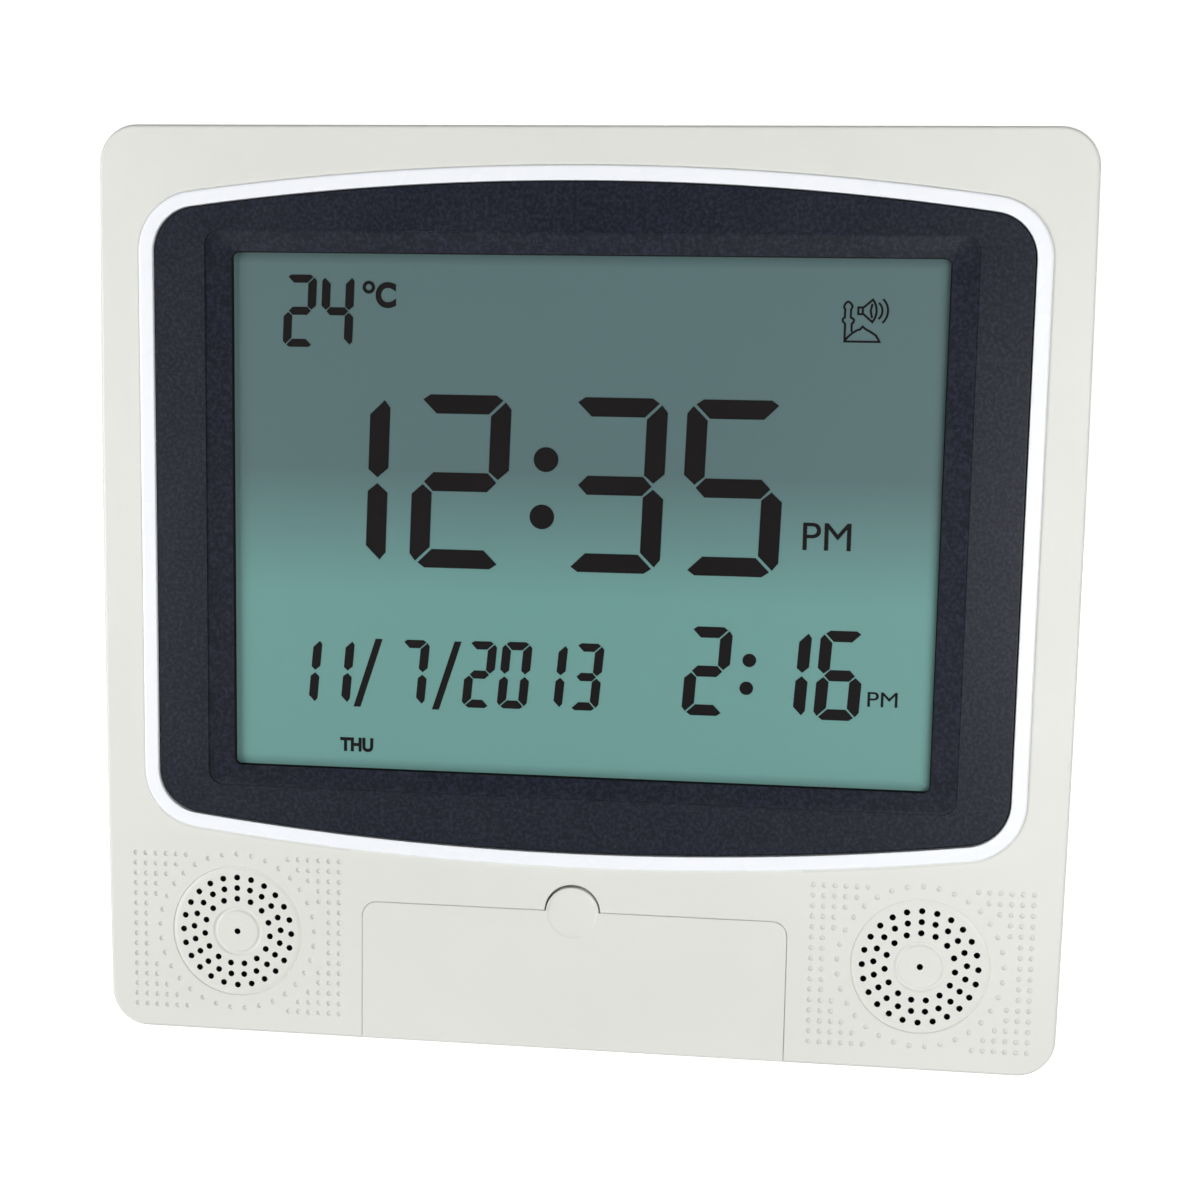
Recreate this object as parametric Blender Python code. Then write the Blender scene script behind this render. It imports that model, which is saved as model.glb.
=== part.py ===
"""Azan clock: a table and wall clock with a large LCD, two speakers and keys behind a drop-down door.

+X is the viewer's right, +Y runs from the front to the back and +Z is up, in metres. The origin is
under the middle of the clock, on the surface that its feet stand on. Every piece hangs on one empty,
at the bottom of the casing's front face, so in the functions below a place is written as
(x, depth behind the front face, height above the casing's bottom edge).
"""

import math

import bmesh
import bpy
from mathutils import Vector

# Casing
CASE_WIDTH = 0.2604
CASE_HEIGHT = 0.2466
FRONT_SHELL_DEPTH = 0.0200
CASE_CORNER_RADIUS = 0.0100
SIDE_BOW = 0.0008
WALL = 0.0024
FRONT_EDGE_RADIUS = 0.0035
REAR_EDGE_RADIUS = 0.0035
INNER_EDGE_RADIUS = 0.0011
LIP_LENGTH = 0.0020
LIP_STEP = 0.0011

# Clearances and overruns
FIT_GAP = 0.0003
OVERRUN = 0.0010
ROOT_OVERLAP = 0.0006

# Display ring and bezel, seen from the front
BEZEL_SIDE_MARGIN = 0.0152
BEZEL_TOP_MARGIN = 0.01394
BEZEL_HALF_WIDTH = CASE_WIDTH / 2 - BEZEL_SIDE_MARGIN
BEZEL_TOP = CASE_HEIGHT - BEZEL_TOP_MARGIN
BEZEL_BOTTOM = 0.0552
BEZEL_TOP_RADIUS = 0.765
BEZEL_BOTTOM_RADIUS = 0.820
BEZEL_CORNER_RADIUS = 0.0120
RING_WIDTH = 0.0040
RING_PROUD = 0.0006
RING_SEAT_DEPTH = 0.0014
RING_LEDGE = 0.0020
RING_CHAMFER = 0.0005
BEZEL_THICKNESS = 0.0020
BEZEL_RIM = 0.0020
BEZEL_FLANGE_LAP = 0.0026
BEZEL_FLANGE_THICKNESS = 0.0015

# Recess of the bezel and its window
RECESS_SIDE_MARGIN = 0.0140
RECESS_BOTTOM_MARGIN = 0.0148
RECESS_TOP_MARGIN = 0.01326
RECESS_HALF_WIDTH = BEZEL_HALF_WIDTH - RECESS_SIDE_MARGIN
RECESS_LOW = BEZEL_BOTTOM + RECESS_BOTTOM_MARGIN
RECESS_HIGH = BEZEL_TOP - RECESS_TOP_MARGIN
RECESS_CORNER_RADIUS = 0.0040
RECESS_STEP = 0.0003
SIDE_SLOPE_WIDTH = 0.0068
END_SLOPE_HEIGHT = 0.0054
WINDOW_HALF_WIDTH = RECESS_HALF_WIDTH - SIDE_SLOPE_WIDTH
WINDOW_LOW = RECESS_LOW + END_SLOPE_HEIGHT
WINDOW_HIGH = RECESS_HIGH - END_SLOPE_HEIGHT
WINDOW_CORNER_RADIUS = 0.0016
WINDOW_LIP_DEPTH = 0.0022
WINDOW_LIP_THICKNESS = 0.0008
PAD_MARGIN = 0.0020

# LCD, light guide, holder and rubber connectors
GLASS_MARGIN = 0.0043
GLASS_THICKNESS = 0.0014
CONTACT_LEDGE = 0.0060
GUIDE_THICKNESS = 0.0026
GUIDE_END_GAP = 0.0005
HOLDER_SIDE_GAP = 0.0004
HOLDER_WALL = 0.0035
HOLDER_LEDGE = 0.0030
HOLDER_REAR_MARGIN = 0.0005
STRIP_INSET = 0.0013
STRIP_HEIGHT = 0.0030
STRIP_END_INSET = 0.0060

# Main board, its posts and what is soldered to it
BOARD_THICKNESS = 0.0016
BOARD_MARGIN = 0.0015
BOARD_EDGE = 0.0014
POST_RADIUS = 0.0026
POST_CLEARANCE = 0.0020
POST_END_INSET = 0.0150
CHIP_SIZE = 0.0140
CHIP_THICKNESS = 0.0016
CHIP_CORNER = 0.0008
SOUND_CHIP_WIDTH = 0.0180
SOUND_CHIP_HEIGHT = 0.0080
CAPACITOR_RADIUS = 0.0040
CAPACITOR_LENGTH = 0.0090
SENSOR_WIDTH = 0.0046
SENSOR_HEIGHT = 0.0046
SENSOR_THICKNESS = 0.0036
CONTROLLER_PLACE_SHARES = (-0.15, 0.62)
SOUND_CHIP_PLACE_SHARES = (0.45, 0.66)
CAPACITOR_PLACE_SHARES = (0.62, 0.22)
SENSOR_PLACE_SHARES = (0.86, 0.06)

# Small screws of the main board and screws of the casing
BOARD_SCREW_RADIUS = 0.0010
BOARD_SCREW_HEAD_RADIUS = 0.0024
BOARD_SCREW_HEAD_HEIGHT = 0.0016
BOARD_SCREW_LENGTH = 0.0060
CASE_SCREW_RADIUS = 0.0012
CASE_SCREW_HEAD_RADIUS = 0.0027
CASE_SCREW_HEAD_HEIGHT = 0.0020
CASE_SCREW_LENGTH = 0.0120
CASE_SCREW_INSET_X = 0.0112
CASE_SCREW_INSET_Z = 0.0125
MIDDLE_SCREW_Z = CASE_HEIGHT / 2
BOSS_RADIUS = 0.0034
PILOT_DEPTH = 0.0135
WELL_RADIUS = 0.0042
WELL_WALL = 0.0010
WELL_FLOOR = 0.0020
WELL_OVERLAP = 0.0002

# Speakers and their grilles
SPEAKER_INSET = 0.0370
SPEAKER_X = CASE_WIDTH / 2 - SPEAKER_INSET
SPEAKER_Z = 0.0287
GRILLE_RADIUS = 0.0179
GRILLE_RIM_THICKNESS = 0.0009
GRILLE_SPIGOT_RADIUS = 0.0165
GRILLE_THICKNESS = 0.0020
GRILLE_HOLE_RADIUS = 0.00075
GRILLE_RING_RADII = (0.00927, 0.0123, 0.01527)
GRILLE_RING_COUNTS = (15, 21, 24)
SPEAKER_RADIUS = 0.0195
SPEAKER_FLANGE_THICKNESS = 0.0010
SPEAKER_MOUTH_RADIUS = 0.0160
SPEAKER_BACK_RADIUS = 0.0090
SPEAKER_BASKET_DEPTH = 0.0061
SPEAKER_SHEET = 0.0008
SPEAKER_BORE_RADIUS = 0.0035
SPEAKER_RIB_HEIGHT = 0.0040
SPEAKER_RIB_WALL = 0.0015
CONE_RADIUS = 0.0153
CONE_THICKNESS = 0.0005
CONE_ROLL_WIDTH = 0.0008
CONE_NECK_RADIUS = 0.0050
CONE_DEPTH = 0.0040
CONE_CAP_RISE = 0.0014
MAGNET_RADIUS = 0.0100
MAGNET_THICKNESS = 0.0045

# Control door, its hinge and the bay behind it
DOOR_TO_SPEAKER = 0.0354
DOOR_HALF_WIDTH = SPEAKER_X - DOOR_TO_SPEAKER
DOOR_TOP = 0.0393
DOOR_CORNER_RADIUS = 0.0040
DOOR_THICKNESS = 0.0020
DOOR_SEAM = 0.0004
DOOR_TAB_Z = 0.0380
DOOR_TAB_RADIUS = 0.0070
DOOR_DISH_RADIUS = 0.0058
DOOR_DISH_DEPTH = 0.0005
NOTCH_RADIUS = 0.0077
NOTCH_DEPTH = 0.0034
NOTCH_WALL = 0.0020
HINGE_PIN_RADIUS = 0.0012
HINGE_PIN_LENGTH = 0.0015
BAY_FRAME_LAP = 0.0025
BAY_DEPTH = 0.0080
BAY_LOW = 0.0090
BAY_CORNER_RADIUS = 0.0020
BAY_FLOOR = 0.0020
BAY_SIDE_WALL = 0.0038
BAY_TOP_WALL = 0.0023
BAY_SKIRT_LENGTH = 0.0054
BAY_SKIRT_WALL = 0.0030

# Keys and key board
KEY_COLUMNS = 4
KEY_ROWS = 2
KEY_ROW_MARGIN = 0.0037
KEY_WIDTH_SHARE = 0.54
KEY_PITCH_Z = 0.0140
KEY_RADIUS = 0.0030
KEY_PROUD = 0.0017
KEY_CHAMFER = 0.0004
KEY_FLANGE = 0.0010
KEY_TRAVEL = 0.0008
KEY_SWITCH_CLEARANCE = 0.0002
SWITCH_SIZE = 0.0060
SWITCH_HEIGHT = 0.0026
SWITCH_PLUNGER_HEIGHT = 0.0006
SWITCH_PLUNGER_RADIUS = 0.0017
KEY_BOARD_LAP = 0.0020
RIBBON_HALF_WIDTH = 0.0080
RIBBON_THICKNESS = 0.0006
RIBBON_LAP = 0.0080
RIBBON_STEPS = 8

# Power socket in the right side
SOCKET_Z = 0.0750
SOCKET_DEPTH = 0.0110
SOCKET_NOSE_RADIUS = 0.0025
SOCKET_BORE_RADIUS = 0.00185
SOCKET_BORE_LENGTH = 0.0080
SOCKET_PIN_RADIUS = 0.00065
SOCKET_PIN_LENGTH = 0.0065
SOCKET_BODY_LENGTH = 0.0090
SOCKET_BODY_HEIGHT = 0.0088
SOCKET_BODY_THICKNESS = 0.0064
SOCKET_RECESS = 0.0008

# Batteries and contacts
CELL_COUNT = 3
CELL_RADIUS = 0.00715
CELL_LENGTH = 0.0505
CELL_NUB_RADIUS = 0.00275
CELL_NUB_LENGTH = 0.0013
CELL_EDGE_RADIUS = 0.0006
CELL_SIDE_GAP = 0.0009
CONTACT_THICKNESS = 0.0004
CONTACT_HALF_WIDTH = 0.0052
SPRING_LENGTH = 0.0055
SPRING_WIRE_RADIUS = 0.00035
SPRING_BASE_RADIUS = 0.0042
SPRING_TIP_RADIUS = 0.0026
SPRING_TURNS = 3
SPRING_POINTS_PER_TURN = 8

# Battery bay and cover
BATTERY_BAY_DROP = 0.0886
BATTERY_BAY_Z = CASE_HEIGHT - BATTERY_BAY_DROP
BATTERY_BAY_WALL = 0.0016
BATTERY_TUB_CLEARANCE = 0.0026
COVER_LEDGE = 0.0025
COVER_THICKNESS = 0.0020
COVER_CORNER_RADIUS = 0.0030
COVER_RIM_WALL = 0.0016
COVER_RIM_DEPTH = 0.0070
COVER_TAB_X = 0.0180
COVER_TAB_HALF_WIDTH = 0.0040
COVER_TAB_REACH = 0.0020
COVER_TAB_THICKNESS = 0.0020
COVER_TAB_ROOT = 0.0017
COVER_TAB_SWING_ROOM = 0.0008
COVER_GRIP_COUNT = 3
COVER_GRIP_PITCH = 0.0030
COVER_GRIP_WIDTH = 0.0010
COVER_GRIP_HALF_LENGTH = 0.0080
COVER_GRIP_DEPTH = 0.0005

# Stand leg
LEG_HALF_WIDTH = 0.0225
LEG_THICKNESS = 0.0042
LEG_TO_COVER = 0.0107
LEG_TIP_Z = 0.0040
LEG_RECESS_WALL = 0.0018
LEG_SIDE_WALL = 0.0036
LEG_PIN_LENGTH = 0.0015
LEG_NOTCH_HALF_WIDTH = 0.0090
LEG_NOTCH_HEIGHT = 0.0080
LEG_POCKET_DEPTH = 0.0022
LEG_POCKET_RIB = 0.0035
LEG_POCKET_COUNT = 3

# Back: wall keyholes and sound slots
KEYHOLE_SIDE_INSET = 0.0602
KEYHOLE_TOP_INSET = 0.0386
KEYHOLE_X = CASE_WIDTH / 2 - KEYHOLE_SIDE_INSET
KEYHOLE_Z = CASE_HEIGHT - KEYHOLE_TOP_INSET
KEYHOLE_ENTRY_RADIUS = 0.0045
KEYHOLE_SLOT_RADIUS = 0.0022
KEYHOLE_RISE = 0.0090
SLOT_COUNT = 6
SLOT_PITCH = 0.0040
SLOT_HALF_WIDTH = 0.0110
SLOT_RADIUS = 0.0008

# Rubber feet
FOOT_INSET = 0.0302
FOOT_X = CASE_WIDTH / 2 - FOOT_INSET
FOOT_RADIUS = 0.0040
FOOT_PROUD = 0.0010
FOOT_SEAT = 0.0005
FOOT_TO_SEAM = 0.0018
FRONT_FOOT_DEPTH = 0.0100

# Smoothness of round shapes
CORNER_STEPS = 5
SIDE_STEPS = 3
BOW_STEPS = 8
EDGE_STEPS = 3
KEY_STEPS = 4
SMALL_SIDES = 8
CELL_SIDES = 12
SOCKET_SIDES = 12
FOOT_SIDES = 12
GRILLE_HOLE_SIDES = 6
GRILLE_SIDES = 28
SPEAKER_SIDES = 16
NOTCH_SIDES = 24
BARREL_SIDES = 20
SPRING_SIDES = 5
SHARP_ANGLE = math.radians(32)

# Depths behind the front face that several pieces share
RING_BACK = RING_SEAT_DEPTH - FIT_GAP
BEZEL_SHOULDER = RING_BACK + FIT_GAP
BEZEL_FLANGE_FRONT = WALL + FIT_GAP
BEZEL_FLANGE_BACK = BEZEL_FLANGE_FRONT + BEZEL_FLANGE_THICKNESS
WINDOW_LIP_BACK = WINDOW_LIP_DEPTH + WINDOW_LIP_THICKNESS
GLASS_FRONT = WINDOW_LIP_BACK + FIT_GAP
GLASS_STEP = GLASS_FRONT + GLASS_THICKNESS
GLASS_BACK = GLASS_STEP + GLASS_THICKNESS
GUIDE_FRONT = GLASS_BACK + FIT_GAP
GUIDE_BACK = GUIDE_FRONT + GUIDE_THICKNESS
HOLDER_BACK = GUIDE_BACK + HOLDER_REAR_MARGIN
BOARD_FRONT = HOLDER_BACK + FIT_GAP
BOARD_BACK = BOARD_FRONT + BOARD_THICKNESS
SOLDER_DEPTH = BOARD_BACK + FIT_GAP
BATTERY_TUB_FRONT = SOLDER_DEPTH + CHIP_THICKNESS + BATTERY_TUB_CLEARANCE
BATTERY_BAY_FLOOR = BATTERY_TUB_FRONT + BATTERY_BAY_WALL
CELL_AXIS_DEPTH = BATTERY_BAY_FLOOR + FIT_GAP + CELL_RADIUS
COVER_FRONT = CELL_AXIS_DEPTH + CELL_RADIUS + FIT_GAP
CASE_DEPTH = COVER_FRONT + COVER_THICKNESS
LIP_FRONT = FRONT_SHELL_DEPTH - LIP_LENGTH
REAR_SHELL_FRONT = FRONT_SHELL_DEPTH + FIT_GAP
REAR_FOOT_DEPTH = REAR_SHELL_FRONT + FOOT_TO_SEAM + FIT_GAP + FOOT_RADIUS
REAR_LIP_FRONT = LIP_FRONT + FIT_GAP
REAR_PLATE_FRONT = CASE_DEPTH - WALL
BAY_FLOOR_BACK = BAY_DEPTH + BAY_FLOOR
BAY_SKIRT_BACK = BAY_FLOOR_BACK + BAY_SKIRT_LENGTH
KEY_BOARD_FRONT = BAY_SKIRT_BACK + FIT_GAP
KEY_BOARD_BACK = KEY_BOARD_FRONT + BOARD_THICKNESS
LEG_AXIS_DEPTH = CASE_DEPTH - LEG_THICKNESS / 2
LEG_RECESS_FLOOR = CASE_DEPTH - LEG_THICKNESS - FIT_GAP

# Other sizes that several pieces share
GLASS_HALF_WIDTH = WINDOW_HALF_WIDTH + GLASS_MARGIN
GLASS_LOW = WINDOW_LOW - GLASS_MARGIN
GLASS_HIGH = WINDOW_HIGH + GLASS_MARGIN
HOLDER_HALF_WIDTH = GLASS_HALF_WIDTH + HOLDER_SIDE_GAP + HOLDER_WALL
HOLDER_LOW = GLASS_LOW - HOLDER_SIDE_GAP - HOLDER_WALL
HOLDER_HIGH = GLASS_HIGH + HOLDER_SIDE_GAP + HOLDER_WALL
POST_X = HOLDER_HALF_WIDTH + POST_CLEARANCE + POST_RADIUS
BOARD_HALF_WIDTH = POST_X + POST_RADIUS + BOARD_EDGE
BOARD_LOW = HOLDER_LOW - BOARD_MARGIN
BOARD_HIGH = HOLDER_HIGH + BOARD_MARGIN
DOOR_OPENING_HALF_WIDTH = DOOR_HALF_WIDTH + DOOR_SEAM
DOOR_OPENING_TOP = DOOR_TOP + DOOR_SEAM
BAY_HALF_WIDTH = DOOR_OPENING_HALF_WIDTH - BAY_FRAME_LAP
BAY_HIGH = DOOR_OPENING_TOP - BAY_FRAME_LAP
KEY_PITCH_X = 2 * (BAY_HALF_WIDTH - KEY_ROW_MARGIN) / KEY_COLUMNS
KEY_HALF_WIDTH = KEY_WIDTH_SHARE * KEY_PITCH_X / 2
BAY_BLOCK_HALF_WIDTH = DOOR_OPENING_HALF_WIDTH + BAY_SIDE_WALL
BAY_BLOCK_HIGH = DOOR_OPENING_TOP + BAY_TOP_WALL
BAY_BLOCK_LOW = WALL - ROOT_OVERLAP
BAY_SKIRT_HALF_WIDTH = BAY_BLOCK_HALF_WIDTH - BAY_SKIRT_WALL
BAY_SKIRT_LOW = BAY_BLOCK_LOW + BAY_SKIRT_WALL
BAY_SKIRT_HIGH = BAY_BLOCK_HIGH - BAY_SKIRT_WALL
CELL_PITCH = 2 * CELL_RADIUS + CELL_SIDE_GAP
BATTERY_BAY_HALF_LENGTH = (CELL_LENGTH + SPRING_LENGTH) / 2 + CONTACT_THICKNESS + 2 * FIT_GAP
BATTERY_BAY_HALF_HEIGHT = CELL_COUNT * CELL_PITCH / 2
CONTACT_INNER_X = BATTERY_BAY_HALF_LENGTH - FIT_GAP - CONTACT_THICKNESS
COVER_HALF_WIDTH = BATTERY_BAY_HALF_LENGTH + COVER_LEDGE
COVER_HALF_HEIGHT = BATTERY_BAY_HALF_HEIGHT + COVER_LEDGE
COVER_LOW = BATTERY_BAY_Z - COVER_HALF_HEIGHT
COVER_HIGH = BATTERY_BAY_Z + COVER_HALF_HEIGHT
LEG_AXIS_Z = COVER_LOW - LEG_TO_COVER
BEARING_RADIUS = HINGE_PIN_RADIUS + FIT_GAP

COLOURS = {
    "casing_cream": ((0.76, 0.76, 0.72), 0.45, 0.0),
    "trim_white": ((0.92, 0.93, 0.96), 0.20, 0.0),
    "bezel_navy": ((0.020, 0.024, 0.045), 0.55, 0.0),
    "lcd_glass": ((0.15, 0.24, 0.23), 0.25, 0.0),
    "guide_clear": ((0.75, 0.82, 0.75), 0.30, 0.0),
    "holder_white": ((0.70, 0.71, 0.70), 0.60, 0.0),
    "board_green": ((0.02, 0.14, 0.06), 0.50, 0.0),
    "part_black": ((0.02, 0.02, 0.022), 0.50, 0.0),
    "rubber_grey": ((0.12, 0.12, 0.12), 0.85, 0.0),
    "key_grey": ((0.45, 0.47, 0.48), 0.60, 0.0),
    "steel": ((0.62, 0.62, 0.60), 0.35, 1.0),
    "paper_black": ((0.03, 0.03, 0.03), 0.90, 0.0),
    "cell_green": ((0.05, 0.22, 0.12), 0.35, 0.2),
}


def clear_scene():
    for item in list(bpy.data.objects):
        bpy.data.objects.remove(item, do_unlink=True)


def make_material(name):
    colour, roughness, metallic = COLOURS[name]
    material = bpy.data.materials.new(name)
    material.use_nodes = True
    shader = material.node_tree.nodes["Principled BSDF"]
    shader.inputs["Base Color"].default_value = (*colour, 1.0)
    shader.inputs["Roughness"].default_value = roughness
    shader.inputs["Metallic"].default_value = metallic
    return material


def finish_object(name, mesh, material=None, origin=(0, 0, 0)):
    """Turn a bmesh into an object on the clock's empty, with its origin at the given place."""
    bmesh.ops.recalc_face_normals(mesh, faces=mesh.faces)
    bmesh.ops.translate(mesh, vec=-Vector(origin), verts=mesh.verts)
    data = bpy.data.meshes.new(name)
    mesh.to_mesh(data)
    mesh.free()
    data.shade_smooth()
    data.set_sharp_from_angle(angle=SHARP_ANGLE)
    item = bpy.data.objects.new(name, data)
    item.location = origin
    item.parent = bpy.data.objects["clock"]
    bpy.context.scene.collection.objects.link(item)
    if material is not None:
        data.materials.append(bpy.data.materials[material])
    return item


def boolean(target, operation, tool):
    """Cut, join or trim a piece with a tool that stays in the scene as a wire guide."""
    modifier = target.modifiers.new(tool.name, "BOOLEAN")
    modifier.operation = operation
    modifier.solver = "EXACT"
    modifier.object = tool
    for item in (target, tool):
        item.data.shade_flat()
    tool.hide_render = True
    tool.display_type = "WIRE"


# Outlines in the front view, as lists of (x, height)

def arc(centre_x, centre_z, radius, start, end, steps):
    """Points along an arc, both ends included, with angles in radians from +X towards +Z."""
    points = []
    for step in range(steps + 1):
        angle = start + (end - start) * step / steps
        points.append((centre_x + radius * math.cos(angle), centre_z + radius * math.sin(angle)))
    return points


def rounded_rectangle(half_width, low, high, radius, steps=CORNER_STEPS, side_steps=0):
    """A rectangle with round corners about x = 0, anticlockwise, with spare points up its sides."""
    quarter = math.pi / 2
    right = half_width - radius
    side = []
    for step in range(1, side_steps + 1):
        share = step / (side_steps + 1)
        side.append((low + radius) * (1 - share) + (high - radius) * share)
    points = arc(right, low + radius, radius, -quarter, 0, steps)
    points += [(half_width, z) for z in side]
    points += arc(right, high - radius, radius, 0, quarter, steps)
    points += arc(-right, high - radius, radius, quarter, 2 * quarter, steps)
    points += [(-half_width, z) for z in reversed(side)]
    points += arc(-right, low + radius, radius, 2 * quarter, 3 * quarter, steps)
    return points


def pill(half_width, radius, steps=CORNER_STEPS):
    """A level bar with half-round ends about the origin."""
    quarter = math.pi / 2
    reach = half_width - radius
    return arc(reach, 0, radius, -quarter, quarter, steps) + arc(-reach, 0, radius, quarter, 3 * quarter, steps)


def case_outline(inset):
    """The casing's outline, moved inwards by inset: its sides bow out a little at mid height."""
    middle = CASE_HEIGHT / 2
    points = []
    corners = rounded_rectangle(CASE_WIDTH / 2 - SIDE_BOW - inset, inset, CASE_HEIGHT - inset,
                                CASE_CORNER_RADIUS - inset, side_steps=SIDE_STEPS)
    for x, z in corners:
        bow = SIDE_BOW * (1 - ((z - middle) / middle) ** 2)
        points.append((x + math.copysign(bow, x), z))
    return points


def window_outline(offset):
    """The bowed frame's outline, moved outwards by offset from the ring's inner edge."""
    corner_x = BEZEL_HALF_WIDTH - BEZEL_CORNER_RADIUS
    top_reach = BEZEL_TOP_RADIUS - BEZEL_CORNER_RADIUS
    bottom_reach = BEZEL_BOTTOM_RADIUS - BEZEL_CORNER_RADIUS
    top_centre = BEZEL_TOP - BEZEL_TOP_RADIUS
    bottom_centre = BEZEL_BOTTOM + BEZEL_BOTTOM_RADIUS
    top_lean = math.asin(corner_x / top_reach)
    bottom_lean = math.asin(corner_x / bottom_reach)
    high = top_centre + top_reach * math.cos(top_lean)
    low = bottom_centre - bottom_reach * math.cos(bottom_lean)
    corner = BEZEL_CORNER_RADIUS + offset
    quarter = math.pi / 2
    points = arc(corner_x, low, corner, bottom_lean - quarter, 0, CORNER_STEPS)
    points += arc(corner_x, high, corner, 0, quarter - top_lean, CORNER_STEPS)
    points += arc(0, top_centre, BEZEL_TOP_RADIUS + offset,
                  quarter - top_lean, quarter + top_lean, BOW_STEPS)[1:-1]
    points += arc(-corner_x, high, corner, quarter + top_lean, 2 * quarter, CORNER_STEPS)
    points += arc(-corner_x, low, corner, 2 * quarter, 3 * quarter - bottom_lean, CORNER_STEPS)
    points += arc(0, bottom_centre, BEZEL_BOTTOM_RADIUS + offset,
                  3 * quarter - bottom_lean, 3 * quarter + bottom_lean, BOW_STEPS)[1:-1]
    return points


def moved(outline, x, z):
    return [(x + point[0], z + point[1]) for point in outline]


# Closed shells

def ring_at(outline, depth):
    return [Vector((x, depth, z)) for x, z in outline]


def skin(mesh, first, second):
    for i in range(len(first)):
        j = (i + 1) % len(first)
        mesh.faces.new((first[i], first[j], second[j], second[i]))


def add_loft(mesh, rings):
    """One closed shell that skins rings of equally many points, with a flat face at each end."""
    loops = [[mesh.verts.new(point) for point in ring] for ring in rings]
    for first, second in zip(loops, loops[1:]):
        skin(mesh, first, second)
    mesh.faces.new(loops[0])
    mesh.faces.new(loops[-1])


def add_hoop(mesh, rings):
    """One closed shell whose last ring joins its first, as in a washer or a picture frame."""
    loops = [[mesh.verts.new(point) for point in ring] for ring in rings]
    for first, second in zip(loops, loops[1:] + loops[:1]):
        skin(mesh, first, second)


def add_prism(mesh, outline, front, back):
    add_loft(mesh, [ring_at(outline, front), ring_at(outline, back)])


def add_box(mesh, low, high):
    x0, y0, z0 = low
    x1, y1, z1 = high
    add_prism(mesh, [(x0, z0), (x1, z0), (x1, z1), (x0, z1)], y0, y1)


def add_bar(mesh, section, left, right):
    """Extrude a section of (depth, height) along X."""
    add_loft(mesh, [[Vector((x, depth, z)) for depth, z in section] for x in (left, right)])


def turned_ring(axis, centre, radius, along, sides):
    """A circle of points round an axis through centre, at a distance along it."""
    ring = []
    for side in range(sides):
        angle = 2 * math.pi * side / sides
        first = radius * math.cos(angle)
        second = radius * math.sin(angle)
        if axis == "X":
            offset = (along, first, second)
        elif axis == "Y":
            offset = (first, along, second)
        else:
            offset = (first, second, along)
        ring.append(Vector(centre) + Vector(offset))
    return ring


def add_drum(mesh, axis, centre, radius, start, end, sides=SMALL_SIDES):
    rings = [turned_ring(axis, centre, radius, along, sides) for along in (start, end)]
    add_loft(mesh, rings)


def add_turned(mesh, axis, centre, profile, sides=SMALL_SIDES):
    """Turn a profile of (radius, distance along the axis) into a solid with flat ends."""
    add_loft(mesh, [turned_ring(axis, centre, radius, along, sides) for radius, along in profile])


def add_washer(mesh, axis, centre, profile, sides=SMALL_SIDES):
    """Turn a closed profile of (radius, distance along the axis) into a ring."""
    add_hoop(mesh, [turned_ring(axis, centre, radius, along, sides) for radius, along in profile])


# Front casing

def edge_rings(front, radius, steps, forward):
    """Rings of (inset, depth) round an edge: from the flat face outwards, or back in to it."""
    rings = []
    for step in range(steps + 1):
        angle = math.pi / 2 * step / steps
        inset = radius * (1 - math.sin(angle))
        rise = radius * (1 - math.cos(angle))
        rings.append((inset, front + rise if forward else front - rise))
    return rings if forward else rings[::-1]


def case_rings(steps):
    return [ring_at(case_outline(inset), depth) for inset, depth in steps]


def screw_places():
    """Where the casing screws stand: at the four corners and at mid height on both sides."""
    corner_x = CASE_WIDTH / 2 - CASE_SCREW_INSET_X
    middle_x = CASE_WIDTH / 2 - WALL - WELL_RADIUS + WELL_OVERLAP
    places = []
    for side in (-1, 1):
        places.append((side * corner_x, CASE_SCREW_INSET_Z))
        places.append((side * middle_x, MIDDLE_SCREW_Z))
        places.append((side * corner_x, CASE_HEIGHT - CASE_SCREW_INSET_Z))
    return places


def foot_places():
    return [(side * FOOT_X, depth) for side in (-1, 1) for depth in (FRONT_FOOT_DEPTH, REAR_FOOT_DEPTH)]


def key_places():
    """Centres of the keys, row by row from the top left."""
    middle = (BAY_LOW + BAY_HIGH) / 2
    places = []
    for row in range(KEY_ROWS):
        for column in range(KEY_COLUMNS):
            x = (column - (KEY_COLUMNS - 1) / 2) * KEY_PITCH_X
            z = middle + ((KEY_ROWS - 1) / 2 - row) * KEY_PITCH_Z
            places.append((x, z))
    return places


def front_shell():
    mesh = bmesh.new()
    steps = edge_rings(0, FRONT_EDGE_RADIUS, EDGE_STEPS, True) + [(0, FRONT_SHELL_DEPTH)]
    add_loft(mesh, case_rings(steps))
    casing = finish_object("front_casing", mesh, "casing_cream")

    mesh = bmesh.new()
    corner = WALL + INNER_EDGE_RADIUS
    steps = [(corner, WALL), (WALL, corner), (WALL, LIP_FRONT - FIT_GAP),
             (LIP_STEP, LIP_FRONT - FIT_GAP), (LIP_STEP, FRONT_SHELL_DEPTH + OVERRUN)]
    add_loft(mesh, case_rings(steps))
    boolean(casing, "DIFFERENCE", finish_object("front_cavity_tool", mesh))
    return casing


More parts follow.
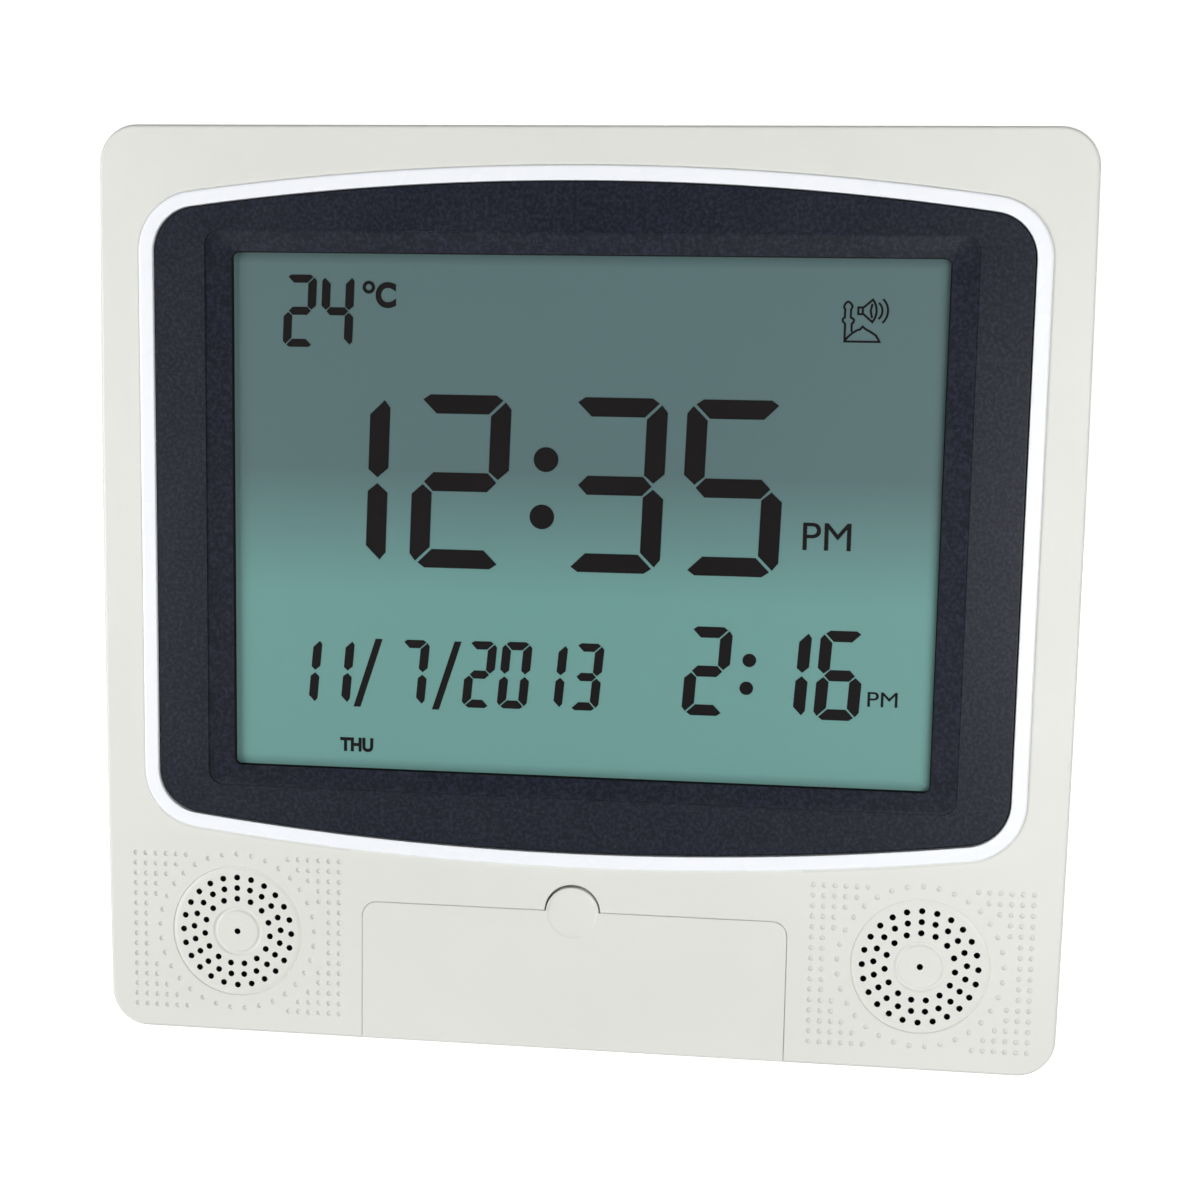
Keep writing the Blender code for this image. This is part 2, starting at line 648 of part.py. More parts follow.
def join_front_structure(casing):
    """Bay box, notch cup, speaker ribs and screw bosses, all rooted in the face."""
    root = WALL - ROOT_OVERLAP
    mesh = bmesh.new()
    add_box(mesh, (-BAY_BLOCK_HALF_WIDTH, root, BAY_BLOCK_LOW),
            (BAY_BLOCK_HALF_WIDTH, BAY_SKIRT_BACK, BAY_BLOCK_HIGH))
    boolean(casing, "UNION", finish_object("bay_block_tool", mesh))

    mesh = bmesh.new()
    add_drum(mesh, "Y", (0, 0, DOOR_TAB_Z), NOTCH_RADIUS + NOTCH_WALL, root,
             NOTCH_DEPTH + NOTCH_WALL, NOTCH_SIDES)
    rib_inner = SPEAKER_RADIUS + FIT_GAP
    rib_outer = rib_inner + SPEAKER_RIB_WALL
    rib_end = WALL + SPEAKER_RIB_HEIGHT
    for side in (-1, 1):
        profile = [(rib_inner, root), (rib_outer, root), (rib_outer, rib_end), (rib_inner, rib_end)]
        add_washer(mesh, "Y", (side * SPEAKER_X, 0, SPEAKER_Z), profile, SPEAKER_SIDES)
    for x, z in screw_places():
        add_drum(mesh, "Y", (x, 0, z), BOSS_RADIUS, root, LIP_FRONT)
    boolean(casing, "UNION", finish_object("face_structure_tool", mesh))


def cut_display_opening(casing):
    mesh = bmesh.new()
    rings = [ring_at(window_outline(RING_WIDTH + FIT_GAP), -OVERRUN),
             ring_at(window_outline(RING_WIDTH + FIT_GAP), RING_SEAT_DEPTH),
             ring_at(window_outline(RING_WIDTH - RING_LEDGE), RING_SEAT_DEPTH),
             ring_at(window_outline(RING_WIDTH - RING_LEDGE), WALL + OVERRUN)]
    add_loft(mesh, rings)
    boolean(casing, "DIFFERENCE", finish_object("display_opening_tool", mesh))


def cut_speaker_seats(casing):
    mesh = bmesh.new()
    seat = GRILLE_RADIUS + FIT_GAP
    bore = GRILLE_SPIGOT_RADIUS + FIT_GAP
    step = GRILLE_RIM_THICKNESS + FIT_GAP
    profile = [(seat, -OVERRUN), (seat, step), (bore, step), (bore, WALL + OVERRUN)]
    for side in (-1, 1):
        add_turned(mesh, "Y", (side * SPEAKER_X, 0, SPEAKER_Z), profile, GRILLE_SIDES)
    boolean(casing, "DIFFERENCE", finish_object("speaker_seat_tool", mesh))


def cut_door_opening(casing):
    """The rebate that the door lies in, its hinge trough, the finger notch and the bay."""
    mesh = bmesh.new()
    rebate = rounded_rectangle(DOOR_OPENING_HALF_WIDTH, -DOOR_CORNER_RADIUS - 2 * OVERRUN,
                               DOOR_OPENING_TOP, DOOR_CORNER_RADIUS + DOOR_SEAM)
    add_prism(mesh, rebate, -OVERRUN, DOOR_THICKNESS + FIT_GAP)
    boolean(casing, "DIFFERENCE", finish_object("door_rebate_tool", mesh))

    mesh = bmesh.new()
    axis = (0, FRONT_EDGE_RADIUS, FRONT_EDGE_RADIUS)
    add_drum(mesh, "X", axis, FRONT_EDGE_RADIUS + FIT_GAP,
             -DOOR_OPENING_HALF_WIDTH, DOOR_OPENING_HALF_WIDTH, BARREL_SIDES)
    boolean(casing, "DIFFERENCE", finish_object("hinge_trough_tool", mesh))

    mesh = bmesh.new()
    bearing = DOOR_HALF_WIDTH + HINGE_PIN_LENGTH + FIT_GAP
    for side in (-1, 1):
        add_drum(mesh, "X", axis, BEARING_RADIUS, side * (DOOR_HALF_WIDTH - OVERRUN), side * bearing)
    add_drum(mesh, "Y", (0, 0, DOOR_TAB_Z), NOTCH_RADIUS, -OVERRUN, NOTCH_DEPTH, NOTCH_SIDES)
    boolean(casing, "DIFFERENCE", finish_object("notch_and_bearing_tool", mesh))

    mesh = bmesh.new()
    bay = rounded_rectangle(BAY_HALF_WIDTH, BAY_LOW, BAY_HIGH, BAY_CORNER_RADIUS)
    add_prism(mesh, bay, -OVERRUN, BAY_DEPTH)
    boolean(casing, "DIFFERENCE", finish_object("bay_tool", mesh))

    mesh = bmesh.new()
    add_box(mesh, (-BAY_SKIRT_HALF_WIDTH, BAY_FLOOR_BACK, BAY_SKIRT_LOW),
            (BAY_SKIRT_HALF_WIDTH, BAY_SKIRT_BACK + OVERRUN, BAY_SKIRT_HIGH))
    boolean(casing, "DIFFERENCE", finish_object("bay_back_tool", mesh))


def cut_front_holes(casing):
    """Key holes in the bay's floor, pilot holes in the bosses, foot seats and the socket's hole."""
    mesh = bmesh.new()
    for x, z in key_places():
        hole = moved(pill(KEY_HALF_WIDTH + FIT_GAP, KEY_RADIUS + FIT_GAP, KEY_STEPS), x, z)
        add_prism(mesh, hole, BAY_DEPTH - OVERRUN, BAY_FLOOR_BACK + OVERRUN)
    for x, z in screw_places():
        add_drum(mesh, "Y", (x, 0, z), CASE_SCREW_RADIUS + FIT_GAP,
                 LIP_FRONT - PILOT_DEPTH, LIP_FRONT + OVERRUN)
    for side in (-1, 1):
        centre = (side * FOOT_X, FRONT_FOOT_DEPTH, 0)
        add_drum(mesh, "Z", centre, FOOT_RADIUS + FIT_GAP, -OVERRUN, FOOT_SEAT, FOOT_SIDES)
    add_drum(mesh, "X", (0, SOCKET_DEPTH, SOCKET_Z), SOCKET_NOSE_RADIUS + FIT_GAP,
             CASE_WIDTH / 2 - 2 * WALL, CASE_WIDTH / 2 + OVERRUN, SOCKET_SIDES)
    boolean(casing, "DIFFERENCE", finish_object("front_holes_tool", mesh))


def build_front_casing():
    casing = front_shell()
    join_front_structure(casing)
    cut_display_opening(casing)
    cut_speaker_seats(casing)
    cut_door_opening(casing)
    cut_front_holes(casing)


# Display: ring, bezel, glass, light guide, holder and connectors

def build_trim_ring():
    mesh = bmesh.new()
    outer = RING_WIDTH
    face = -RING_PROUD
    shoulder = face + RING_CHAMFER
    profile = [(0, RING_BACK), (0, shoulder), (RING_CHAMFER, face),
               (outer - RING_CHAMFER, face), (outer, shoulder), (outer, RING_BACK)]
    add_hoop(mesh, [ring_at(window_outline(offset), depth) for offset, depth in profile])
    finish_object("trim_ring", mesh, "trim_white")


def build_display_bezel():
    """A tray behind the ring: its face slopes down to the window, its flange laps the casing."""
    rim = RING_WIDTH - RING_LEDGE - FIT_GAP
    flange = RING_WIDTH - RING_LEDGE + BEZEL_FLANGE_LAP
    mesh = bmesh.new()
    steps = [(-FIT_GAP, 0), (-FIT_GAP, BEZEL_SHOULDER), (rim, BEZEL_SHOULDER), (rim, BEZEL_FLANGE_FRONT),
             (flange, BEZEL_FLANGE_FRONT), (flange, BEZEL_FLANGE_BACK)]
    add_loft(mesh, [ring_at(window_outline(offset), depth) for offset, depth in steps])
    bezel = finish_object("display_bezel", mesh, "bezel_navy")

    mesh = bmesh.new()
    add_prism(mesh, window_outline(-FIT_GAP - BEZEL_RIM), BEZEL_THICKNESS, BEZEL_FLANGE_BACK + OVERRUN)
    boolean(bezel, "DIFFERENCE", finish_object("bezel_back_tool", mesh))

    mesh = bmesh.new()
    root = BEZEL_THICKNESS - ROOT_OVERLAP
    pad = rounded_rectangle(RECESS_HALF_WIDTH + PAD_MARGIN, RECESS_LOW - PAD_MARGIN,
                            RECESS_HIGH + PAD_MARGIN, RECESS_CORNER_RADIUS)
    add_prism(mesh, pad, root, WINDOW_LIP_BACK)
    for x, z in post_places():
        add_drum(mesh, "Y", (x, 0, z), POST_RADIUS, root, HOLDER_BACK)
    boolean(bezel, "UNION", finish_object("bezel_structure_tool", mesh))

    mesh = bmesh.new()
    recess = rounded_rectangle(RECESS_HALF_WIDTH, RECESS_LOW, RECESS_HIGH, RECESS_CORNER_RADIUS)
    window = rounded_rectangle(WINDOW_HALF_WIDTH, WINDOW_LOW, WINDOW_HIGH, WINDOW_CORNER_RADIUS)
    add_loft(mesh, [ring_at(recess, -OVERRUN), ring_at(recess, RECESS_STEP),
                    ring_at(window, WINDOW_LIP_DEPTH), ring_at(window, WINDOW_LIP_BACK + OVERRUN)])
    for x, z in post_places():
        add_drum(mesh, "Y", (x, 0, z), BOARD_SCREW_RADIUS + FIT_GAP,
                 BOARD_BACK - BOARD_SCREW_LENGTH - OVERRUN, HOLDER_BACK + OVERRUN)
    boolean(bezel, "DIFFERENCE", finish_object("bezel_window_tool", mesh))


def post_places():
    """Centres of the four posts on the bezel that carry the main board."""
    low = BOARD_LOW + POST_END_INSET
    high = BOARD_HIGH - POST_END_INSET
    return [(side * POST_X, z) for side in (-1, 1) for z in (low, high)]


def upright_box(half_width, low, high):
    return [(half_width, low), (half_width, high), (-half_width, high), (-half_width, low)]


def build_lcd_panel():
    """Two bonded glass plates: the back one is shorter and bares the contact ledges."""
    low = GLASS_LOW + CONTACT_LEDGE
    high = GLASS_HIGH - CONTACT_LEDGE
    section = [(GLASS_FRONT, GLASS_LOW), (GLASS_STEP, GLASS_LOW), (GLASS_STEP, low), (GLASS_BACK, low),
               (GLASS_BACK, high), (GLASS_STEP, high), (GLASS_STEP, GLASS_HIGH), (GLASS_FRONT, GLASS_HIGH)]
    mesh = bmesh.new()
    add_bar(mesh, section, -GLASS_HALF_WIDTH, GLASS_HALF_WIDTH)
    finish_object("lcd_panel", mesh, "lcd_glass")


def build_light_guide():
    mesh = bmesh.new()
    half_width = GLASS_HALF_WIDTH - HOLDER_LEDGE - FIT_GAP
    inset = CONTACT_LEDGE + GUIDE_END_GAP
    add_box(mesh, (-half_width, GUIDE_FRONT, GLASS_LOW + inset), (half_width, GUIDE_BACK, GLASS_HIGH - inset))
    finish_object("light_guide", mesh, "guide_clear")


def build_lcd_holder():
    mesh = bmesh.new()
    add_box(mesh, (-HOLDER_HALF_WIDTH, GLASS_FRONT, HOLDER_LOW), (HOLDER_HALF_WIDTH, HOLDER_BACK, HOLDER_HIGH))
    holder = finish_object("lcd_holder", mesh, "holder_white")
    wide = GLASS_HALF_WIDTH + HOLDER_SIDE_GAP
    narrow = GLASS_HALF_WIDTH - HOLDER_LEDGE
    front = GLASS_FRONT - OVERRUN
    back = HOLDER_BACK + OVERRUN
    section = [(wide, front), (wide, GUIDE_FRONT), (narrow, GUIDE_FRONT), (narrow, back),
               (-narrow, back), (-narrow, GUIDE_FRONT), (-wide, GUIDE_FRONT), (-wide, front)]
    mesh = bmesh.new()
    levels = (GLASS_LOW - HOLDER_SIDE_GAP, GLASS_HIGH + HOLDER_SIDE_GAP)
    add_loft(mesh, [[Vector((x, depth, z)) for x, depth in section] for z in levels])
    boolean(holder, "DIFFERENCE", finish_object("holder_opening_tool", mesh))


def build_connector_strips():
    half_width = GLASS_HALF_WIDTH - STRIP_END_INSET
    lows = {"zebra_strip_bottom": GLASS_LOW + STRIP_INSET,
            "zebra_strip_top": GLASS_HIGH - STRIP_INSET - STRIP_HEIGHT}
    for name, low in lows.items():
        mesh = bmesh.new()
        add_box(mesh, (-half_width, GLASS_STEP + FIT_GAP, low), (half_width, HOLDER_BACK, low + STRIP_HEIGHT))
        finish_object(name, mesh, "rubber_grey")


# Main board

def build_main_board():
    mesh = bmesh.new()
    add_box(mesh, (-BOARD_HALF_WIDTH, BOARD_FRONT, BOARD_LOW), (BOARD_HALF_WIDTH, BOARD_BACK, BOARD_HIGH))
    board = finish_object("main_board", mesh, "board_green")
    mesh = bmesh.new()
    for x, z in post_places():
        add_drum(mesh, "Y", (x, 0, z), BOARD_SCREW_RADIUS + FIT_GAP,
                 BOARD_FRONT - OVERRUN, BOARD_BACK + OVERRUN)
    boolean(board, "DIFFERENCE", finish_object("board_holes_tool", mesh))


def board_place(shares):
    """A place on the main board from shares of its half width and of its height."""
    across, up = shares
    return across * BOARD_HALF_WIDTH, BOARD_LOW + up * (BOARD_HIGH - BOARD_LOW)


def build_chip(name, shares, width, height, thickness):
    """A moulded package: a plate whose edges draw in towards its top."""
    x, z = board_place(shares)
    base = rounded_rectangle(width / 2, -height / 2, height / 2, CHIP_CORNER, steps=1)
    top = rounded_rectangle(width / 2 - CHIP_CORNER / 2, CHIP_CORNER / 2 - height / 2,
                            height / 2 - CHIP_CORNER / 2, CHIP_CORNER, steps=1)
    mesh = bmesh.new()
    add_loft(mesh, [ring_at(moved(base, x, z), SOLDER_DEPTH),
                    ring_at(moved(base, x, z), SOLDER_DEPTH + thickness / 2),
                    ring_at(moved(top, x, z), SOLDER_DEPTH + thickness)])
    finish_object(name, mesh, "part_black", (x, SOLDER_DEPTH, z))


def build_board_parts():
    build_chip("controller_chip", CONTROLLER_PLACE_SHARES, CHIP_SIZE, CHIP_SIZE, CHIP_THICKNESS)
    build_chip("sound_chip", SOUND_CHIP_PLACE_SHARES, SOUND_CHIP_WIDTH, SOUND_CHIP_HEIGHT, CHIP_THICKNESS)
    build_chip("temperature_sensor", SENSOR_PLACE_SHARES, SENSOR_WIDTH, SENSOR_HEIGHT, SENSOR_THICKNESS)

    x, z = board_place(CAPACITOR_PLACE_SHARES)
    groove = CAPACITOR_RADIUS - CHIP_CORNER
    base = SOLDER_DEPTH + CHIP_CORNER
    top = SOLDER_DEPTH + CAPACITOR_LENGTH
    profile = [(CAPACITOR_RADIUS, SOLDER_DEPTH), (CAPACITOR_RADIUS, base), (groove, base + CHIP_CORNER / 2),
               (CAPACITOR_RADIUS, base + CHIP_CORNER), (CAPACITOR_RADIUS, top - CHIP_CORNER / 2),
               (groove, top)]
    mesh = bmesh.new()
    add_turned(mesh, "Y", (x, 0, z), profile, CELL_SIDES)
    finish_object("buffer_capacitor", mesh, "part_black", (x, SOLDER_DEPTH, z))

    for number, (x, z) in enumerate(post_places(), 1):
        build_screw(f"board_screw_{number}", x, z, SOLDER_DEPTH, BOARD_SCREW_RADIUS,
                    BOARD_SCREW_HEAD_RADIUS, BOARD_SCREW_HEAD_HEIGHT, BOARD_SCREW_LENGTH)


def build_screw(name, x, z, seat, radius, head_radius, head_height, length):
    """A pan head screw driven from behind: its head sits at seat and its shank runs forwards."""
    crown = head_radius * math.cos(math.pi / 4)
    profile = [(radius / 2, seat - length), (radius, seat - length + 2 * radius), (radius, seat),
               (head_radius, seat), (head_radius, seat + head_height / 2), (crown, seat + head_height)]
    mesh = bmesh.new()
    add_turned(mesh, "Y", (x, 0, z), profile)
    finish_object(name, mesh, "steel", (x, seat, z))


# Speakers

def build_grille(name, x):
    """A pierced disc: a rim on the casing's ledge, a spigot through it and rings of holes."""
    centre = (x, 0, SPEAKER_Z)
    mesh = bmesh.new()
    profile = [(GRILLE_RADIUS, 0), (GRILLE_RADIUS, GRILLE_RIM_THICKNESS),
               (GRILLE_SPIGOT_RADIUS, GRILLE_RIM_THICKNESS), (GRILLE_SPIGOT_RADIUS, GRILLE_THICKNESS)]
    add_turned(mesh, "Y", centre, profile, GRILLE_SIDES)
    grille = finish_object(name, mesh, "casing_cream", centre)
    mesh = bmesh.new()
    for hole_x, hole_z in grille_holes(x):
        add_drum(mesh, "Y", (hole_x, 0, hole_z), GRILLE_HOLE_RADIUS, -OVERRUN,
                 GRILLE_THICKNESS + OVERRUN, GRILLE_HOLE_SIDES)
    boolean(grille, "DIFFERENCE", finish_object(f"{name}_holes_tool", mesh))


def grille_holes(x):
    """A middle hole and three rings of holes, each with a hole at twelve o'clock."""
    places = [(x, SPEAKER_Z)]
    for radius, count in zip(GRILLE_RING_RADII, GRILLE_RING_COUNTS):
        for number in range(count):
            angle = math.pi / 2 + 2 * math.pi * number / count
            places.append((x + radius * math.cos(angle), SPEAKER_Z + radius * math.sin(angle)))
    return places


def build_speaker(side_name, x):
    centre = (x, 0, SPEAKER_Z)
    front = WALL + FIT_GAP
    flange_back = front + SPEAKER_FLANGE_THICKNESS
    basket_back = front + SPEAKER_BASKET_DEPTH
    outer_back = basket_back + SPEAKER_SHEET
    mesh = bmesh.new()
    profile = [(SPEAKER_RADIUS, front), (SPEAKER_RADIUS, flange_back),
               (SPEAKER_MOUTH_RADIUS + SPEAKER_SHEET, flange_back),
               (SPEAKER_BACK_RADIUS + SPEAKER_SHEET, outer_back), (SPEAKER_BORE_RADIUS, outer_back),
               (SPEAKER_BORE_RADIUS, basket_back), (SPEAKER_BACK_RADIUS, basket_back),
               (SPEAKER_MOUTH_RADIUS, front + SPEAKER_SHEET), (SPEAKER_MOUTH_RADIUS, front)]
    add_washer(mesh, "Y", centre, profile, SPEAKER_SIDES)
    finish_object(f"speaker_frame_{side_name}", mesh, "steel", centre)

    roll = CONE_RADIUS - CONE_ROLL_WIDTH
    neck = front + CONE_DEPTH
    mesh = bmesh.new()
    profile = [(CONE_NECK_RADIUS / 2, neck - CONE_CAP_RISE), (CONE_NECK_RADIUS, neck), (roll, front),
               (CONE_RADIUS, front), (CONE_RADIUS, front + CONE_THICKNESS), (roll, front + CONE_THICKNESS),
               (CONE_NECK_RADIUS, neck + CONE_THICKNESS)]
    add_turned(mesh, "Y", centre, profile, SPEAKER_SIDES)
    finish_object(f"speaker_cone_{side_name}", mesh, "paper_black", centre)

    seat = outer_back + FIT_GAP
    mesh = bmesh.new()
    chamfer = SPEAKER_SHEET
    profile = [(MAGNET_RADIUS, seat), (MAGNET_RADIUS, seat + MAGNET_THICKNESS - chamfer),
               (MAGNET_RADIUS - chamfer, seat + MAGNET_THICKNESS)]
    add_turned(mesh, "Y", centre, profile, SPEAKER_SIDES)
    finish_object(f"speaker_magnet_{side_name}", mesh, "part_black", (x, seat, SPEAKER_Z))


# Control door, keys and key board

def build_control_door():
    """A flap whose bottom edge is a barrel about the hinge axis, so it turns clear of the table."""
    axis = Vector((0, FRONT_EDGE_RADIUS, FRONT_EDGE_RADIUS))
    radius = FRONT_EDGE_RADIUS
    top = DOOR_TAB_Z + DOOR_TAB_RADIUS + OVERRUN
    inner_angle = math.acos((DOOR_THICKNESS - radius) / radius)
    section = arc(radius, radius, radius, -math.pi, inner_angle, BARREL_SIDES)
    section += [(DOOR_THICKNESS, top), (0, top)]
    mesh = bmesh.new()
    add_bar(mesh, section, -DOOR_HALF_WIDTH - OVERRUN, DOOR_HALF_WIDTH + OVERRUN)
    door = finish_object("control_door", mesh, "casing_cream", axis)

    mesh = bmesh.new()
    tab_start = math.asin((DOOR_TOP - DOOR_TAB_Z) / DOOR_TAB_RADIUS)
    corner = DOOR_HALF_WIDTH - DOOR_CORNER_RADIUS
    corner_z = DOOR_TOP - DOOR_CORNER_RADIUS
    outline = [(-DOOR_HALF_WIDTH, -OVERRUN), (DOOR_HALF_WIDTH, -OVERRUN)]
    outline += arc(corner, corner_z, DOOR_CORNER_RADIUS, 0, math.pi / 2, CORNER_STEPS)
    outline += arc(0, DOOR_TAB_Z, DOOR_TAB_RADIUS, tab_start, math.pi - tab_start, NOTCH_SIDES // 2)
    outline += arc(-corner, corner_z, DOOR_CORNER_RADIUS, math.pi / 2, math.pi, CORNER_STEPS)
    add_prism(mesh, outline, -OVERRUN, 2 * radius + OVERRUN)
    boolean(door, "INTERSECT", finish_object("door_outline_tool", mesh))

    mesh = bmesh.new()
    for side in (-1, 1):
        add_drum(mesh, "X", axis, HINGE_PIN_RADIUS, side * (DOOR_HALF_WIDTH - ROOT_OVERLAP),
                 side * (DOOR_HALF_WIDTH + HINGE_PIN_LENGTH))
    boolean(door, "UNION", finish_object("door_pins_tool", mesh))

    mesh = bmesh.new()
    profile = [(DOOR_DISH_RADIUS, -OVERRUN), (DOOR_DISH_RADIUS, 0),
               (DOOR_DISH_RADIUS - DOOR_DISH_DEPTH, DOOR_DISH_DEPTH)]
    add_turned(mesh, "Y", (0, 0, DOOR_TAB_Z), profile, NOTCH_SIDES)
    boolean(door, "DIFFERENCE", finish_object("door_dish_tool", mesh))


def build_keys():
    """Key caps with a chamfered face and a flange behind the bay's floor that meets the switch."""
    face = BAY_DEPTH - KEY_PROUD
    flange_front = BAY_FLOOR_BACK + FIT_GAP
    flange_back = flange_front + KEY_FLANGE
    steps = [(-KEY_CHAMFER, face), (0, face + KEY_CHAMFER), (0, flange_front), (KEY_FLANGE, flange_front),
             (KEY_FLANGE, flange_back)]
    for number, (x, z) in enumerate(key_places(), 1):
        mesh = bmesh.new()
        rings = []
        for offset, depth in steps:
            outline = pill(KEY_HALF_WIDTH + offset, KEY_RADIUS + offset, KEY_STEPS)
            rings.append(ring_at(moved(outline, x, z), depth))
        add_loft(mesh, rings)
        finish_object(f"button_{number}", mesh, "key_grey", (x, face, z))


def switch_top():
    """Depth of a switch's plunger, one key travel and a little more behind the flanges at rest."""
    return BAY_FLOOR_BACK + FIT_GAP + KEY_FLANGE + KEY_TRAVEL + KEY_SWITCH_CLEARANCE


def build_key_board():
    half_width = BAY_SKIRT_HALF_WIDTH + KEY_BOARD_LAP
    low = BAY_SKIRT_LOW - KEY_BOARD_LAP
    high = BAY_SKIRT_HIGH + KEY_BOARD_LAP
    mesh = bmesh.new()
    add_box(mesh, (-half_width, KEY_BOARD_FRONT, low), (half_width, KEY_BOARD_BACK, high))
    board = finish_object("key_board", mesh, "board_green")
    mesh = bmesh.new()
    plunger_top = switch_top()
    body_top = plunger_top + SWITCH_PLUNGER_HEIGHT
    root = KEY_BOARD_FRONT + ROOT_OVERLAP
    half = SWITCH_SIZE / 2
    waist = SWITCH_PLUNGER_RADIUS
    for x, z in key_places():
        square = upright_box(half, -half, half)
        tip = upright_box(waist, -waist, waist)
        add_loft(mesh, [ring_at(moved(square, x, z), root), ring_at(moved(square, x, z), body_top),
                        ring_at(moved(tip, x, z), body_top), ring_at(moved(tip, x, z), plunger_top)])
    boolean(board, "UNION", finish_object("switches_tool", mesh))


def build_key_ribbon():
    """A flat cable that lies on the main board's back and steps back on to the key board's."""
    half = RIBBON_THICKNESS / 2
    start = BOARD_BACK + FIT_GAP + half
    end = KEY_BOARD_BACK + FIT_GAP + half
    key_board_top = BAY_SKIRT_HIGH + KEY_BOARD_LAP
    step_high = BOARD_LOW
    step_low = BAY_BLOCK_HIGH + FIT_GAP
    path = [(start, step_high + RIBBON_LAP)]
    for step in range(RIBBON_STEPS + 1):
        share = step / RIBBON_STEPS
        ease = share * share * (3 - 2 * share)
        path.append((start + (end - start) * ease, step_high + (step_low - step_high) * share))
    path.append((end, key_board_top - RIBBON_LAP))
    rings = []
    for depth, z in path:
        rings.append([Vector((-RIBBON_HALF_WIDTH, depth - half, z)), Vector((RIBBON_HALF_WIDTH, depth - half, z)),
                      Vector((RIBBON_HALF_WIDTH, depth + half, z)), Vector((-RIBBON_HALF_WIDTH, depth + half, z))])
    mesh = bmesh.new()
    add_loft(mesh, rings)
    finish_object("key_ribbon", mesh, "holder_white")


# Power socket

def build_power_socket():
    """A round-nosed inlet behind the right side wall, with a bore and a middle pin."""
    wall_x = CASE_WIDTH / 2 - SIDE_BOW - WALL
    body_right = wall_x - FIT_GAP
    nose_tip = CASE_WIDTH / 2 - SIDE_BOW - SOCKET_RECESS
    axis = (0, SOCKET_DEPTH, SOCKET_Z)
    mesh = bmesh.new()
    half_thickness = SOCKET_BODY_THICKNESS / 2
    half_height = SOCKET_BODY_HEIGHT / 2
    add_box(mesh, (body_right - SOCKET_BODY_LENGTH, SOCKET_DEPTH - half_thickness, SOCKET_Z - half_height),
            (body_right, SOCKET_DEPTH + half_thickness, SOCKET_Z + half_height))
    socket = finish_object("power_socket", mesh, "part_black")

    mesh = bmesh.new()
    add_drum(mesh, "X", axis, SOCKET_NOSE_RADIUS, body_right - ROOT_OVERLAP, nose_tip, SOCKET_SIDES)
    boolean(socket, "UNION", finish_object("socket_nose_tool", mesh))

    mesh = bmesh.new()
    floor = nose_tip - SOCKET_BORE_LENGTH
    profile = [(SOCKET_BORE_RADIUS, nose_tip + OVERRUN), (SOCKET_BORE_RADIUS, floor),
               (SOCKET_PIN_RADIUS, floor), (SOCKET_PIN_RADIUS, floor + SOCKET_PIN_LENGTH)]
    add_turned(mesh, "X", axis, profile, SOCKET_SIDES)
    boolean(socket, "DIFFERENCE", finish_object("socket_bore_tool", mesh))


# Rear casing

def rear_shell():
    mesh = bmesh.new()
    lip = LIP_STEP + FIT_GAP
    steps = [(lip, REAR_LIP_FRONT), (lip, REAR_SHELL_FRONT), (0, REAR_SHELL_FRONT)]
    steps += edge_rings(CASE_DEPTH, REAR_EDGE_RADIUS, EDGE_STEPS, False)
    add_loft(mesh, case_rings(steps))
    casing = finish_object("rear_casing", mesh, "casing_cream")

    mesh = bmesh.new()
    steps = [(WALL, REAR_LIP_FRONT - OVERRUN), (WALL, REAR_PLATE_FRONT - INNER_EDGE_RADIUS),
             (WALL + INNER_EDGE_RADIUS, REAR_PLATE_FRONT)]
    add_loft(mesh, case_rings(steps))
    boolean(casing, "DIFFERENCE", finish_object("rear_cavity_tool", mesh))
    return casing


def join_rear_structure(casing):
    """Battery tub with its thicker rim, stand recess box and screw wells, all rooted in the plate."""
    root = REAR_PLATE_FRONT + ROOT_OVERLAP
    tub_x = BATTERY_BAY_HALF_LENGTH + BATTERY_BAY_WALL
    tub_z = BATTERY_BAY_HALF_HEIGHT + BATTERY_BAY_WALL
    mesh = bmesh.new()
    add_box(mesh, (-tub_x, BATTERY_TUB_FRONT, BATTERY_BAY_Z - tub_z),
            (tub_x, root, BATTERY_BAY_Z + tub_z))
    boolean(casing, "UNION", finish_object("battery_tub_tool", mesh))

    mesh = bmesh.new()
    rim_x = COVER_HALF_WIDTH + FIT_GAP + COVER_RIM_WALL
    rim_low = COVER_LOW - COVER_TAB_REACH - FIT_GAP - COVER_RIM_WALL
    rim_high = COVER_HIGH + FIT_GAP + COVER_RIM_WALL
    rim_root = root + ROOT_OVERLAP / 2
    add_box(mesh, (-rim_x, CASE_DEPTH - COVER_RIM_DEPTH, rim_low), (rim_x, rim_root, rim_high))
    leg_x = LEG_HALF_WIDTH + FIT_GAP + LEG_SIDE_WALL
    leg_high = LEG_AXIS_Z + LEG_THICKNESS / 2 + FIT_GAP + LEG_RECESS_WALL
    add_box(mesh, (-leg_x, LEG_RECESS_FLOOR - LEG_RECESS_WALL, WALL - ROOT_OVERLAP), (leg_x, rim_root, leg_high))
    for x, z in screw_places():
        add_drum(mesh, "Y", (x, 0, z), WELL_RADIUS, REAR_LIP_FRONT, root)
    boolean(casing, "UNION", finish_object("rear_structure_tool", mesh))


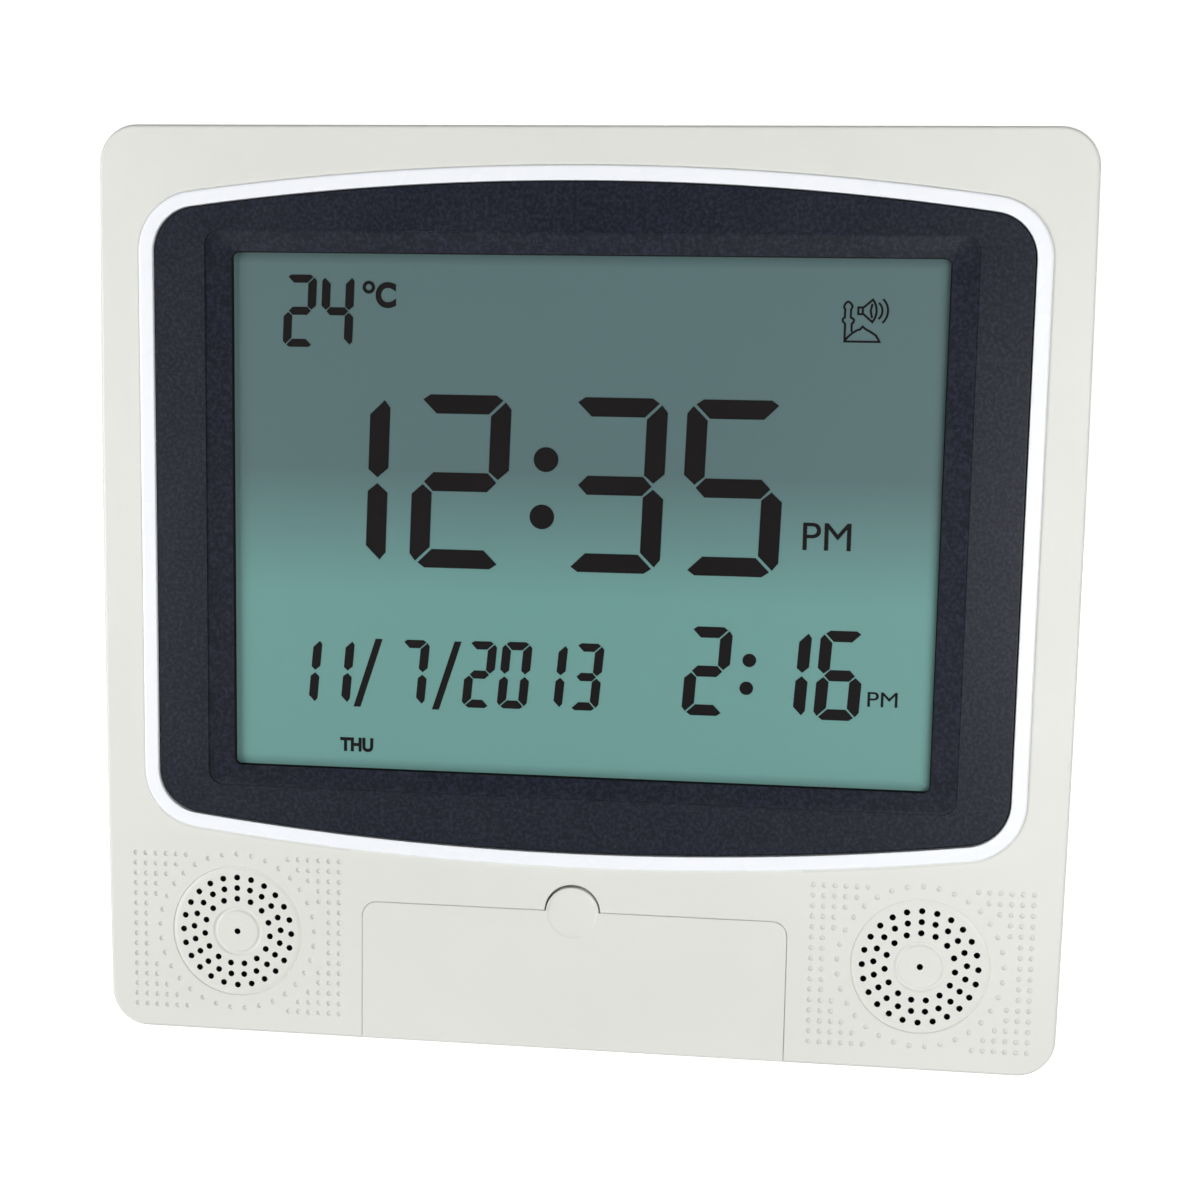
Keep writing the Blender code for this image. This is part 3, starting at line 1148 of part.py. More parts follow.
def cut_battery_bay(casing):
    mesh = bmesh.new()
    bay = moved(upright_box(BATTERY_BAY_HALF_LENGTH, -BATTERY_BAY_HALF_HEIGHT, BATTERY_BAY_HALF_HEIGHT),
                0, BATTERY_BAY_Z)
    add_prism(mesh, bay, BATTERY_BAY_FLOOR, CASE_DEPTH + OVERRUN)
    boolean(casing, "DIFFERENCE", finish_object("battery_bay_tool", mesh))

    mesh = bmesh.new()
    rebate = rounded_rectangle(COVER_HALF_WIDTH + FIT_GAP, COVER_LOW - FIT_GAP, COVER_HIGH + FIT_GAP,
                               COVER_CORNER_RADIUS)
    add_prism(mesh, rebate, COVER_FRONT - FIT_GAP, CASE_DEPTH + OVERRUN)
    boolean(casing, "DIFFERENCE", finish_object("cover_rebate_tool", mesh))

    mesh = bmesh.new()
    half = COVER_TAB_HALF_WIDTH + FIT_GAP
    slot_back = COVER_FRONT - FIT_GAP
    slot_front = slot_back - FIT_GAP - COVER_TAB_THICKNESS - COVER_TAB_SWING_ROOM
    for side in (-1, 1):
        x = side * COVER_TAB_X
        add_box(mesh, (x - half, slot_front, COVER_LOW - COVER_TAB_REACH - FIT_GAP),
                (x + half, slot_back, BATTERY_BAY_Z - BATTERY_BAY_HALF_HEIGHT + OVERRUN))
    boolean(casing, "DIFFERENCE", finish_object("tab_slots_tool", mesh))


def cut_leg_recess(casing):
    mesh = bmesh.new()
    high = LEG_AXIS_Z + LEG_THICKNESS / 2 + FIT_GAP
    add_box(mesh, (-LEG_HALF_WIDTH - FIT_GAP, LEG_RECESS_FLOOR, LEG_TIP_Z - FIT_GAP),
            (LEG_HALF_WIDTH + FIT_GAP, CASE_DEPTH + OVERRUN, high))
    boolean(casing, "DIFFERENCE", finish_object("leg_recess_tool", mesh))
    mesh = bmesh.new()
    axis = (0, LEG_AXIS_DEPTH, LEG_AXIS_Z)
    bearing = LEG_HALF_WIDTH + LEG_PIN_LENGTH + FIT_GAP
    for side in (-1, 1):
        add_drum(mesh, "X", axis, BEARING_RADIUS, side * (LEG_HALF_WIDTH - OVERRUN), side * bearing)
    boolean(casing, "DIFFERENCE", finish_object("leg_bearing_tool", mesh))


def keyhole_outline(side):
    """A round entry with a narrow slot above it for the neck of a wall screw."""
    half_neck = math.asin(KEYHOLE_SLOT_RADIUS / KEYHOLE_ENTRY_RADIUS)
    quarter = math.pi / 2
    outline = arc(0, KEYHOLE_RISE, KEYHOLE_SLOT_RADIUS, 0, math.pi, CORNER_STEPS)
    outline += arc(0, 0, KEYHOLE_ENTRY_RADIUS, quarter + half_neck, 5 * quarter - half_neck,
                   2 * SMALL_SIDES)
    return moved(outline, side * KEYHOLE_X, KEYHOLE_Z)


def cut_rear_holes(casing):
    """Wells and shank holes of the screws, wall keyholes, sound slots and rear foot seats."""
    mesh = bmesh.new()
    well_floor = REAR_LIP_FRONT + WELL_FLOOR
    shank = CASE_SCREW_RADIUS + FIT_GAP
    profile = [(shank, REAR_LIP_FRONT - OVERRUN), (shank, well_floor),
               (WELL_RADIUS - WELL_WALL, well_floor), (WELL_RADIUS - WELL_WALL, CASE_DEPTH + OVERRUN)]
    for x, z in screw_places():
        add_turned(mesh, "Y", (x, 0, z), profile)
    for side in (-1, 1):
        add_prism(mesh, keyhole_outline(side), REAR_PLATE_FRONT - OVERRUN, CASE_DEPTH + OVERRUN)
        for number in range(SLOT_COUNT):
            z = SPEAKER_Z + (number - (SLOT_COUNT - 1) / 2) * SLOT_PITCH
            slot = moved(pill(SLOT_HALF_WIDTH, SLOT_RADIUS, steps=2), side * SPEAKER_X, z)
            add_prism(mesh, slot, REAR_PLATE_FRONT - OVERRUN, CASE_DEPTH + OVERRUN)
        centre = (side * FOOT_X, REAR_FOOT_DEPTH, 0)
        add_drum(mesh, "Z", centre, FOOT_RADIUS + FIT_GAP, -OVERRUN, FOOT_SEAT, FOOT_SIDES)
    boolean(casing, "DIFFERENCE", finish_object("rear_holes_tool", mesh))


def build_rear_casing():
    casing = rear_shell()
    join_rear_structure(casing)
    cut_battery_bay(casing)
    cut_leg_recess(casing)
    cut_rear_holes(casing)


def build_battery_cover():
    """A flush cover with two tabs under the plate below it, turning about its lower outer edge."""
    origin = (0, CASE_DEPTH, COVER_LOW)
    mesh = bmesh.new()
    outline = rounded_rectangle(COVER_HALF_WIDTH, COVER_LOW, COVER_HIGH, COVER_CORNER_RADIUS)
    add_prism(mesh, outline, COVER_FRONT, CASE_DEPTH)
    cover = finish_object("battery_cover", mesh, "casing_cream", origin)

    mesh = bmesh.new()
    tab_back = COVER_FRONT - 2 * FIT_GAP
    tab_front = tab_back - COVER_TAB_THICKNESS
    root_low = COVER_LOW + FIT_GAP
    root_high = root_low + COVER_TAB_ROOT
    for side in (-1, 1):
        left = side * COVER_TAB_X - COVER_TAB_HALF_WIDTH
        right = side * COVER_TAB_X + COVER_TAB_HALF_WIDTH
        section = [(tab_front, COVER_LOW - COVER_TAB_REACH), (tab_back, COVER_LOW - COVER_TAB_REACH),
                   (tab_back, root_low), (COVER_FRONT + ROOT_OVERLAP, root_low),
                   (COVER_FRONT + ROOT_OVERLAP, root_high), (tab_front, root_high)]
        add_bar(mesh, section, left, right)
    boolean(cover, "UNION", finish_object("cover_tabs_tool", mesh))

    mesh = bmesh.new()
    grip_x = COVER_GRIP_HALF_LENGTH
    for number in range(COVER_GRIP_COUNT):
        z = COVER_HIGH - (number + 1) * COVER_GRIP_PITCH
        add_box(mesh, (-grip_x, CASE_DEPTH - COVER_GRIP_DEPTH, z - COVER_GRIP_WIDTH),
                (grip_x, CASE_DEPTH + OVERRUN, z))
    boolean(cover, "DIFFERENCE", finish_object("cover_grip_tool", mesh))


def build_stand_leg():
    """A flat leg with a round top edge about its pins, pockets on its inner face and two toes."""
    origin = Vector((0, LEG_AXIS_DEPTH, LEG_AXIS_Z))
    radius = LEG_THICKNESS / 2
    front = CASE_DEPTH - LEG_THICKNESS
    section = arc(LEG_AXIS_DEPTH, LEG_AXIS_Z, radius, 0, math.pi, BARREL_SIDES // 2)
    section += [(front, LEG_TIP_Z), (CASE_DEPTH, LEG_TIP_Z)]
    mesh = bmesh.new()
    add_bar(mesh, section, -LEG_HALF_WIDTH, LEG_HALF_WIDTH)
    leg = finish_object("stand_leg", mesh, "casing_cream", origin)

    mesh = bmesh.new()
    for side in (-1, 1):
        add_drum(mesh, "X", origin, HINGE_PIN_RADIUS, side * (LEG_HALF_WIDTH - ROOT_OVERLAP),
                 side * (LEG_HALF_WIDTH + LEG_PIN_LENGTH))
    boolean(leg, "UNION", finish_object("leg_pins_tool", mesh))

    mesh = bmesh.new()
    notch_top = LEG_TIP_Z + LEG_NOTCH_HEIGHT
    add_box(mesh, (-LEG_NOTCH_HALF_WIDTH, front - OVERRUN, LEG_TIP_Z - OVERRUN),
            (LEG_NOTCH_HALF_WIDTH, CASE_DEPTH + OVERRUN, notch_top))
    low = notch_top + LEG_POCKET_RIB
    high = LEG_AXIS_Z - radius - LEG_POCKET_RIB
    pitch = (high - low + LEG_POCKET_RIB) / LEG_POCKET_COUNT
    pocket_x = LEG_HALF_WIDTH - LEG_POCKET_RIB
    for number in range(LEG_POCKET_COUNT):
        bottom = low + number * pitch
        add_box(mesh, (-pocket_x, front - OVERRUN, bottom),
                (pocket_x, front + LEG_POCKET_DEPTH, bottom + pitch - LEG_POCKET_RIB))
    boolean(leg, "DIFFERENCE", finish_object("leg_pockets_tool", mesh))


# Batteries and contacts

def cell_z(number):
    """Height of a cell's axis, counted from the bottom one."""
    return BATTERY_BAY_Z + (number - (CELL_COUNT - 1) / 2) * CELL_PITCH


def plus_side(number):
    """The side that a cell's plus end points to: they alternate, so that they run in series."""
    return 1 if number % 2 == 0 else -1


def build_batteries():
    plus_x = CONTACT_INNER_X - FIT_GAP
    body_end = plus_x - CELL_NUB_LENGTH
    minus_x = plus_x - CELL_LENGTH
    soft = CELL_EDGE_RADIUS
    profile = [(CELL_RADIUS - soft, minus_x), (CELL_RADIUS, minus_x + soft), (CELL_RADIUS, body_end - soft),
               (CELL_RADIUS - soft, body_end), (CELL_NUB_RADIUS, body_end), (CELL_NUB_RADIUS, plus_x)]
    for number in range(CELL_COUNT):
        centre = (0, CELL_AXIS_DEPTH, cell_z(number))
        side = plus_side(number)
        mesh = bmesh.new()
        add_turned(mesh, "X", centre, [(radius, side * along) for radius, along in profile], CELL_SIDES)
        finish_object(f"battery_{number + 1}", mesh, "cell_green", centre)


def add_spring(mesh, side, z):
    """A conical coil from inside the contact plate on one side towards the cell's flat end."""
    steps = SPRING_TURNS * SPRING_POINTS_PER_TURN
    start = CONTACT_INNER_X + CONTACT_THICKNESS / 2
    reach = start - CONTACT_INNER_X + SPRING_LENGTH - SPRING_WIRE_RADIUS
    rings = []
    for step in range(steps + 1):
        share = step / steps
        angle = 2 * math.pi * SPRING_TURNS * share
        coil = SPRING_BASE_RADIUS + (SPRING_TIP_RADIUS - SPRING_BASE_RADIUS) * share
        outward = Vector((0, math.cos(angle), math.sin(angle)))
        centre = Vector((side * (start - reach * share), CELL_AXIS_DEPTH, z)) + coil * outward
        ring = []
        for corner in range(SPRING_SIDES):
            turn = 2 * math.pi * corner / SPRING_SIDES
            ring.append(centre + SPRING_WIRE_RADIUS * (math.cos(turn) * outward + math.sin(turn) * Vector((1, 0, 0))))
        rings.append(ring)
    add_loft(mesh, rings)


def build_contacts():
    """One plate for each end of the row of cells, and one for each link between two cells."""
    first_side = -plus_side(0)
    last = CELL_COUNT - 1
    groups = [("contact_minus", first_side, [0]), ("contact_plus", plus_side(last), [last])]
    for number in range(last):
        groups.append((f"contact_link_{number + 1}", plus_side(number), [number, number + 1]))
    for name, side, cells in groups:
        low = cell_z(cells[0]) - CONTACT_HALF_WIDTH
        high = cell_z(cells[-1]) + CONTACT_HALF_WIDTH
        near, far = sorted((side * CONTACT_INNER_X, side * (CONTACT_INNER_X + CONTACT_THICKNESS)))
        mesh = bmesh.new()
        add_box(mesh, (near, CELL_AXIS_DEPTH - CONTACT_HALF_WIDTH, low),
                (far, CELL_AXIS_DEPTH + CONTACT_HALF_WIDTH, high))
        plate = finish_object(name, mesh, "steel")
        minus_cells = [cell for cell in cells if plus_side(cell) != side]
        for cell in minus_cells:
            mesh = bmesh.new()
            add_spring(mesh, side, cell_z(cell))
            boolean(plate, "UNION", finish_object(f"{name}_spring_tool", mesh))


# Screws and feet

def build_case_screws():
    seat = REAR_LIP_FRONT + WELL_FLOOR + FIT_GAP
    for number, (x, z) in enumerate(screw_places(), 1):
        build_screw(f"case_screw_{number}", x, z, seat, CASE_SCREW_RADIUS,
                    CASE_SCREW_HEAD_RADIUS, CASE_SCREW_HEAD_HEIGHT, CASE_SCREW_LENGTH)


def build_feet():
    top = FOOT_SEAT - FIT_GAP
    soft = FOOT_PROUD / 4
    profile = [(FOOT_RADIUS - soft, -FOOT_PROUD), (FOOT_RADIUS, soft - FOOT_PROUD), (FOOT_RADIUS, top)]
    for number, (x, depth) in enumerate(foot_places(), 1):
        centre = (x, depth, 0)
        mesh = bmesh.new()
        add_turned(mesh, "Z", centre, profile, FOOT_SIDES)
        finish_object(f"rubber_foot_{number}", mesh, "rubber_grey", centre)


def build_clock():
    clear_scene()
    for name in COLOURS:
        make_material(name)
    clock = bpy.data.objects.new("clock", None)
    clock.location = (0, (RING_PROUD - CASE_DEPTH) / 2, FOOT_PROUD)
    bpy.context.scene.collection.objects.link(clock)
    build_front_casing()
    build_trim_ring()
    build_display_bezel()
    build_lcd_panel()
    build_light_guide()
    build_lcd_holder()
    build_connector_strips()
    build_main_board()
    build_board_parts()
    for side_name, side in (("left", -1), ("right", 1)):
        build_grille(f"speaker_grille_{side_name}", side * SPEAKER_X)
        build_speaker(side_name, side * SPEAKER_X)
    build_control_door()
    build_keys()
    build_key_board()
    build_key_ribbon()
    build_power_socket()
    build_rear_casing()
    build_battery_cover()
    build_stand_leg()
    build_batteries()
    build_contacts()
    build_case_screws()
    build_feet()


build_clock()
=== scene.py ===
"""The looks of an azan clock: smooth shells, grilles, display, readout, keys, back and studio.

Laid out as a Blender add-on. Everything is in metres, +X to the viewer's right, +Y from front to back
and +Z up. A place on the clock is often written as a depth behind the casing's front face and a height
above the casing's bottom edge, and place() turns it into a point.
"""

import math

import bmesh
import bpy
from bpy.props import FloatProperty, FloatVectorProperty, IntProperty, PointerProperty, StringProperty
from bpy.types import Operator, Panel, PropertyGroup
from mathutils import Matrix, Vector


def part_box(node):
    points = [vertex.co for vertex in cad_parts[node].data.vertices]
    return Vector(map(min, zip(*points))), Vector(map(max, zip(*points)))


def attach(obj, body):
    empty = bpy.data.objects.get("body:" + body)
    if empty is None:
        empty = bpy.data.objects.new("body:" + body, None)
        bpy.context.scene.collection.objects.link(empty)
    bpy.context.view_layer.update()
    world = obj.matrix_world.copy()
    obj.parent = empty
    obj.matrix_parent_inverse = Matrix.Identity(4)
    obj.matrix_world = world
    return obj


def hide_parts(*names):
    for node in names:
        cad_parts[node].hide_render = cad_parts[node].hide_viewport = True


bl_info = {
    "name": "Azan clock",
    "version": (1, 0, 0),
    "blender": (4, 5, 0),
    "location": "3D View > Sidebar > Azan clock",
    "description": "Dresses the frame of an azan clock with its shells, display, grilles and finishes",
    "category": "Object",
}

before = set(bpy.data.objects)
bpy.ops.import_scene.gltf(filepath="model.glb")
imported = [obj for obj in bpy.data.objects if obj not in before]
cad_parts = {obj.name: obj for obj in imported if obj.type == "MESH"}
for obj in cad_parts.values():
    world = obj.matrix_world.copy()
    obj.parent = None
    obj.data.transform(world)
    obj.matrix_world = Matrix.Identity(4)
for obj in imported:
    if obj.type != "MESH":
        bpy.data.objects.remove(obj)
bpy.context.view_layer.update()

# Places that come from the frame
FRONT_LOW, FRONT_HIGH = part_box("front_casing")
REAR_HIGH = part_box("rear_casing")[1]
RING_LOW, RING_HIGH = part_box("trim_ring")
DOOR_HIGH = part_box("control_door")[1]
GLASS_LOW, GLASS_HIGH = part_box("lcd_panel")
GRILLE_LOW, GRILLE_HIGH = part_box("speaker_grille_right")
COVER_LOW, COVER_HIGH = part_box("battery_cover")
LEG_LOW, LEG_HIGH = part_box("stand_leg")
FRONT = FRONT_LOW.y
BOTTOM = FRONT_LOW.z
CASE_HALF_WIDTH = FRONT_HIGH.x
CASE_HEIGHT = FRONT_HIGH.z - FRONT_LOW.z
CASE_DEPTH = REAR_HIGH.y - FRONT
FRONT_SHELL_DEPTH = FRONT_HIGH.y - FRONT

# Clearances and overlaps
FIT_GAP = 0.0003  # between two parts
DOOR_GAP = 0.00007  # round the shut door
SEAM = 0.00002  # keeps two faces out of one plane
OVERRUN = 0.0010  # how far a cutting tool runs past what it cuts
ROOT_OVERLAP = 0.0006  # how far an added part reaches into its root

# Casing
CASE_CORNER_RADIUS = 0.0100
SIDE_BOW = 0.0008
WALL = 0.0024
INNER_EDGE_RADIUS = 0.0011
LIP_LENGTH = 0.0020
LIP_STEP = 0.0011
LIP_FRONT = FRONT_SHELL_DEPTH - LIP_LENGTH
REAR_SHELL_FRONT = FRONT_SHELL_DEPTH + FIT_GAP
REAR_LIP_FRONT = LIP_FRONT + FIT_GAP
REAR_PLATE_FRONT = CASE_DEPTH - WALL

# Display ring, bezel and glass
RING_WIDTH = 0.0040
RING_SEAT_DEPTH = 0.0014
RING_LEDGE = 0.0020
RING_SEAT_EDGE = 0.0006
RING_SEAT_SLOPE = 0.4
RING_FRONT = RING_LOW.y - FRONT
RING_BACK = RING_HIGH.y - FRONT
BEZEL_EDGE = 0.00035
BEZEL_HALF_WIDTH = RING_HIGH.x - RING_WIDTH
BEZEL_TOP = RING_HIGH.z - BOTTOM - RING_WIDTH
BEZEL_BOTTOM = RING_LOW.z - BOTTOM + RING_WIDTH
BEZEL_TOP_RADIUS = 0.765
BEZEL_BOTTOM_RADIUS = 0.820
BEZEL_CORNER_RADIUS = 0.0120
BEZEL_THICKNESS = 0.0020
BEZEL_RIM = 0.0020
BEZEL_FLANGE_LAP = 0.0026
BEZEL_FLANGE_FRONT = WALL + FIT_GAP
BEZEL_FLANGE_BACK = BEZEL_FLANGE_FRONT + 0.0015
RECESS_HALF_WIDTH = BEZEL_HALF_WIDTH - 0.0140
RECESS_LOW = BEZEL_BOTTOM + 0.0148
RECESS_HIGH = BEZEL_TOP - 0.01326
RECESS_CORNER_RADIUS = 0.0040
RECESS_STEP = 0.0003
RECESS_BAND = 0.0008
WINDOW_HALF_WIDTH = RECESS_HALF_WIDTH - 0.0068
WINDOW_LOW = RECESS_LOW + 0.0054
WINDOW_HIGH = RECESS_HIGH - 0.0054
WINDOW_CORNER_RADIUS = 0.0023
WINDOW_LIP_DEPTH = 0.0016
WINDOW_LIP_BACK = 0.0030
PAD_MARGIN = 0.0020
CONTACT_LEDGE = 0.0060
GLASS_FRONT = GLASS_LOW.y - FRONT
GLASS_STEP = (GLASS_LOW.y + GLASS_HIGH.y) / 2 - FRONT
GLASS_EDGE = 0.0002

# Film of the display
# Painted shade: between these heights the film's green turns to a darker grey towards the top
FILM_TURN_LOW = 0.1240  # its green turns grey from here
FILM_TURN_HIGH = 0.1570  # to here
FILM_PAINTED_EDGE_WIDTH = 0.0030  # width of its shaded edges
# Width of the painted shadow line round the film, and of its fade
FILM_SHADOW_LINE = 0.00015
FILM_SHADOW_LINE_FADE = 1.5 * FILM_SHADOW_LINE
# How strongly each edge is painted: painted light at the left edge, painted shade at the others
FILM_LIFT_LEFT = 0.60
FILM_DUSK_RIGHT = 0.35
FILM_DUSK_TOP = 0.63
FILM_DUSK_BOTTOM = 0.45

# Speakers and their dimpled fields
SPEAKER_X = (GRILLE_LOW.x + GRILLE_HIGH.x) / 2
SPEAKER_HEIGHT = (GRILLE_LOW.z + GRILLE_HIGH.z) / 2 - BOTTOM
BOTH_SPEAKERS = [(0, 0, 0), (-2 * SPEAKER_X, 0, 0)]
SPEAKER_SEAT_RADIUS = 0.0198
SPEAKER_RIB_WALL = 0.0015
SPEAKER_RIB_HEIGHT = 0.0040
GRILLE_RADIUS = (GRILLE_HIGH.x - GRILLE_LOW.x) / 2
GRILLE_THICKNESS = GRILLE_HIGH.y - GRILLE_LOW.y
GRILLE_RIM_THICKNESS = 0.0009
GRILLE_SPIGOT_RADIUS = 0.0165
GRILLE_RING_RADII = (0.00927, 0.0123, 0.01527)
GRILLE_RING_COUNTS = (15, 21, 24)
GROOVE_RADIUS = 0.0063
GROOVE_HALF_WIDTH = 0.00065
GROOVE_DEPTH = 0.0004
GRILLE_FALL = 0.00028  # how far the rim falls away
GRILLE_RIM_PROFILE = ((4.4, 0), (3, 0.16), (1.4, 0.52), (0, 1))  # distance inwards and depth, in falls
DIMPLE_PROFILE = ((1.15, -1), (1, 0), (0.88, 0.30), (0.66, 0.75), (0.30, 1))  # shares of radius and depth
DIMPLE_COLUMNS = 21
DIMPLE_ROWS = 16
DIMPLE_CLEARING = 8.6  # radius of the clearing round a grille, in pitches
DIMPLE_FIELD_REACH = 0.0400
DIMPLE_SHADE_FROM = 0.2  # shares of its depth between which a dimple is shaded
DIMPLE_SHADE_TO = 1.1

# Control door, bay and keys
BARREL_RADIUS = 0.0035
DOOR_HALF_WIDTH = DOOR_HIGH.x - 0.0015
DOOR_TOP = 0.0390
DOOR_CORNER_RADIUS = 0.0040
DOOR_THICKNESS = 0.0020
DOOR_SEAM = 0.0004
DOOR_TAB_HEIGHT = 0.0384
DOOR_TAB_RADIUS = 0.00725
DOOR_DISH_RADIUS = 0.0070
DOOR_DISH_DEPTH = 0.0004
DOOR_DISH_PROFILE = ((1, 0), (0.95, 0.60), (0.88, 0.88), (0.70, 0.97), (0.10, 1))  # shares of radius, depth
DOOR_SWING_GAP = 0.0002
NOTCH_HEIGHT = 0.0388
NOTCH_RADIUS = 0.0076
NOTCH_DEPTH = 0.0034
NOTCH_WALL = 0.0020
HINGE_PIN_RADIUS = 0.0012
HINGE_PIN_LENGTH = 0.0015
BEARING_RADIUS = HINGE_PIN_RADIUS + FIT_GAP
OPENING_HALF_WIDTH = DOOR_HALF_WIDTH + DOOR_SEAM
OPENING_TOP = DOOR_TOP + DOOR_SEAM
BAY_FRAME_LAP = 0.0025
BAY_HALF_WIDTH = OPENING_HALF_WIDTH - BAY_FRAME_LAP
BAY_LOW = 0.0090
BAY_HIGH = OPENING_TOP - BAY_FRAME_LAP
BAY_CORNER_RADIUS = 0.0020
BAY_DEPTH = 0.0080
BAY_FLOOR_BACK = 0.0100
BAY_SKIRT_BACK = 0.0154
BAY_BLOCK_HALF_WIDTH = OPENING_HALF_WIDTH + 0.0038
BAY_BLOCK_LOW = WALL - ROOT_OVERLAP
BAY_BLOCK_HIGH = OPENING_TOP + 0.0023
BAY_SKIRT_WALL = 0.0030
KEY_COUNT = 8
KEY_RADIUS = 0.0030
KEY_FLANGE = 0.0010
KEY_EDGE = 0.0007

# Power socket
SOCKET_HEIGHT = 0.0750
SOCKET_DEPTH = 0.0110
SOCKET_NOSE_RADIUS = 0.0025
SOCKET_BORE_RADIUS = 0.00185
SOCKET_BORE_DEPTH = 0.0080
SOCKET_PIN_RADIUS = 0.00065
SOCKET_PIN_LENGTH = 0.0065

# Screws and feet
SCREW_COUNT = 6
SCREW_HEAD_RADIUS = 0.0027
SCREW_HEAD_HEIGHT = 0.0020
SCREW_HEAD_PROFILE = ((1, 0.35), (0.93, 0.65), (0.72, 0.9), (0.35, 1))  # shares of radius and height
SCREW_RADIUS = 0.0012
CROSS_REACH = 0.62  # of the cross recess, as a share of the head's radius
CROSS_FLOOR = 0.45  # as a share of the head's height
CROSS_HALF_WIDTH = 0.00028
BOSS_RADIUS = 0.0034
PILOT_DEPTH = 0.0135
WELL_RADIUS = 0.0042
WELL_WALL = 0.0010
WELL_FLOOR = 0.0020
FOOT_COUNT = 4
FOOT_SEAT = 0.0005
FOOT_EDGE = 0.0005
FOOT_BEVEL = 0.00015

# Cells
CELL_COUNT = 3
CELL_EDGE = 0.0006
CELL_CAP_LENGTH = 0.0013
CELL_CAP_RADIUS = 0.00275
CELL_CAP_FACE_RADIUS = 0.0023
CELL_SEAL_RADIUS = 0.0042
CELL_SEAL_FLOOR_RADIUS = 0.0040
CELL_BARE_RADIUS = 0.0035

# Back: battery bay, cover, stand leg, keyholes and sound slots
BAY_HALF_LENGTH = COVER_HIGH.x - 0.0025
COVER_THICKNESS = 0.0020
COVER_CORNER_RADIUS = 0.0030
COVER_FRONT = CASE_DEPTH - COVER_THICKNESS
COVER_TAB_REACH = 0.0020
COVER_TAB_X = 0.0180
COVER_TAB_HALF_WIDTH = 0.0040
COVER_TAB_THICKNESS = 0.0020
COVER_TAB_ROOT = 0.0017
COVER_SWING_ROOM = 0.0008
COVER_BOTTOM = COVER_LOW.z - BOTTOM + COVER_TAB_REACH
COVER_TOP = COVER_HIGH.z - BOTTOM
COVER_RIM_WALL = 0.0016
COVER_RIM_DEPTH = 0.0070
GRIP_COUNT = 3
GRIP_PITCH = 0.0030
GRIP_DROP = 0.0033
GRIP_DEPTH = 0.0005
GRIP_HALF_LENGTH = 0.0080
GRIP_HALF_FLOOR = 0.0003
GRIP_HALF_MOUTH = 0.0008
CELL_BAY_LOW = COVER_BOTTOM + 0.0025
CELL_BAY_HIGH = COVER_TOP - 0.0025
CELL_BAY_FLOOR = 0.0175
CELL_BAY_WALL = 0.0016
LEG_HALF_WIDTH = LEG_HIGH.x - 0.0015
LEG_THICKNESS = LEG_HIGH.y - LEG_LOW.y
LEG_AXIS_HEIGHT = LEG_HIGH.z - BOTTOM - LEG_THICKNESS / 2
LEG_TIP_HEIGHT = LEG_LOW.z - BOTTOM
LEG_FLOOR = CASE_DEPTH - LEG_THICKNESS - FIT_GAP
LEG_FLOOR_WALL = 0.0018
LEG_SIDE_WALL = 0.0036
LEG_PIN_LENGTH = 0.0015
LEG_NOTCH_HALF_WIDTH = 0.0090
LEG_NOTCH_HEIGHT = 0.0080
LEG_POCKET_DEPTH = 0.0022
LEG_POCKET_RIB = 0.0035
LEG_POCKET_COUNT = 3
KEYHOLE_X = CASE_HALF_WIDTH - 0.0602
KEYHOLE_HEIGHT = CASE_HEIGHT - 0.0386
KEYHOLE_ENTRY_RADIUS = 0.0045
KEYHOLE_SLOT_RADIUS = 0.0022
KEYHOLE_RISE = 0.0090
SLOT_COUNT = 6
SLOT_PITCH = 0.0040
SLOT_HALF_WIDTH = 0.0110
SLOT_RADIUS = 0.0008

# Readout of the display
INK_DEPTH = GLASS_FRONT - 0.00008
INK_THICKNESS = 0.00005
# (width, height, thickness) of a row's figures, height of their foot, rise to the right, slant in degrees
FIGURE_STYLES = {
    "time_figures": ((0.0260, 0.0462, 0.0052), 0.1311, 0, 1.8),
    "temperature_figures": ((0.0087, 0.0190, 0.0022), 0.1892, 0, 2.2),
    "date_figures": ((0.0081, 0.0182, 0.0023), 0.0938, 0.013, 5.2),
    "second_time_figures": ((0.0118, 0.0239, 0.00305), 0.09365, 0, 3.6),
}
LIT_SEGMENTS = {
    "0": "abcdef",
    "1": "bc",
    "2": "abged",
    "3": "abgcd",
    "4": "fgbc",
    "5": "afgcd",
    "6": "afgedc",
    "7": "abc",
    "8": "abcdefg",
    "9": "abfgcd",
}
DATE_SIGNS = "1172013"
SECOND_TIME_SIGNS = "216"
MAIN_DOT_RADIUS = 0.0033
SECOND_DOT_RADIUS = 0.0018
DOT_SIDES = 24
DEGREE_SIDES = 20
DEGREE_LINE = 0.0009
SIGN_LINE = 0.00055
MITRE_LIMIT = 0.5
LETTER_WEIGHT = 0.045
LETTER_EXTRUDE = 0.01
LETTER_WELD = 0.0001

# Studio
SWEEP_SIZE = 8
SWEEP_MIDDLE = 1.0
SWEEP_HEIGHT = 4
SWEEP_BEND = 1.5
SWEEP_BEND_STEPS = 24
SWEEP_TOLERANCE = 0.1
SWEEP_GLOW = 0.23
SWEEP_GLOW_SEEN = 1.00
AIR_GLOW = 0.075
LIGHT_AIM = (0, 0, 0.125)
# Name, place, (width, height) and power in watts
LIGHTS = (
    ("key_light", (0.48, -0.60, 0.07), (0.45, 0.2), 4.05),
    ("fill_light", (-0.85, -0.55, 0.08), (0.5, 0.25), 8.9),
    ("back_light", (0.2, 1.4, 1.2), (1.4, 0.8), 14),
)
CAMERA_PLACE = (0.052155, -0.457214, 0.177417)
CAMERA_DEGREES = (83.26673, -1.06326, 6.10969)
CAMERA_LENS = 50.62
CAMERA_SENSOR = 36
CAMERA_NEAREST = 0.01

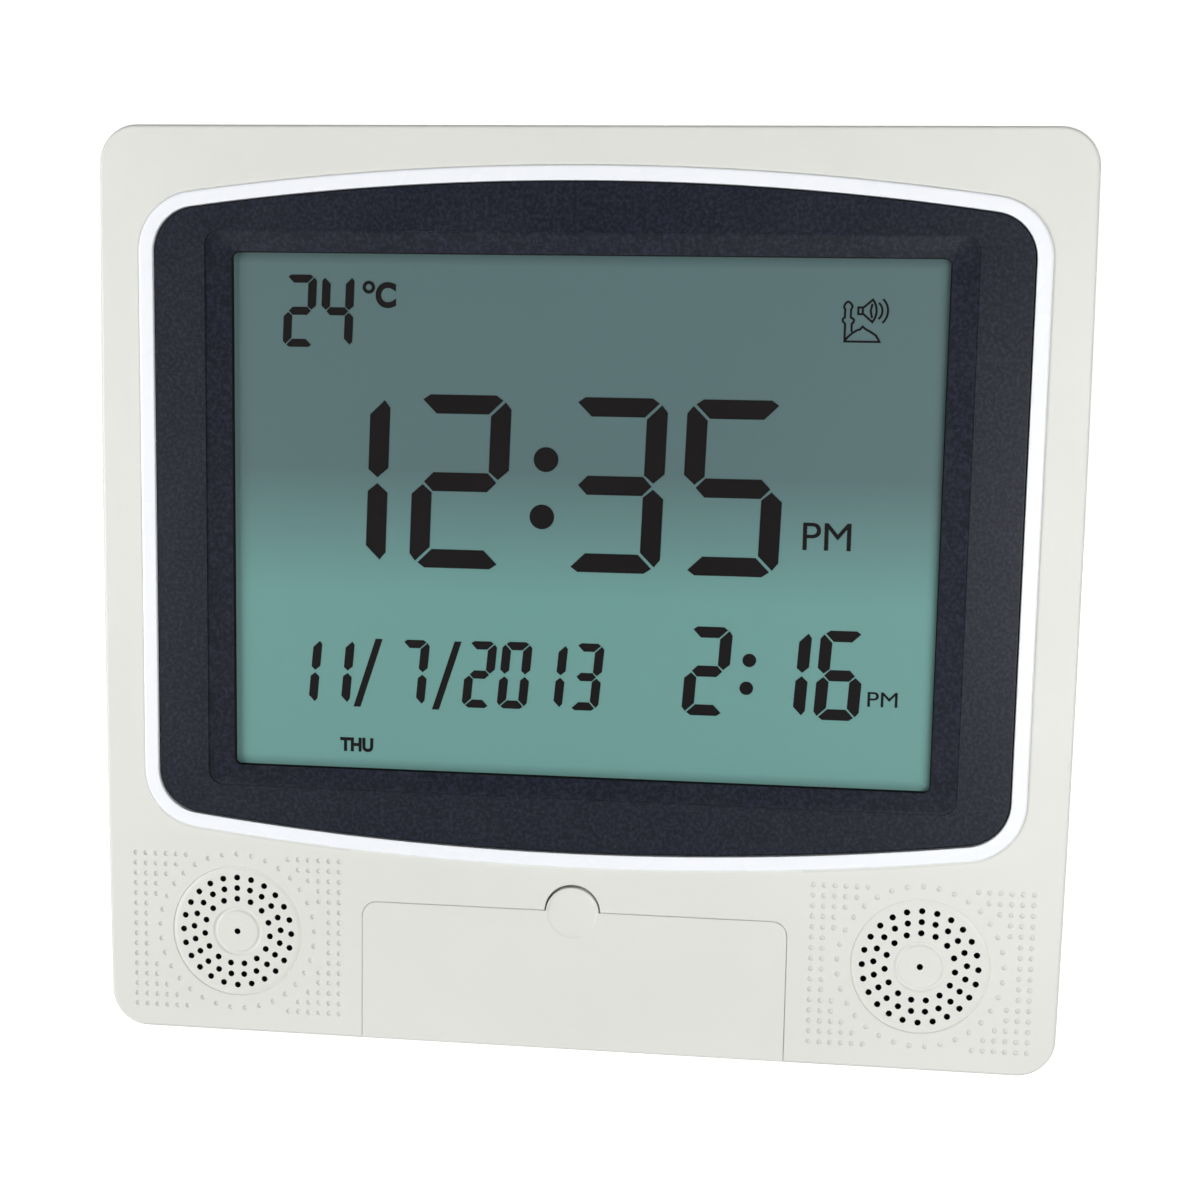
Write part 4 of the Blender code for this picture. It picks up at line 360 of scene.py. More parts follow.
# Angles and smoothness
QUARTER = math.pi / 2
SMOOTH_ANGLE = math.radians(35)
SHARP_ANGLE = math.radians(40)
CORNER_STEPS = 14
SIDE_STEPS = 14
BOW_STEPS = 48
KEY_STEPS = 10
KEY_HOLE_STEPS = 8
SLOT_STEPS = 6
SIGN_STEPS = 8
ROUND_SIDES = 96
SMALL_SIDES = 32
HOLE_SIDES = 16
DIMPLE_SIDES = 10
# How far a normal points along Y: a wall's under STEEP, a bevel's under LEVEL, a flat face's over FACING
STEEP = 0.2
FACING = 0.9
LEVEL = 0.95


def metres(name, description, default):
    """A length that a user may change."""
    return FloatProperty(name=name, description=description, default=default, min=0.0, max=1.0,
                         unit="LENGTH", precision=5)


def paint(name, description, default):
    """A linear colour that a user may change."""
    return FloatVectorProperty(name=name, description=description, default=default, size=4,
                               subtype="COLOR", min=0.0, max=1.0)


class ClockSizes(PropertyGroup):
    """Fine sizes of the clock's surface."""

    front_edge: metres("Front edge", "Radius of the casing's front edge and of the door's lower edge", 0.0011)
    rear_edge: metres("Rear edge", "Radius of the casing's rear edge", 0.0035)
    ring_round: metres("Ring roundness", "Radius of the display ring's outer edge", 0.0008)
    dimple_radius: metres("Dimple radius", "Radius of one dimple of the speaker fields", 0.00076)
    dimple_depth: metres("Dimple depth", "Depth of one dimple", 0.00038)
    dimple_pitch: metres("Dimple pitch", "Distance between two dimples", 0.00288)
    dimple_ring_radius: metres("Dimple ring", "Radius of the ring of dimples round a grille", 0.0219)
    dimple_ring_count: IntProperty(name="Dimples in the ring", description="How many dimples the ring has",
                                   default=33, min=3, max=99)
    dimple_drop: metres("Dimple field drop", "How far the square field sits below the grille", 0.0005)
    hole_radius: metres("Grille hole", "Radius of one hole of a grille", 0.00085)
    soft_edge: metres("Soft edge", "Rounding of small moulded edges", 0.00025)


class ClockReadout(PropertyGroup):
    """What the display shows."""

    hour: StringProperty(name="Hours", description="Hours of the large time", default="12")
    minute: StringProperty(name="Minutes", description="Minutes of the large time", default="35")
    half: StringProperty(name="Half of the day", description="Letters beside both times", default="PM")
    degrees: StringProperty(name="Temperature", description="Temperature in degrees", default="24")
    weekday: StringProperty(name="Weekday", description="Short name of the day", default="THU")


class ClockColours(PropertyGroup):
    """Colours of the clock's finishes."""

    cream: paint("Casing", "Warm white moulded casing", (0.700, 0.704, 0.668, 1))
    cream_shade: paint("Casing shade", "The casing's slightly darker clouds", (0.680, 0.683, 0.645, 1))
    ring: paint("Display ring", "Bright white ring", (0.850, 0.868, 0.902, 1))
    navy: paint("Bezel", "Navy black bezel", (0.0060, 0.0078, 0.0145, 1))
    navy_fleck: paint("Bezel fleck", "Lighter flecks of the bezel's grain", (0.0180, 0.0216, 0.0370, 1))
    # Painted shade: the upper part is a darker, greyer copy of the lower part's green
    display_high: paint("Display, upper part", "Grey-green of the display's upper part",
                        (0.090, 0.150, 0.154, 1))
    display_low: paint("Display, lower part", "Green of the display's lower part", (0.136, 0.294, 0.274, 1))
    # Painted light: a lighter green along the display's left edge
    display_painted_light: paint("Display painted light", "Light along the display's left edge", (0.160, 0.270, 0.270, 1))
    # Painted shade along the display's right, top and bottom edges
    display_dusk: paint("Display dusk", "Shade along the display's other edges", (0.030, 0.055, 0.055, 1))
    # Painted shadow: a fine near-black line round the display's edge
    display_shadow_line: paint("Display shadow line", "Fine dark line round the display", (0.008, 0.008, 0.009, 1))
    ink: paint("Readout", "Dark segments of the display", (0.0065, 0.0055, 0.0057, 1))
    key: paint("Keys", "Grey of the rubber keys", (0.300, 0.320, 0.335, 1))
    sleeve: paint("Cell sleeve", "Sleeve of the cells", (0.030, 0.160, 0.085, 1))


# Outlines seen from the front, as lists of (x, height)

def arc(centre_x, centre_z, radius, start, end, steps):
    """Points along an arc, both ends included, with angles from +X towards +Z."""
    points = []
    for step in range(steps + 1):
        angle = start + (end - start) * step / steps
        points.append((centre_x + radius * math.cos(angle), centre_z + radius * math.sin(angle)))
    return points


def circle(x, height, radius, sides):
    """Points all round a circle, each once."""
    return arc(x, height, radius, 0, 2 * math.pi * (sides - 1) / sides, sides - 1)


def steps_round(radius, count):
    """Steps from a middle to even places on a circle, the first at twelve o'clock."""
    steps = []
    for number in range(count):
        angle = QUARTER + 2 * math.pi * number / count
        steps.append((radius * math.cos(angle), 0, radius * math.sin(angle)))
    return steps


def rounded_rectangle(half_width, low, high, radius, side_steps=0):
    """A rectangle with round corners about x = 0, anticlockwise, with spare points up its sides."""
    right = half_width - radius
    side = []
    for step in range(1, side_steps + 1):
        share = step / (side_steps + 1)
        side.append((low + radius) * (1 - share) + (high - radius) * share)
    points = arc(right, low + radius, radius, -QUARTER, 0, CORNER_STEPS)
    points += [(half_width, z) for z in side]
    points += arc(right, high - radius, radius, 0, QUARTER, CORNER_STEPS)
    points += arc(-right, high - radius, radius, QUARTER, 2 * QUARTER, CORNER_STEPS)
    points += [(-half_width, z) for z in reversed(side)]
    points += arc(-right, low + radius, radius, 2 * QUARTER, 3 * QUARTER, CORNER_STEPS)
    return points


def pill(half_width, radius, steps):
    """A level bar with half-round ends about the origin."""
    reach = half_width - radius
    right_end = arc(reach, 0, radius, -QUARTER, QUARTER, steps)
    return right_end + arc(-reach, 0, radius, QUARTER, 3 * QUARTER, steps)


def case_outline(inset):
    """The casing's outline, moved inwards by inset: its sides bow out a little at mid height."""
    middle = CASE_HEIGHT / 2
    points = []
    corners = rounded_rectangle(CASE_HALF_WIDTH - SIDE_BOW - inset, inset, CASE_HEIGHT - inset,
                                CASE_CORNER_RADIUS - inset, side_steps=SIDE_STEPS)
    for x, z in corners:
        bow = SIDE_BOW * (1 - ((z - middle) / middle) ** 2)
        points.append((x + math.copysign(bow, x), z))
    return points


def window_outline(offset):
    """The bowed frame's outline, moved outwards by offset from the ring's inner edge."""
    corner_x = BEZEL_HALF_WIDTH - BEZEL_CORNER_RADIUS
    top_reach = BEZEL_TOP_RADIUS - BEZEL_CORNER_RADIUS
    bottom_reach = BEZEL_BOTTOM_RADIUS - BEZEL_CORNER_RADIUS
    top_centre = BEZEL_TOP - BEZEL_TOP_RADIUS
    bottom_centre = BEZEL_BOTTOM + BEZEL_BOTTOM_RADIUS
    top_lean = math.asin(corner_x / top_reach)
    bottom_lean = math.asin(corner_x / bottom_reach)
    high = top_centre + top_reach * math.cos(top_lean)
    low = bottom_centre - bottom_reach * math.cos(bottom_lean)
    corner = BEZEL_CORNER_RADIUS + offset
    points = arc(corner_x, low, corner, bottom_lean - QUARTER, 0, CORNER_STEPS)
    points += arc(corner_x, high, corner, 0, QUARTER - top_lean, CORNER_STEPS)
    points += arc(0, top_centre, BEZEL_TOP_RADIUS + offset,
                  QUARTER - top_lean, QUARTER + top_lean, BOW_STEPS)[1:-1]
    points += arc(-corner_x, high, corner, QUARTER + top_lean, 2 * QUARTER, CORNER_STEPS)
    points += arc(-corner_x, low, corner, 2 * QUARTER, 3 * QUARTER - bottom_lean, CORNER_STEPS)
    points += arc(0, bottom_centre, BEZEL_BOTTOM_RADIUS + offset,
                  3 * QUARTER - bottom_lean, 3 * QUARTER + bottom_lean, BOW_STEPS)[1:-1]
    return points


def on_line(x, height, offset):
    """Whether a point lies on a corner point of the bowed frame's outline."""
    return min(math.hypot(x - corner[0], height - corner[1]) for corner in window_outline(offset)) < SEAM


def moved(outline, x, z):
    """An outline moved to another place."""
    return [(x + point[0], z + point[1]) for point in outline]


def place(x, depth, height):
    """A point from its depth behind the casing's front face and its height above its bottom edge."""
    return Vector((x, FRONT + depth, BOTTOM + height))


def speaker_distance(point):
    """How far a point lies from the axis of the nearer speaker."""
    return math.hypot(abs(point.x) - SPEAKER_X, point.z - BOTTOM - SPEAKER_HEIGHT)


# Modelling by hand, in code

def leave_edit():
    """Go back to object mode with nothing selected."""
    if bpy.context.mode != "OBJECT":
        bpy.ops.object.mode_set(mode="OBJECT")
    bpy.ops.object.select_all(action="DESELECT")


def pick(piece):
    """Leave edit mode and select this piece alone."""
    leave_edit()
    piece.select_set(True)
    bpy.context.view_layer.objects.active = piece


def named(name):
    """Take the primitive that was just added and give it its name."""
    piece = bpy.context.active_object
    piece.name = name
    piece.data.name = name
    return piece


def settle(piece):
    """Put a piece's place, turn and scale into its mesh."""
    pick(piece)
    bpy.ops.object.transform_apply(location=True, rotation=True, scale=True)
    return piece


def choose(piece, mode, test):
    """Go into edit mode with only the vertices, edges or faces that pass a test selected."""
    pick(piece)
    bpy.ops.object.mode_set(mode="EDIT")
    bpy.ops.mesh.select_mode(type=mode)
    bpy.ops.mesh.select_all(action="DESELECT")
    mesh = bmesh.from_edit_mesh(piece.data)
    for item in {"VERT": mesh.verts, "EDGE": mesh.edges, "FACE": mesh.faces}[mode]:
        if test(item):
            item.select_set(True)
    bmesh.update_edit_mesh(piece.data)


def close_edit():
    """Turn all faces outwards and leave edit mode."""
    bpy.ops.mesh.select_all(action="SELECT")
    bpy.ops.mesh.normals_make_consistent(inside=False)
    bpy.ops.object.mode_set(mode="OBJECT")


def extrude(step):
    """Draw the selected faces or edges out along a step."""
    bpy.ops.mesh.extrude_region_move(TRANSFORM_OT_translate={"value": step})


def lay_ring(name, points):
    """A filled circle whose points are laid on an outline in space."""
    leave_edit()
    bpy.ops.mesh.primitive_circle_add(vertices=len(points), radius=CASE_HALF_WIDTH, fill_type="NGON")
    piece = named(name)
    for vertex, point in zip(piece.data.vertices, points):
        vertex.co = point
    return piece


def draw_out(piece, step):
    """Extrude a piece that is one flat face along a step, which closes it."""
    choose(piece, "FACE", lambda face: True)
    extrude(step)
    close_edit()
    return piece


def add_plate(name, outline, front, back):
    """A flat plate of an outline seen from the front, between two depths."""
    piece = lay_ring(name, [place(x, front, z) for x, z in outline])
    return draw_out(piece, (0, back - front, 0))


def add_bar(name, section, left, right):
    """A bar along X of a section of (depth, height)."""
    piece = lay_ring(name, [place(left, depth, z) for depth, z in section])
    return draw_out(piece, (right - left, 0, 0))


def add_box(name, low, high):
    """A box between two corners of (x, depth, height)."""
    first = place(*low)
    last = place(*high)
    leave_edit()
    bpy.ops.mesh.primitive_cube_add(size=1, location=(first + last) / 2, scale=last - first)
    return settle(named(name))


def add_frame(name, outer, inner, front, back):
    """A closed frame between two outlines of equally many points."""
    hoop = lay_ring(name, [place(x, front, z) for x, z in outer])
    hole = lay_ring(f"{name}_hole", [place(x, front, z) for x, z in inner])
    hoop = join(name, [hoop, hole])
    choose(hoop, "FACE", lambda face: True)
    bpy.ops.mesh.delete(type="ONLY_FACE")
    bpy.ops.mesh.select_all(action="SELECT")
    bpy.ops.mesh.bridge_edge_loops()
    bpy.ops.mesh.select_all(action="SELECT")
    extrude((0, back - front, 0))
    close_edit()
    return hoop


def add_funnel(name, wide, front, narrow, neck, back):
    """A wide outline up to a depth, a slope in to a narrow one at the neck, and that one on to the back."""
    parts = [add_plate(name, wide, front - OVERRUN, front), add_plate(name, narrow, neck, back)]
    shape = join(name, parts)
    low = FRONT + front - SEAM
    high = FRONT + neck + SEAM
    choose(shape, "FACE",
           lambda face: abs(face.normal.y) > FACING and low < face.calc_center_median().y < high)
    bpy.ops.mesh.bridge_edge_loops()
    close_edit()
    return shape


def add_drum(name, axis, centre, radius, start, end, sides=ROUND_SIDES):
    """A cylinder between two distances along its axis from a centre."""
    return add_turned(name, axis, centre, [(radius, start), (radius, end)], sides)


def add_turned(name, axis, centre, profile, sides=ROUND_SIDES):
    """Draw a disc along its axis through rings of (radius, distance), scaling it as it goes."""
    direction = {"X": Vector((1, 0, 0)), "Y": Vector((0, 1, 0)), "Z": Vector((0, 0, 1))}[axis]
    turn = {"X": (0, QUARTER, 0), "Y": (-QUARTER, 0, 0), "Z": (0, 0, 0)}[axis]
    centre = Vector(centre)
    radius, along = profile[0]
    leave_edit()
    bpy.ops.mesh.primitive_circle_add(vertices=sides, radius=radius, fill_type="NGON",
                                      location=centre + along * direction, rotation=turn)
    piece = settle(named(name))
    choose(piece, "FACE", lambda face: True)
    for next_radius, next_along in profile[1:]:
        extrude((next_along - along) * direction)
        share = next_radius / radius
        bpy.ops.transform.resize(value=(share, share, share), center_override=centre + next_along * direction)
        radius, along = next_radius, next_along
    close_edit()
    return piece


def add_pins(piece, axis, half_width, length):
    """Unite a piece with a hinge pin at either end of its axis."""
    pin = add_drum("pin", "X", axis, HINGE_PIN_RADIUS, half_width - ROOT_OVERLAP, half_width + length,
                   SMALL_SIDES)
    reach = 2 * half_width + length - ROOT_OVERLAP
    carve(piece, repeated("pins", pin, [(0, 0, 0), (-reach, 0, 0)]), "UNION")


def join(name, parts):
    """Join parts into one object."""
    pick(parts[0])
    for part in parts[1:]:
        part.select_set(True)
    bpy.ops.object.join()
    return named(name)


def copies(piece, steps):
    """Copies of a piece, each with its own mesh, moved by each step."""
    made = []
    for step in steps:
        copy = piece.copy()
        copy.data = piece.data.copy()
        copy.data.transform(Matrix.Translation(step))
        bpy.context.scene.collection.objects.link(copy)
        made.append(copy)
    return made


def repeated(name, piece, steps):
    """One object made of a piece moved by each step. The piece itself is used up."""
    parts = copies(piece, steps)
    bpy.data.objects.remove(piece, do_unlink=True)
    return join(name, parts)


def carve(piece, tool, operation="DIFFERENCE"):
    """Cut, unite or trim a piece with a tool, which is used up."""
    modifier = piece.modifiers.new("tool", "BOOLEAN")
    modifier.operation = operation
    modifier.solver = "EXACT"
    modifier.object = tool
    pick(piece)
    bpy.ops.object.modifier_apply(modifier=modifier.name)
    bpy.data.objects.remove(tool, do_unlink=True)


def is_sharp(edge):
    """Whether an edge stands out between two faces."""
    return len(edge.link_faces) == 2 and edge.calc_face_angle(0) > SHARP_ANGLE


def round_edges(piece, test, width, segments):
    """Bevel the edges whose two ends both pass a test of (x, depth, height)."""
    def within(edge):
        ends = [vertex.co - place(0, 0, 0) for vertex in edge.verts]
        return is_sharp(edge) and all(test(*end) for end in ends)
    choose(piece, "EDGE", within)
    bpy.ops.mesh.bevel(offset=width, segments=segments, profile=0.5, affect="EDGES", clamp_overlap=False)
    bpy.ops.object.mode_set(mode="OBJECT")


def near(value, target):
    """Whether two lengths are the same but for rounding."""
    return abs(value - target) < SEAM


def dress(piece, finish):
    """Give a piece one finish all over."""
    piece.data.materials.clear()
    piece.data.materials.append(bpy.data.materials[finish])


def shade_faces(piece, finish, test):
    """Give the faces that pass a test a second finish."""
    piece.data.materials.append(bpy.data.materials[finish])
    for face in piece.data.polygons:
        if test(face):
            face.material_index = 1


def finish_piece(piece, finish, body, slot, *nodes):
    """Shade a piece, give it its finish, let it ride on its body and stand for its nodes."""
    settle(piece)
    bpy.ops.object.shade_smooth_by_angle(angle=SMOOTH_ANGLE)
    modifier = piece.modifiers.new("even normals", "WEIGHTED_NORMAL")
    modifier.keep_sharp = True
    bpy.ops.object.modifier_apply(modifier=modifier.name)
    dress(piece, finish)
    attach(piece, body)
    if nodes:
        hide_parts(*nodes)
    return piece


# Finishes

def new_finish(name):
    """Make a material, and give back its node tree and its shader."""
    finish = bpy.data.materials.new(name)
    finish.use_nodes = True
    tree = finish.node_tree
    return tree, tree.nodes["Principled BSDF"]


def grain_group():
    """Moulded surface: a fine height, slow clouds and small flecks, all over Object coordinates."""
    group = bpy.data.node_groups.new("Mould grain", "ShaderNodeTree")
    for name, value in (("Grain scale", 1500.0), ("Cloud scale", 18.0)):
        socket = group.interface.new_socket(name, in_out="INPUT", socket_type="NodeSocketFloat")
        socket.default_value = value
    for name in ("Height", "Clouds", "Flecks"):
        group.interface.new_socket(name, in_out="OUTPUT", socket_type="NodeSocketFloat")
    nodes, links = group.nodes, group.links
    entry = nodes.new("NodeGroupInput")
    leave = nodes.new("NodeGroupOutput")
    where = nodes.new("ShaderNodeTexCoord")
    grain = nodes.new("ShaderNodeTexNoise")
    clouds = nodes.new("ShaderNodeTexNoise")
    flecks = nodes.new("ShaderNodeMapRange")
    grain.inputs["Detail"].default_value = 3.0
    grain.inputs["Roughness"].default_value = 0.6
    clouds.inputs["Detail"].default_value = 2.0
    flecks.inputs["From Min"].default_value = 0.42
    flecks.inputs["From Max"].default_value = 0.66
    for texture, scale in ((grain, "Grain scale"), (clouds, "Cloud scale")):
        links.new(where.outputs["Object"], texture.inputs["Vector"])
        links.new(entry.outputs[scale], texture.inputs["Scale"])
    links.new(grain.outputs["Fac"], flecks.inputs["Value"])
    links.new(grain.outputs["Fac"], leave.inputs["Height"])
    links.new(clouds.outputs["Fac"], leave.inputs["Clouds"])
    links.new(flecks.outputs["Result"], leave.inputs["Flecks"])
    return group


def add_grain(tree, grain_scale, cloud_scale):
    """Place the moulded surface's group in a material."""
    node = tree.nodes.new("ShaderNodeGroup")
    node.node_tree = bpy.data.node_groups["Mould grain"]
    node.inputs["Grain scale"].default_value = grain_scale
    node.inputs["Cloud scale"].default_value = cloud_scale
    return node


def highest(tree, values):
    """The highest of some varying values."""
    top = values[0]
    for value in values[1:]:
        node = tree.nodes.new("ShaderNodeMath")
        node.operation = "MAXIMUM"
        tree.links.new(top, node.inputs[0])
        tree.links.new(value, node.inputs[1])
        top = node.outputs["Value"]
    return top


def blend_colours(tree, factor, first, second):
    """Mix a colour, or a socket's colour, with another by a factor socket, and give back the mixed one."""
    mix = tree.nodes.new("ShaderNodeMix")
    mix.data_type = "RGBA"
    if isinstance(first, bpy.types.NodeSocket):
        tree.links.new(first, mix.inputs["A"])
    else:
        mix.inputs["A"].default_value = first
    mix.inputs["B"].default_value = second
    tree.links.new(factor, mix.inputs["Factor"])
    return mix.outputs["Result"]


def spread(tree, value, low, high, from_low=0.3, from_high=0.7):
    """Map a varying value on to a range."""
    node = tree.nodes.new("ShaderNodeMapRange")
    node.inputs["From Min"].default_value = from_low
    node.inputs["From Max"].default_value = from_high
    node.inputs["To Min"].default_value = low
    node.inputs["To Max"].default_value = high
    tree.links.new(value, node.inputs["Value"])
    return node.outputs["Result"]


def raise_surface(tree, shader, height, distance):
    """Let a varying height bump a shader's normal."""
    bump = tree.nodes.new("ShaderNodeBump")
    bump.inputs["Distance"].default_value = distance
    bump.inputs["Strength"].default_value = 1.0
    tree.links.new(height, bump.inputs["Height"])
    tree.links.new(bump.outputs["Normal"], shader.inputs["Normal"])


def moulded(name, colour, shade, grain, clouds, roughness, bump, mask="Clouds", metallic=0.0, specular=0.5):
    """A finish whose colour and roughness wander a little and whose surface has a fine grain."""
    tree, shader = new_finish(name)
    surface = add_grain(tree, grain, clouds)
    factor = spread(tree, surface.outputs[mask], 0.0, 1.0) if mask == "Clouds" else surface.outputs[mask]
    tree.links.new(blend_colours(tree, factor, colour, shade), shader.inputs["Base Color"])
    low, high = roughness
    tree.links.new(spread(tree, surface.outputs["Clouds"], low, high), shader.inputs["Roughness"])
    shader.inputs["Metallic"].default_value = metallic
    shader.inputs["Specular IOR Level"].default_value = specular
    raise_surface(tree, shader, surface.outputs["Height"], bump)


def display_finish(colours):
    """The display's matt film with its light and shade painted: darker and greyer above than below, painted
    light along the left edge, painted shade along the others and a fine painted shadow line round it.
    """
    tree, shader = new_finish("display_film")
    nodes, links = tree.nodes, tree.links
    where = nodes.new("ShaderNodeTexCoord")
    parts = nodes.new("ShaderNodeSeparateXYZ")
    links.new(where.outputs["Object"], parts.inputs["Vector"])
    across, height = parts.outputs["X"], parts.outputs["Z"]
    grain = add_grain(tree, grain_scale=900.0, cloud_scale=12.0)
    # Painted shade: the film is darker and greyer towards the top
    rise = spread(tree, height, 0.0, 1.0, BOTTOM + FILM_TURN_LOW, BOTTOM + FILM_TURN_HIGH)
    colour = blend_colours(tree, rise, colours.display_low, colours.display_high)
    left, right = -WINDOW_HALF_WIDTH, WINDOW_HALF_WIDTH
    low, high = BOTTOM + WINDOW_LOW, BOTTOM + WINDOW_HIGH
    # Painted light along the film's left edge
    left_painted_light = spread(tree, across, FILM_LIFT_LEFT, 0.0, left, left + FILM_PAINTED_EDGE_WIDTH)
    colour = blend_colours(tree, left_painted_light, colour, colours.display_painted_light)
    # Painted shade along the film's right, top and bottom edges
    dusk = highest(tree, [
        spread(tree, across, 0.0, FILM_DUSK_RIGHT, right - FILM_PAINTED_EDGE_WIDTH, right - FILM_SHADOW_LINE),
        spread(tree, height, 0.0, FILM_DUSK_TOP, high - FILM_PAINTED_EDGE_WIDTH, high),
        spread(tree, height, FILM_DUSK_BOTTOM, 0.0, low, low + FILM_PAINTED_EDGE_WIDTH)])
    colour = blend_colours(tree, dusk, colour, colours.display_dusk)
    # Painted shadow: a fine dark line round the film's edge
    shadow_line = highest(tree, [
        spread(tree, across, 1.0, 0.0, left + FILM_SHADOW_LINE, left + FILM_SHADOW_LINE_FADE),
        spread(tree, across, 0.0, 1.0, right - FILM_SHADOW_LINE_FADE, right - FILM_SHADOW_LINE),
        spread(tree, height, 1.0, 0.0, low + FILM_SHADOW_LINE, low + FILM_SHADOW_LINE_FADE),
        spread(tree, height, 0.0, 1.0, high - FILM_SHADOW_LINE_FADE, high - FILM_SHADOW_LINE)])
    colour = blend_colours(tree, shadow_line, colour, colours.display_shadow_line)
    links.new(colour, shader.inputs["Base Color"])
    links.new(spread(tree, grain.outputs["Clouds"], 0.42, 0.5), shader.inputs["Roughness"])
    shader.inputs["Specular IOR Level"].default_value = 0.20
    raise_surface(tree, shader, grain.outputs["Height"], 0.000004)


def make_finishes(colours):
    """All finishes of the clock, by name."""
    grain_group()
    moulded("casing_plastic", colours.cream, colours.cream_shade,
            grain=1700.0, clouds=22.0, roughness=(0.42, 0.50), bump=0.000012, specular=0.35)
    # Painted shade: a greyer copy of the casing's finish for the bowls of the dimples
    moulded("dimple_shade", (0.640, 0.642, 0.612, 1), (0.615, 0.617, 0.587, 1),
            grain=1700.0, clouds=22.0, roughness=(0.55, 0.65), bump=0.000012, specular=0.2)
    moulded("ring_gloss", colours.ring, (0.835, 0.852, 0.888, 1),
            grain=500.0, clouds=30.0, roughness=(0.24, 0.32), bump=0.000002, specular=0.35)
    moulded("bezel_grain", colours.navy, colours.navy_fleck,
            grain=1000.0, clouds=60.0, roughness=(0.36, 0.44), bump=0.000030, mask="Flecks", specular=0.25)
    display_finish(colours)
    moulded("readout_ink", colours.ink, (0.0085, 0.0072, 0.0074, 1),
            grain=1200.0, clouds=30.0, roughness=(0.55, 0.65), bump=0.000002, specular=0.10)
    moulded("key_rubber", colours.key, (0.270, 0.290, 0.305, 1),
            grain=2200.0, clouds=90.0, roughness=(0.62, 0.75), bump=0.000015)
    moulded("foot_rubber", (0.055, 0.055, 0.057, 1), (0.075, 0.075, 0.078, 1),
            grain=2500.0, clouds=300.0, roughness=(0.75, 0.9), bump=0.000030)
    moulded("plated_steel", (0.62, 0.62, 0.60, 1), (0.52, 0.52, 0.50, 1),
            grain=1400.0, clouds=260.0, roughness=(0.22, 0.38), bump=0.000004, metallic=1.0)
    moulded("cell_sleeve", colours.sleeve, (0.024, 0.135, 0.070, 1),
            grain=900.0, clouds=70.0, roughness=(0.24, 0.34), bump=0.000003)
    moulded("board_mask", (0.012, 0.120, 0.045, 1), (0.010, 0.095, 0.038, 1),
            grain=800.0, clouds=160.0, roughness=(0.30, 0.45), bump=0.000010)
    moulded("part_moulding", (0.016, 0.016, 0.018, 1), (0.024, 0.024, 0.027, 1),
            grain=2000.0, clouds=200.0, roughness=(0.45, 0.62), bump=0.000012)
    moulded("holder_moulding", (0.66, 0.67, 0.66, 1), (0.61, 0.62, 0.61, 1),
            grain=1500.0, clouds=60.0, roughness=(0.5, 0.6), bump=0.000010)
    moulded("guide_clear", (0.72, 0.80, 0.74, 1), (0.66, 0.75, 0.69, 1),
            grain=900.0, clouds=40.0, roughness=(0.25, 0.4), bump=0.000004)
    moulded("hole_shade", (0.010, 0.010, 0.010, 1), (0.016, 0.016, 0.015, 1),
            grain=1700.0, clouds=22.0, roughness=(0.7, 0.8), bump=0.000004, specular=0.1)
    moulded("cone_paper", (0.022, 0.022, 0.023, 1), (0.040, 0.040, 0.041, 1),
            grain=1300.0, clouds=250.0, roughness=(0.8, 0.95), bump=0.000060, mask="Flecks")
    moulded("connector_rubber", (0.11, 0.11, 0.11, 1), (0.15, 0.15, 0.15, 1),
            grain=1800.0, clouds=300.0, roughness=(0.7, 0.85), bump=0.000010)


# Front shell

def screw_places():
    """(x, height) of each casing screw, from the frame."""
    places = []
    for number in range(1, SCREW_COUNT + 1):
        low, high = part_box(f"case_screw_{number}")
        places.append(((low.x + high.x) / 2, (low.z + high.z) / 2 - BOTTOM))
    return places


def key_boxes():
    """(x, height, half width) of each key, from the frame."""
    keys = []
    for number in range(1, KEY_COUNT + 1):
        low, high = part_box(f"button_{number}")
        keys.append(((low.x + high.x) / 2, (low.z + high.z) / 2 - BOTTOM, (high.x - low.x) / 2 - KEY_FLANGE))
    return keys


def foot_places(rear):
    """(x, depth, radius) of the two feet of the front shell, or of the rear one."""
    places = []
    for number in range(1, FOOT_COUNT + 1):
        low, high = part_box(f"rubber_foot_{number}")
        middle = (low + high) / 2
        if (middle.y > FRONT + FRONT_SHELL_DEPTH) == rear:
            places.append((middle.x, middle.y - FRONT, (high.x - low.x) / 2))
    return places


def foot_seats(rear):
    """Tools that sink the seats of a shell's two feet."""
    return [add_drum("foot_seat", "Z", place(x, depth, 0), radius + FIT_GAP, -OVERRUN, FOOT_SEAT, SMALL_SIDES)
            for x, depth, radius in foot_places(rear)]


def front_block(sizes):
    """The solid block of the front shell with its rounded front edge, hollowed from behind."""
    shell = add_plate("front_shell", case_outline(0), 0, FRONT_SHELL_DEPTH)
    round_edges(shell, lambda x, depth, height: near(depth, 0), sizes.front_edge, segments=6)
    cavity = add_plate("cavity", case_outline(WALL), WALL, LIP_FRONT - FIT_GAP)
    round_edges(cavity, lambda x, depth, height: near(depth, WALL), INNER_EDGE_RADIUS, segments=3)
    carve(shell, cavity)
    carve(shell, add_plate("lip", case_outline(LIP_STEP), LIP_FRONT - FIT_GAP - OVERRUN,
                           FRONT_SHELL_DEPTH + OVERRUN))
    return shell


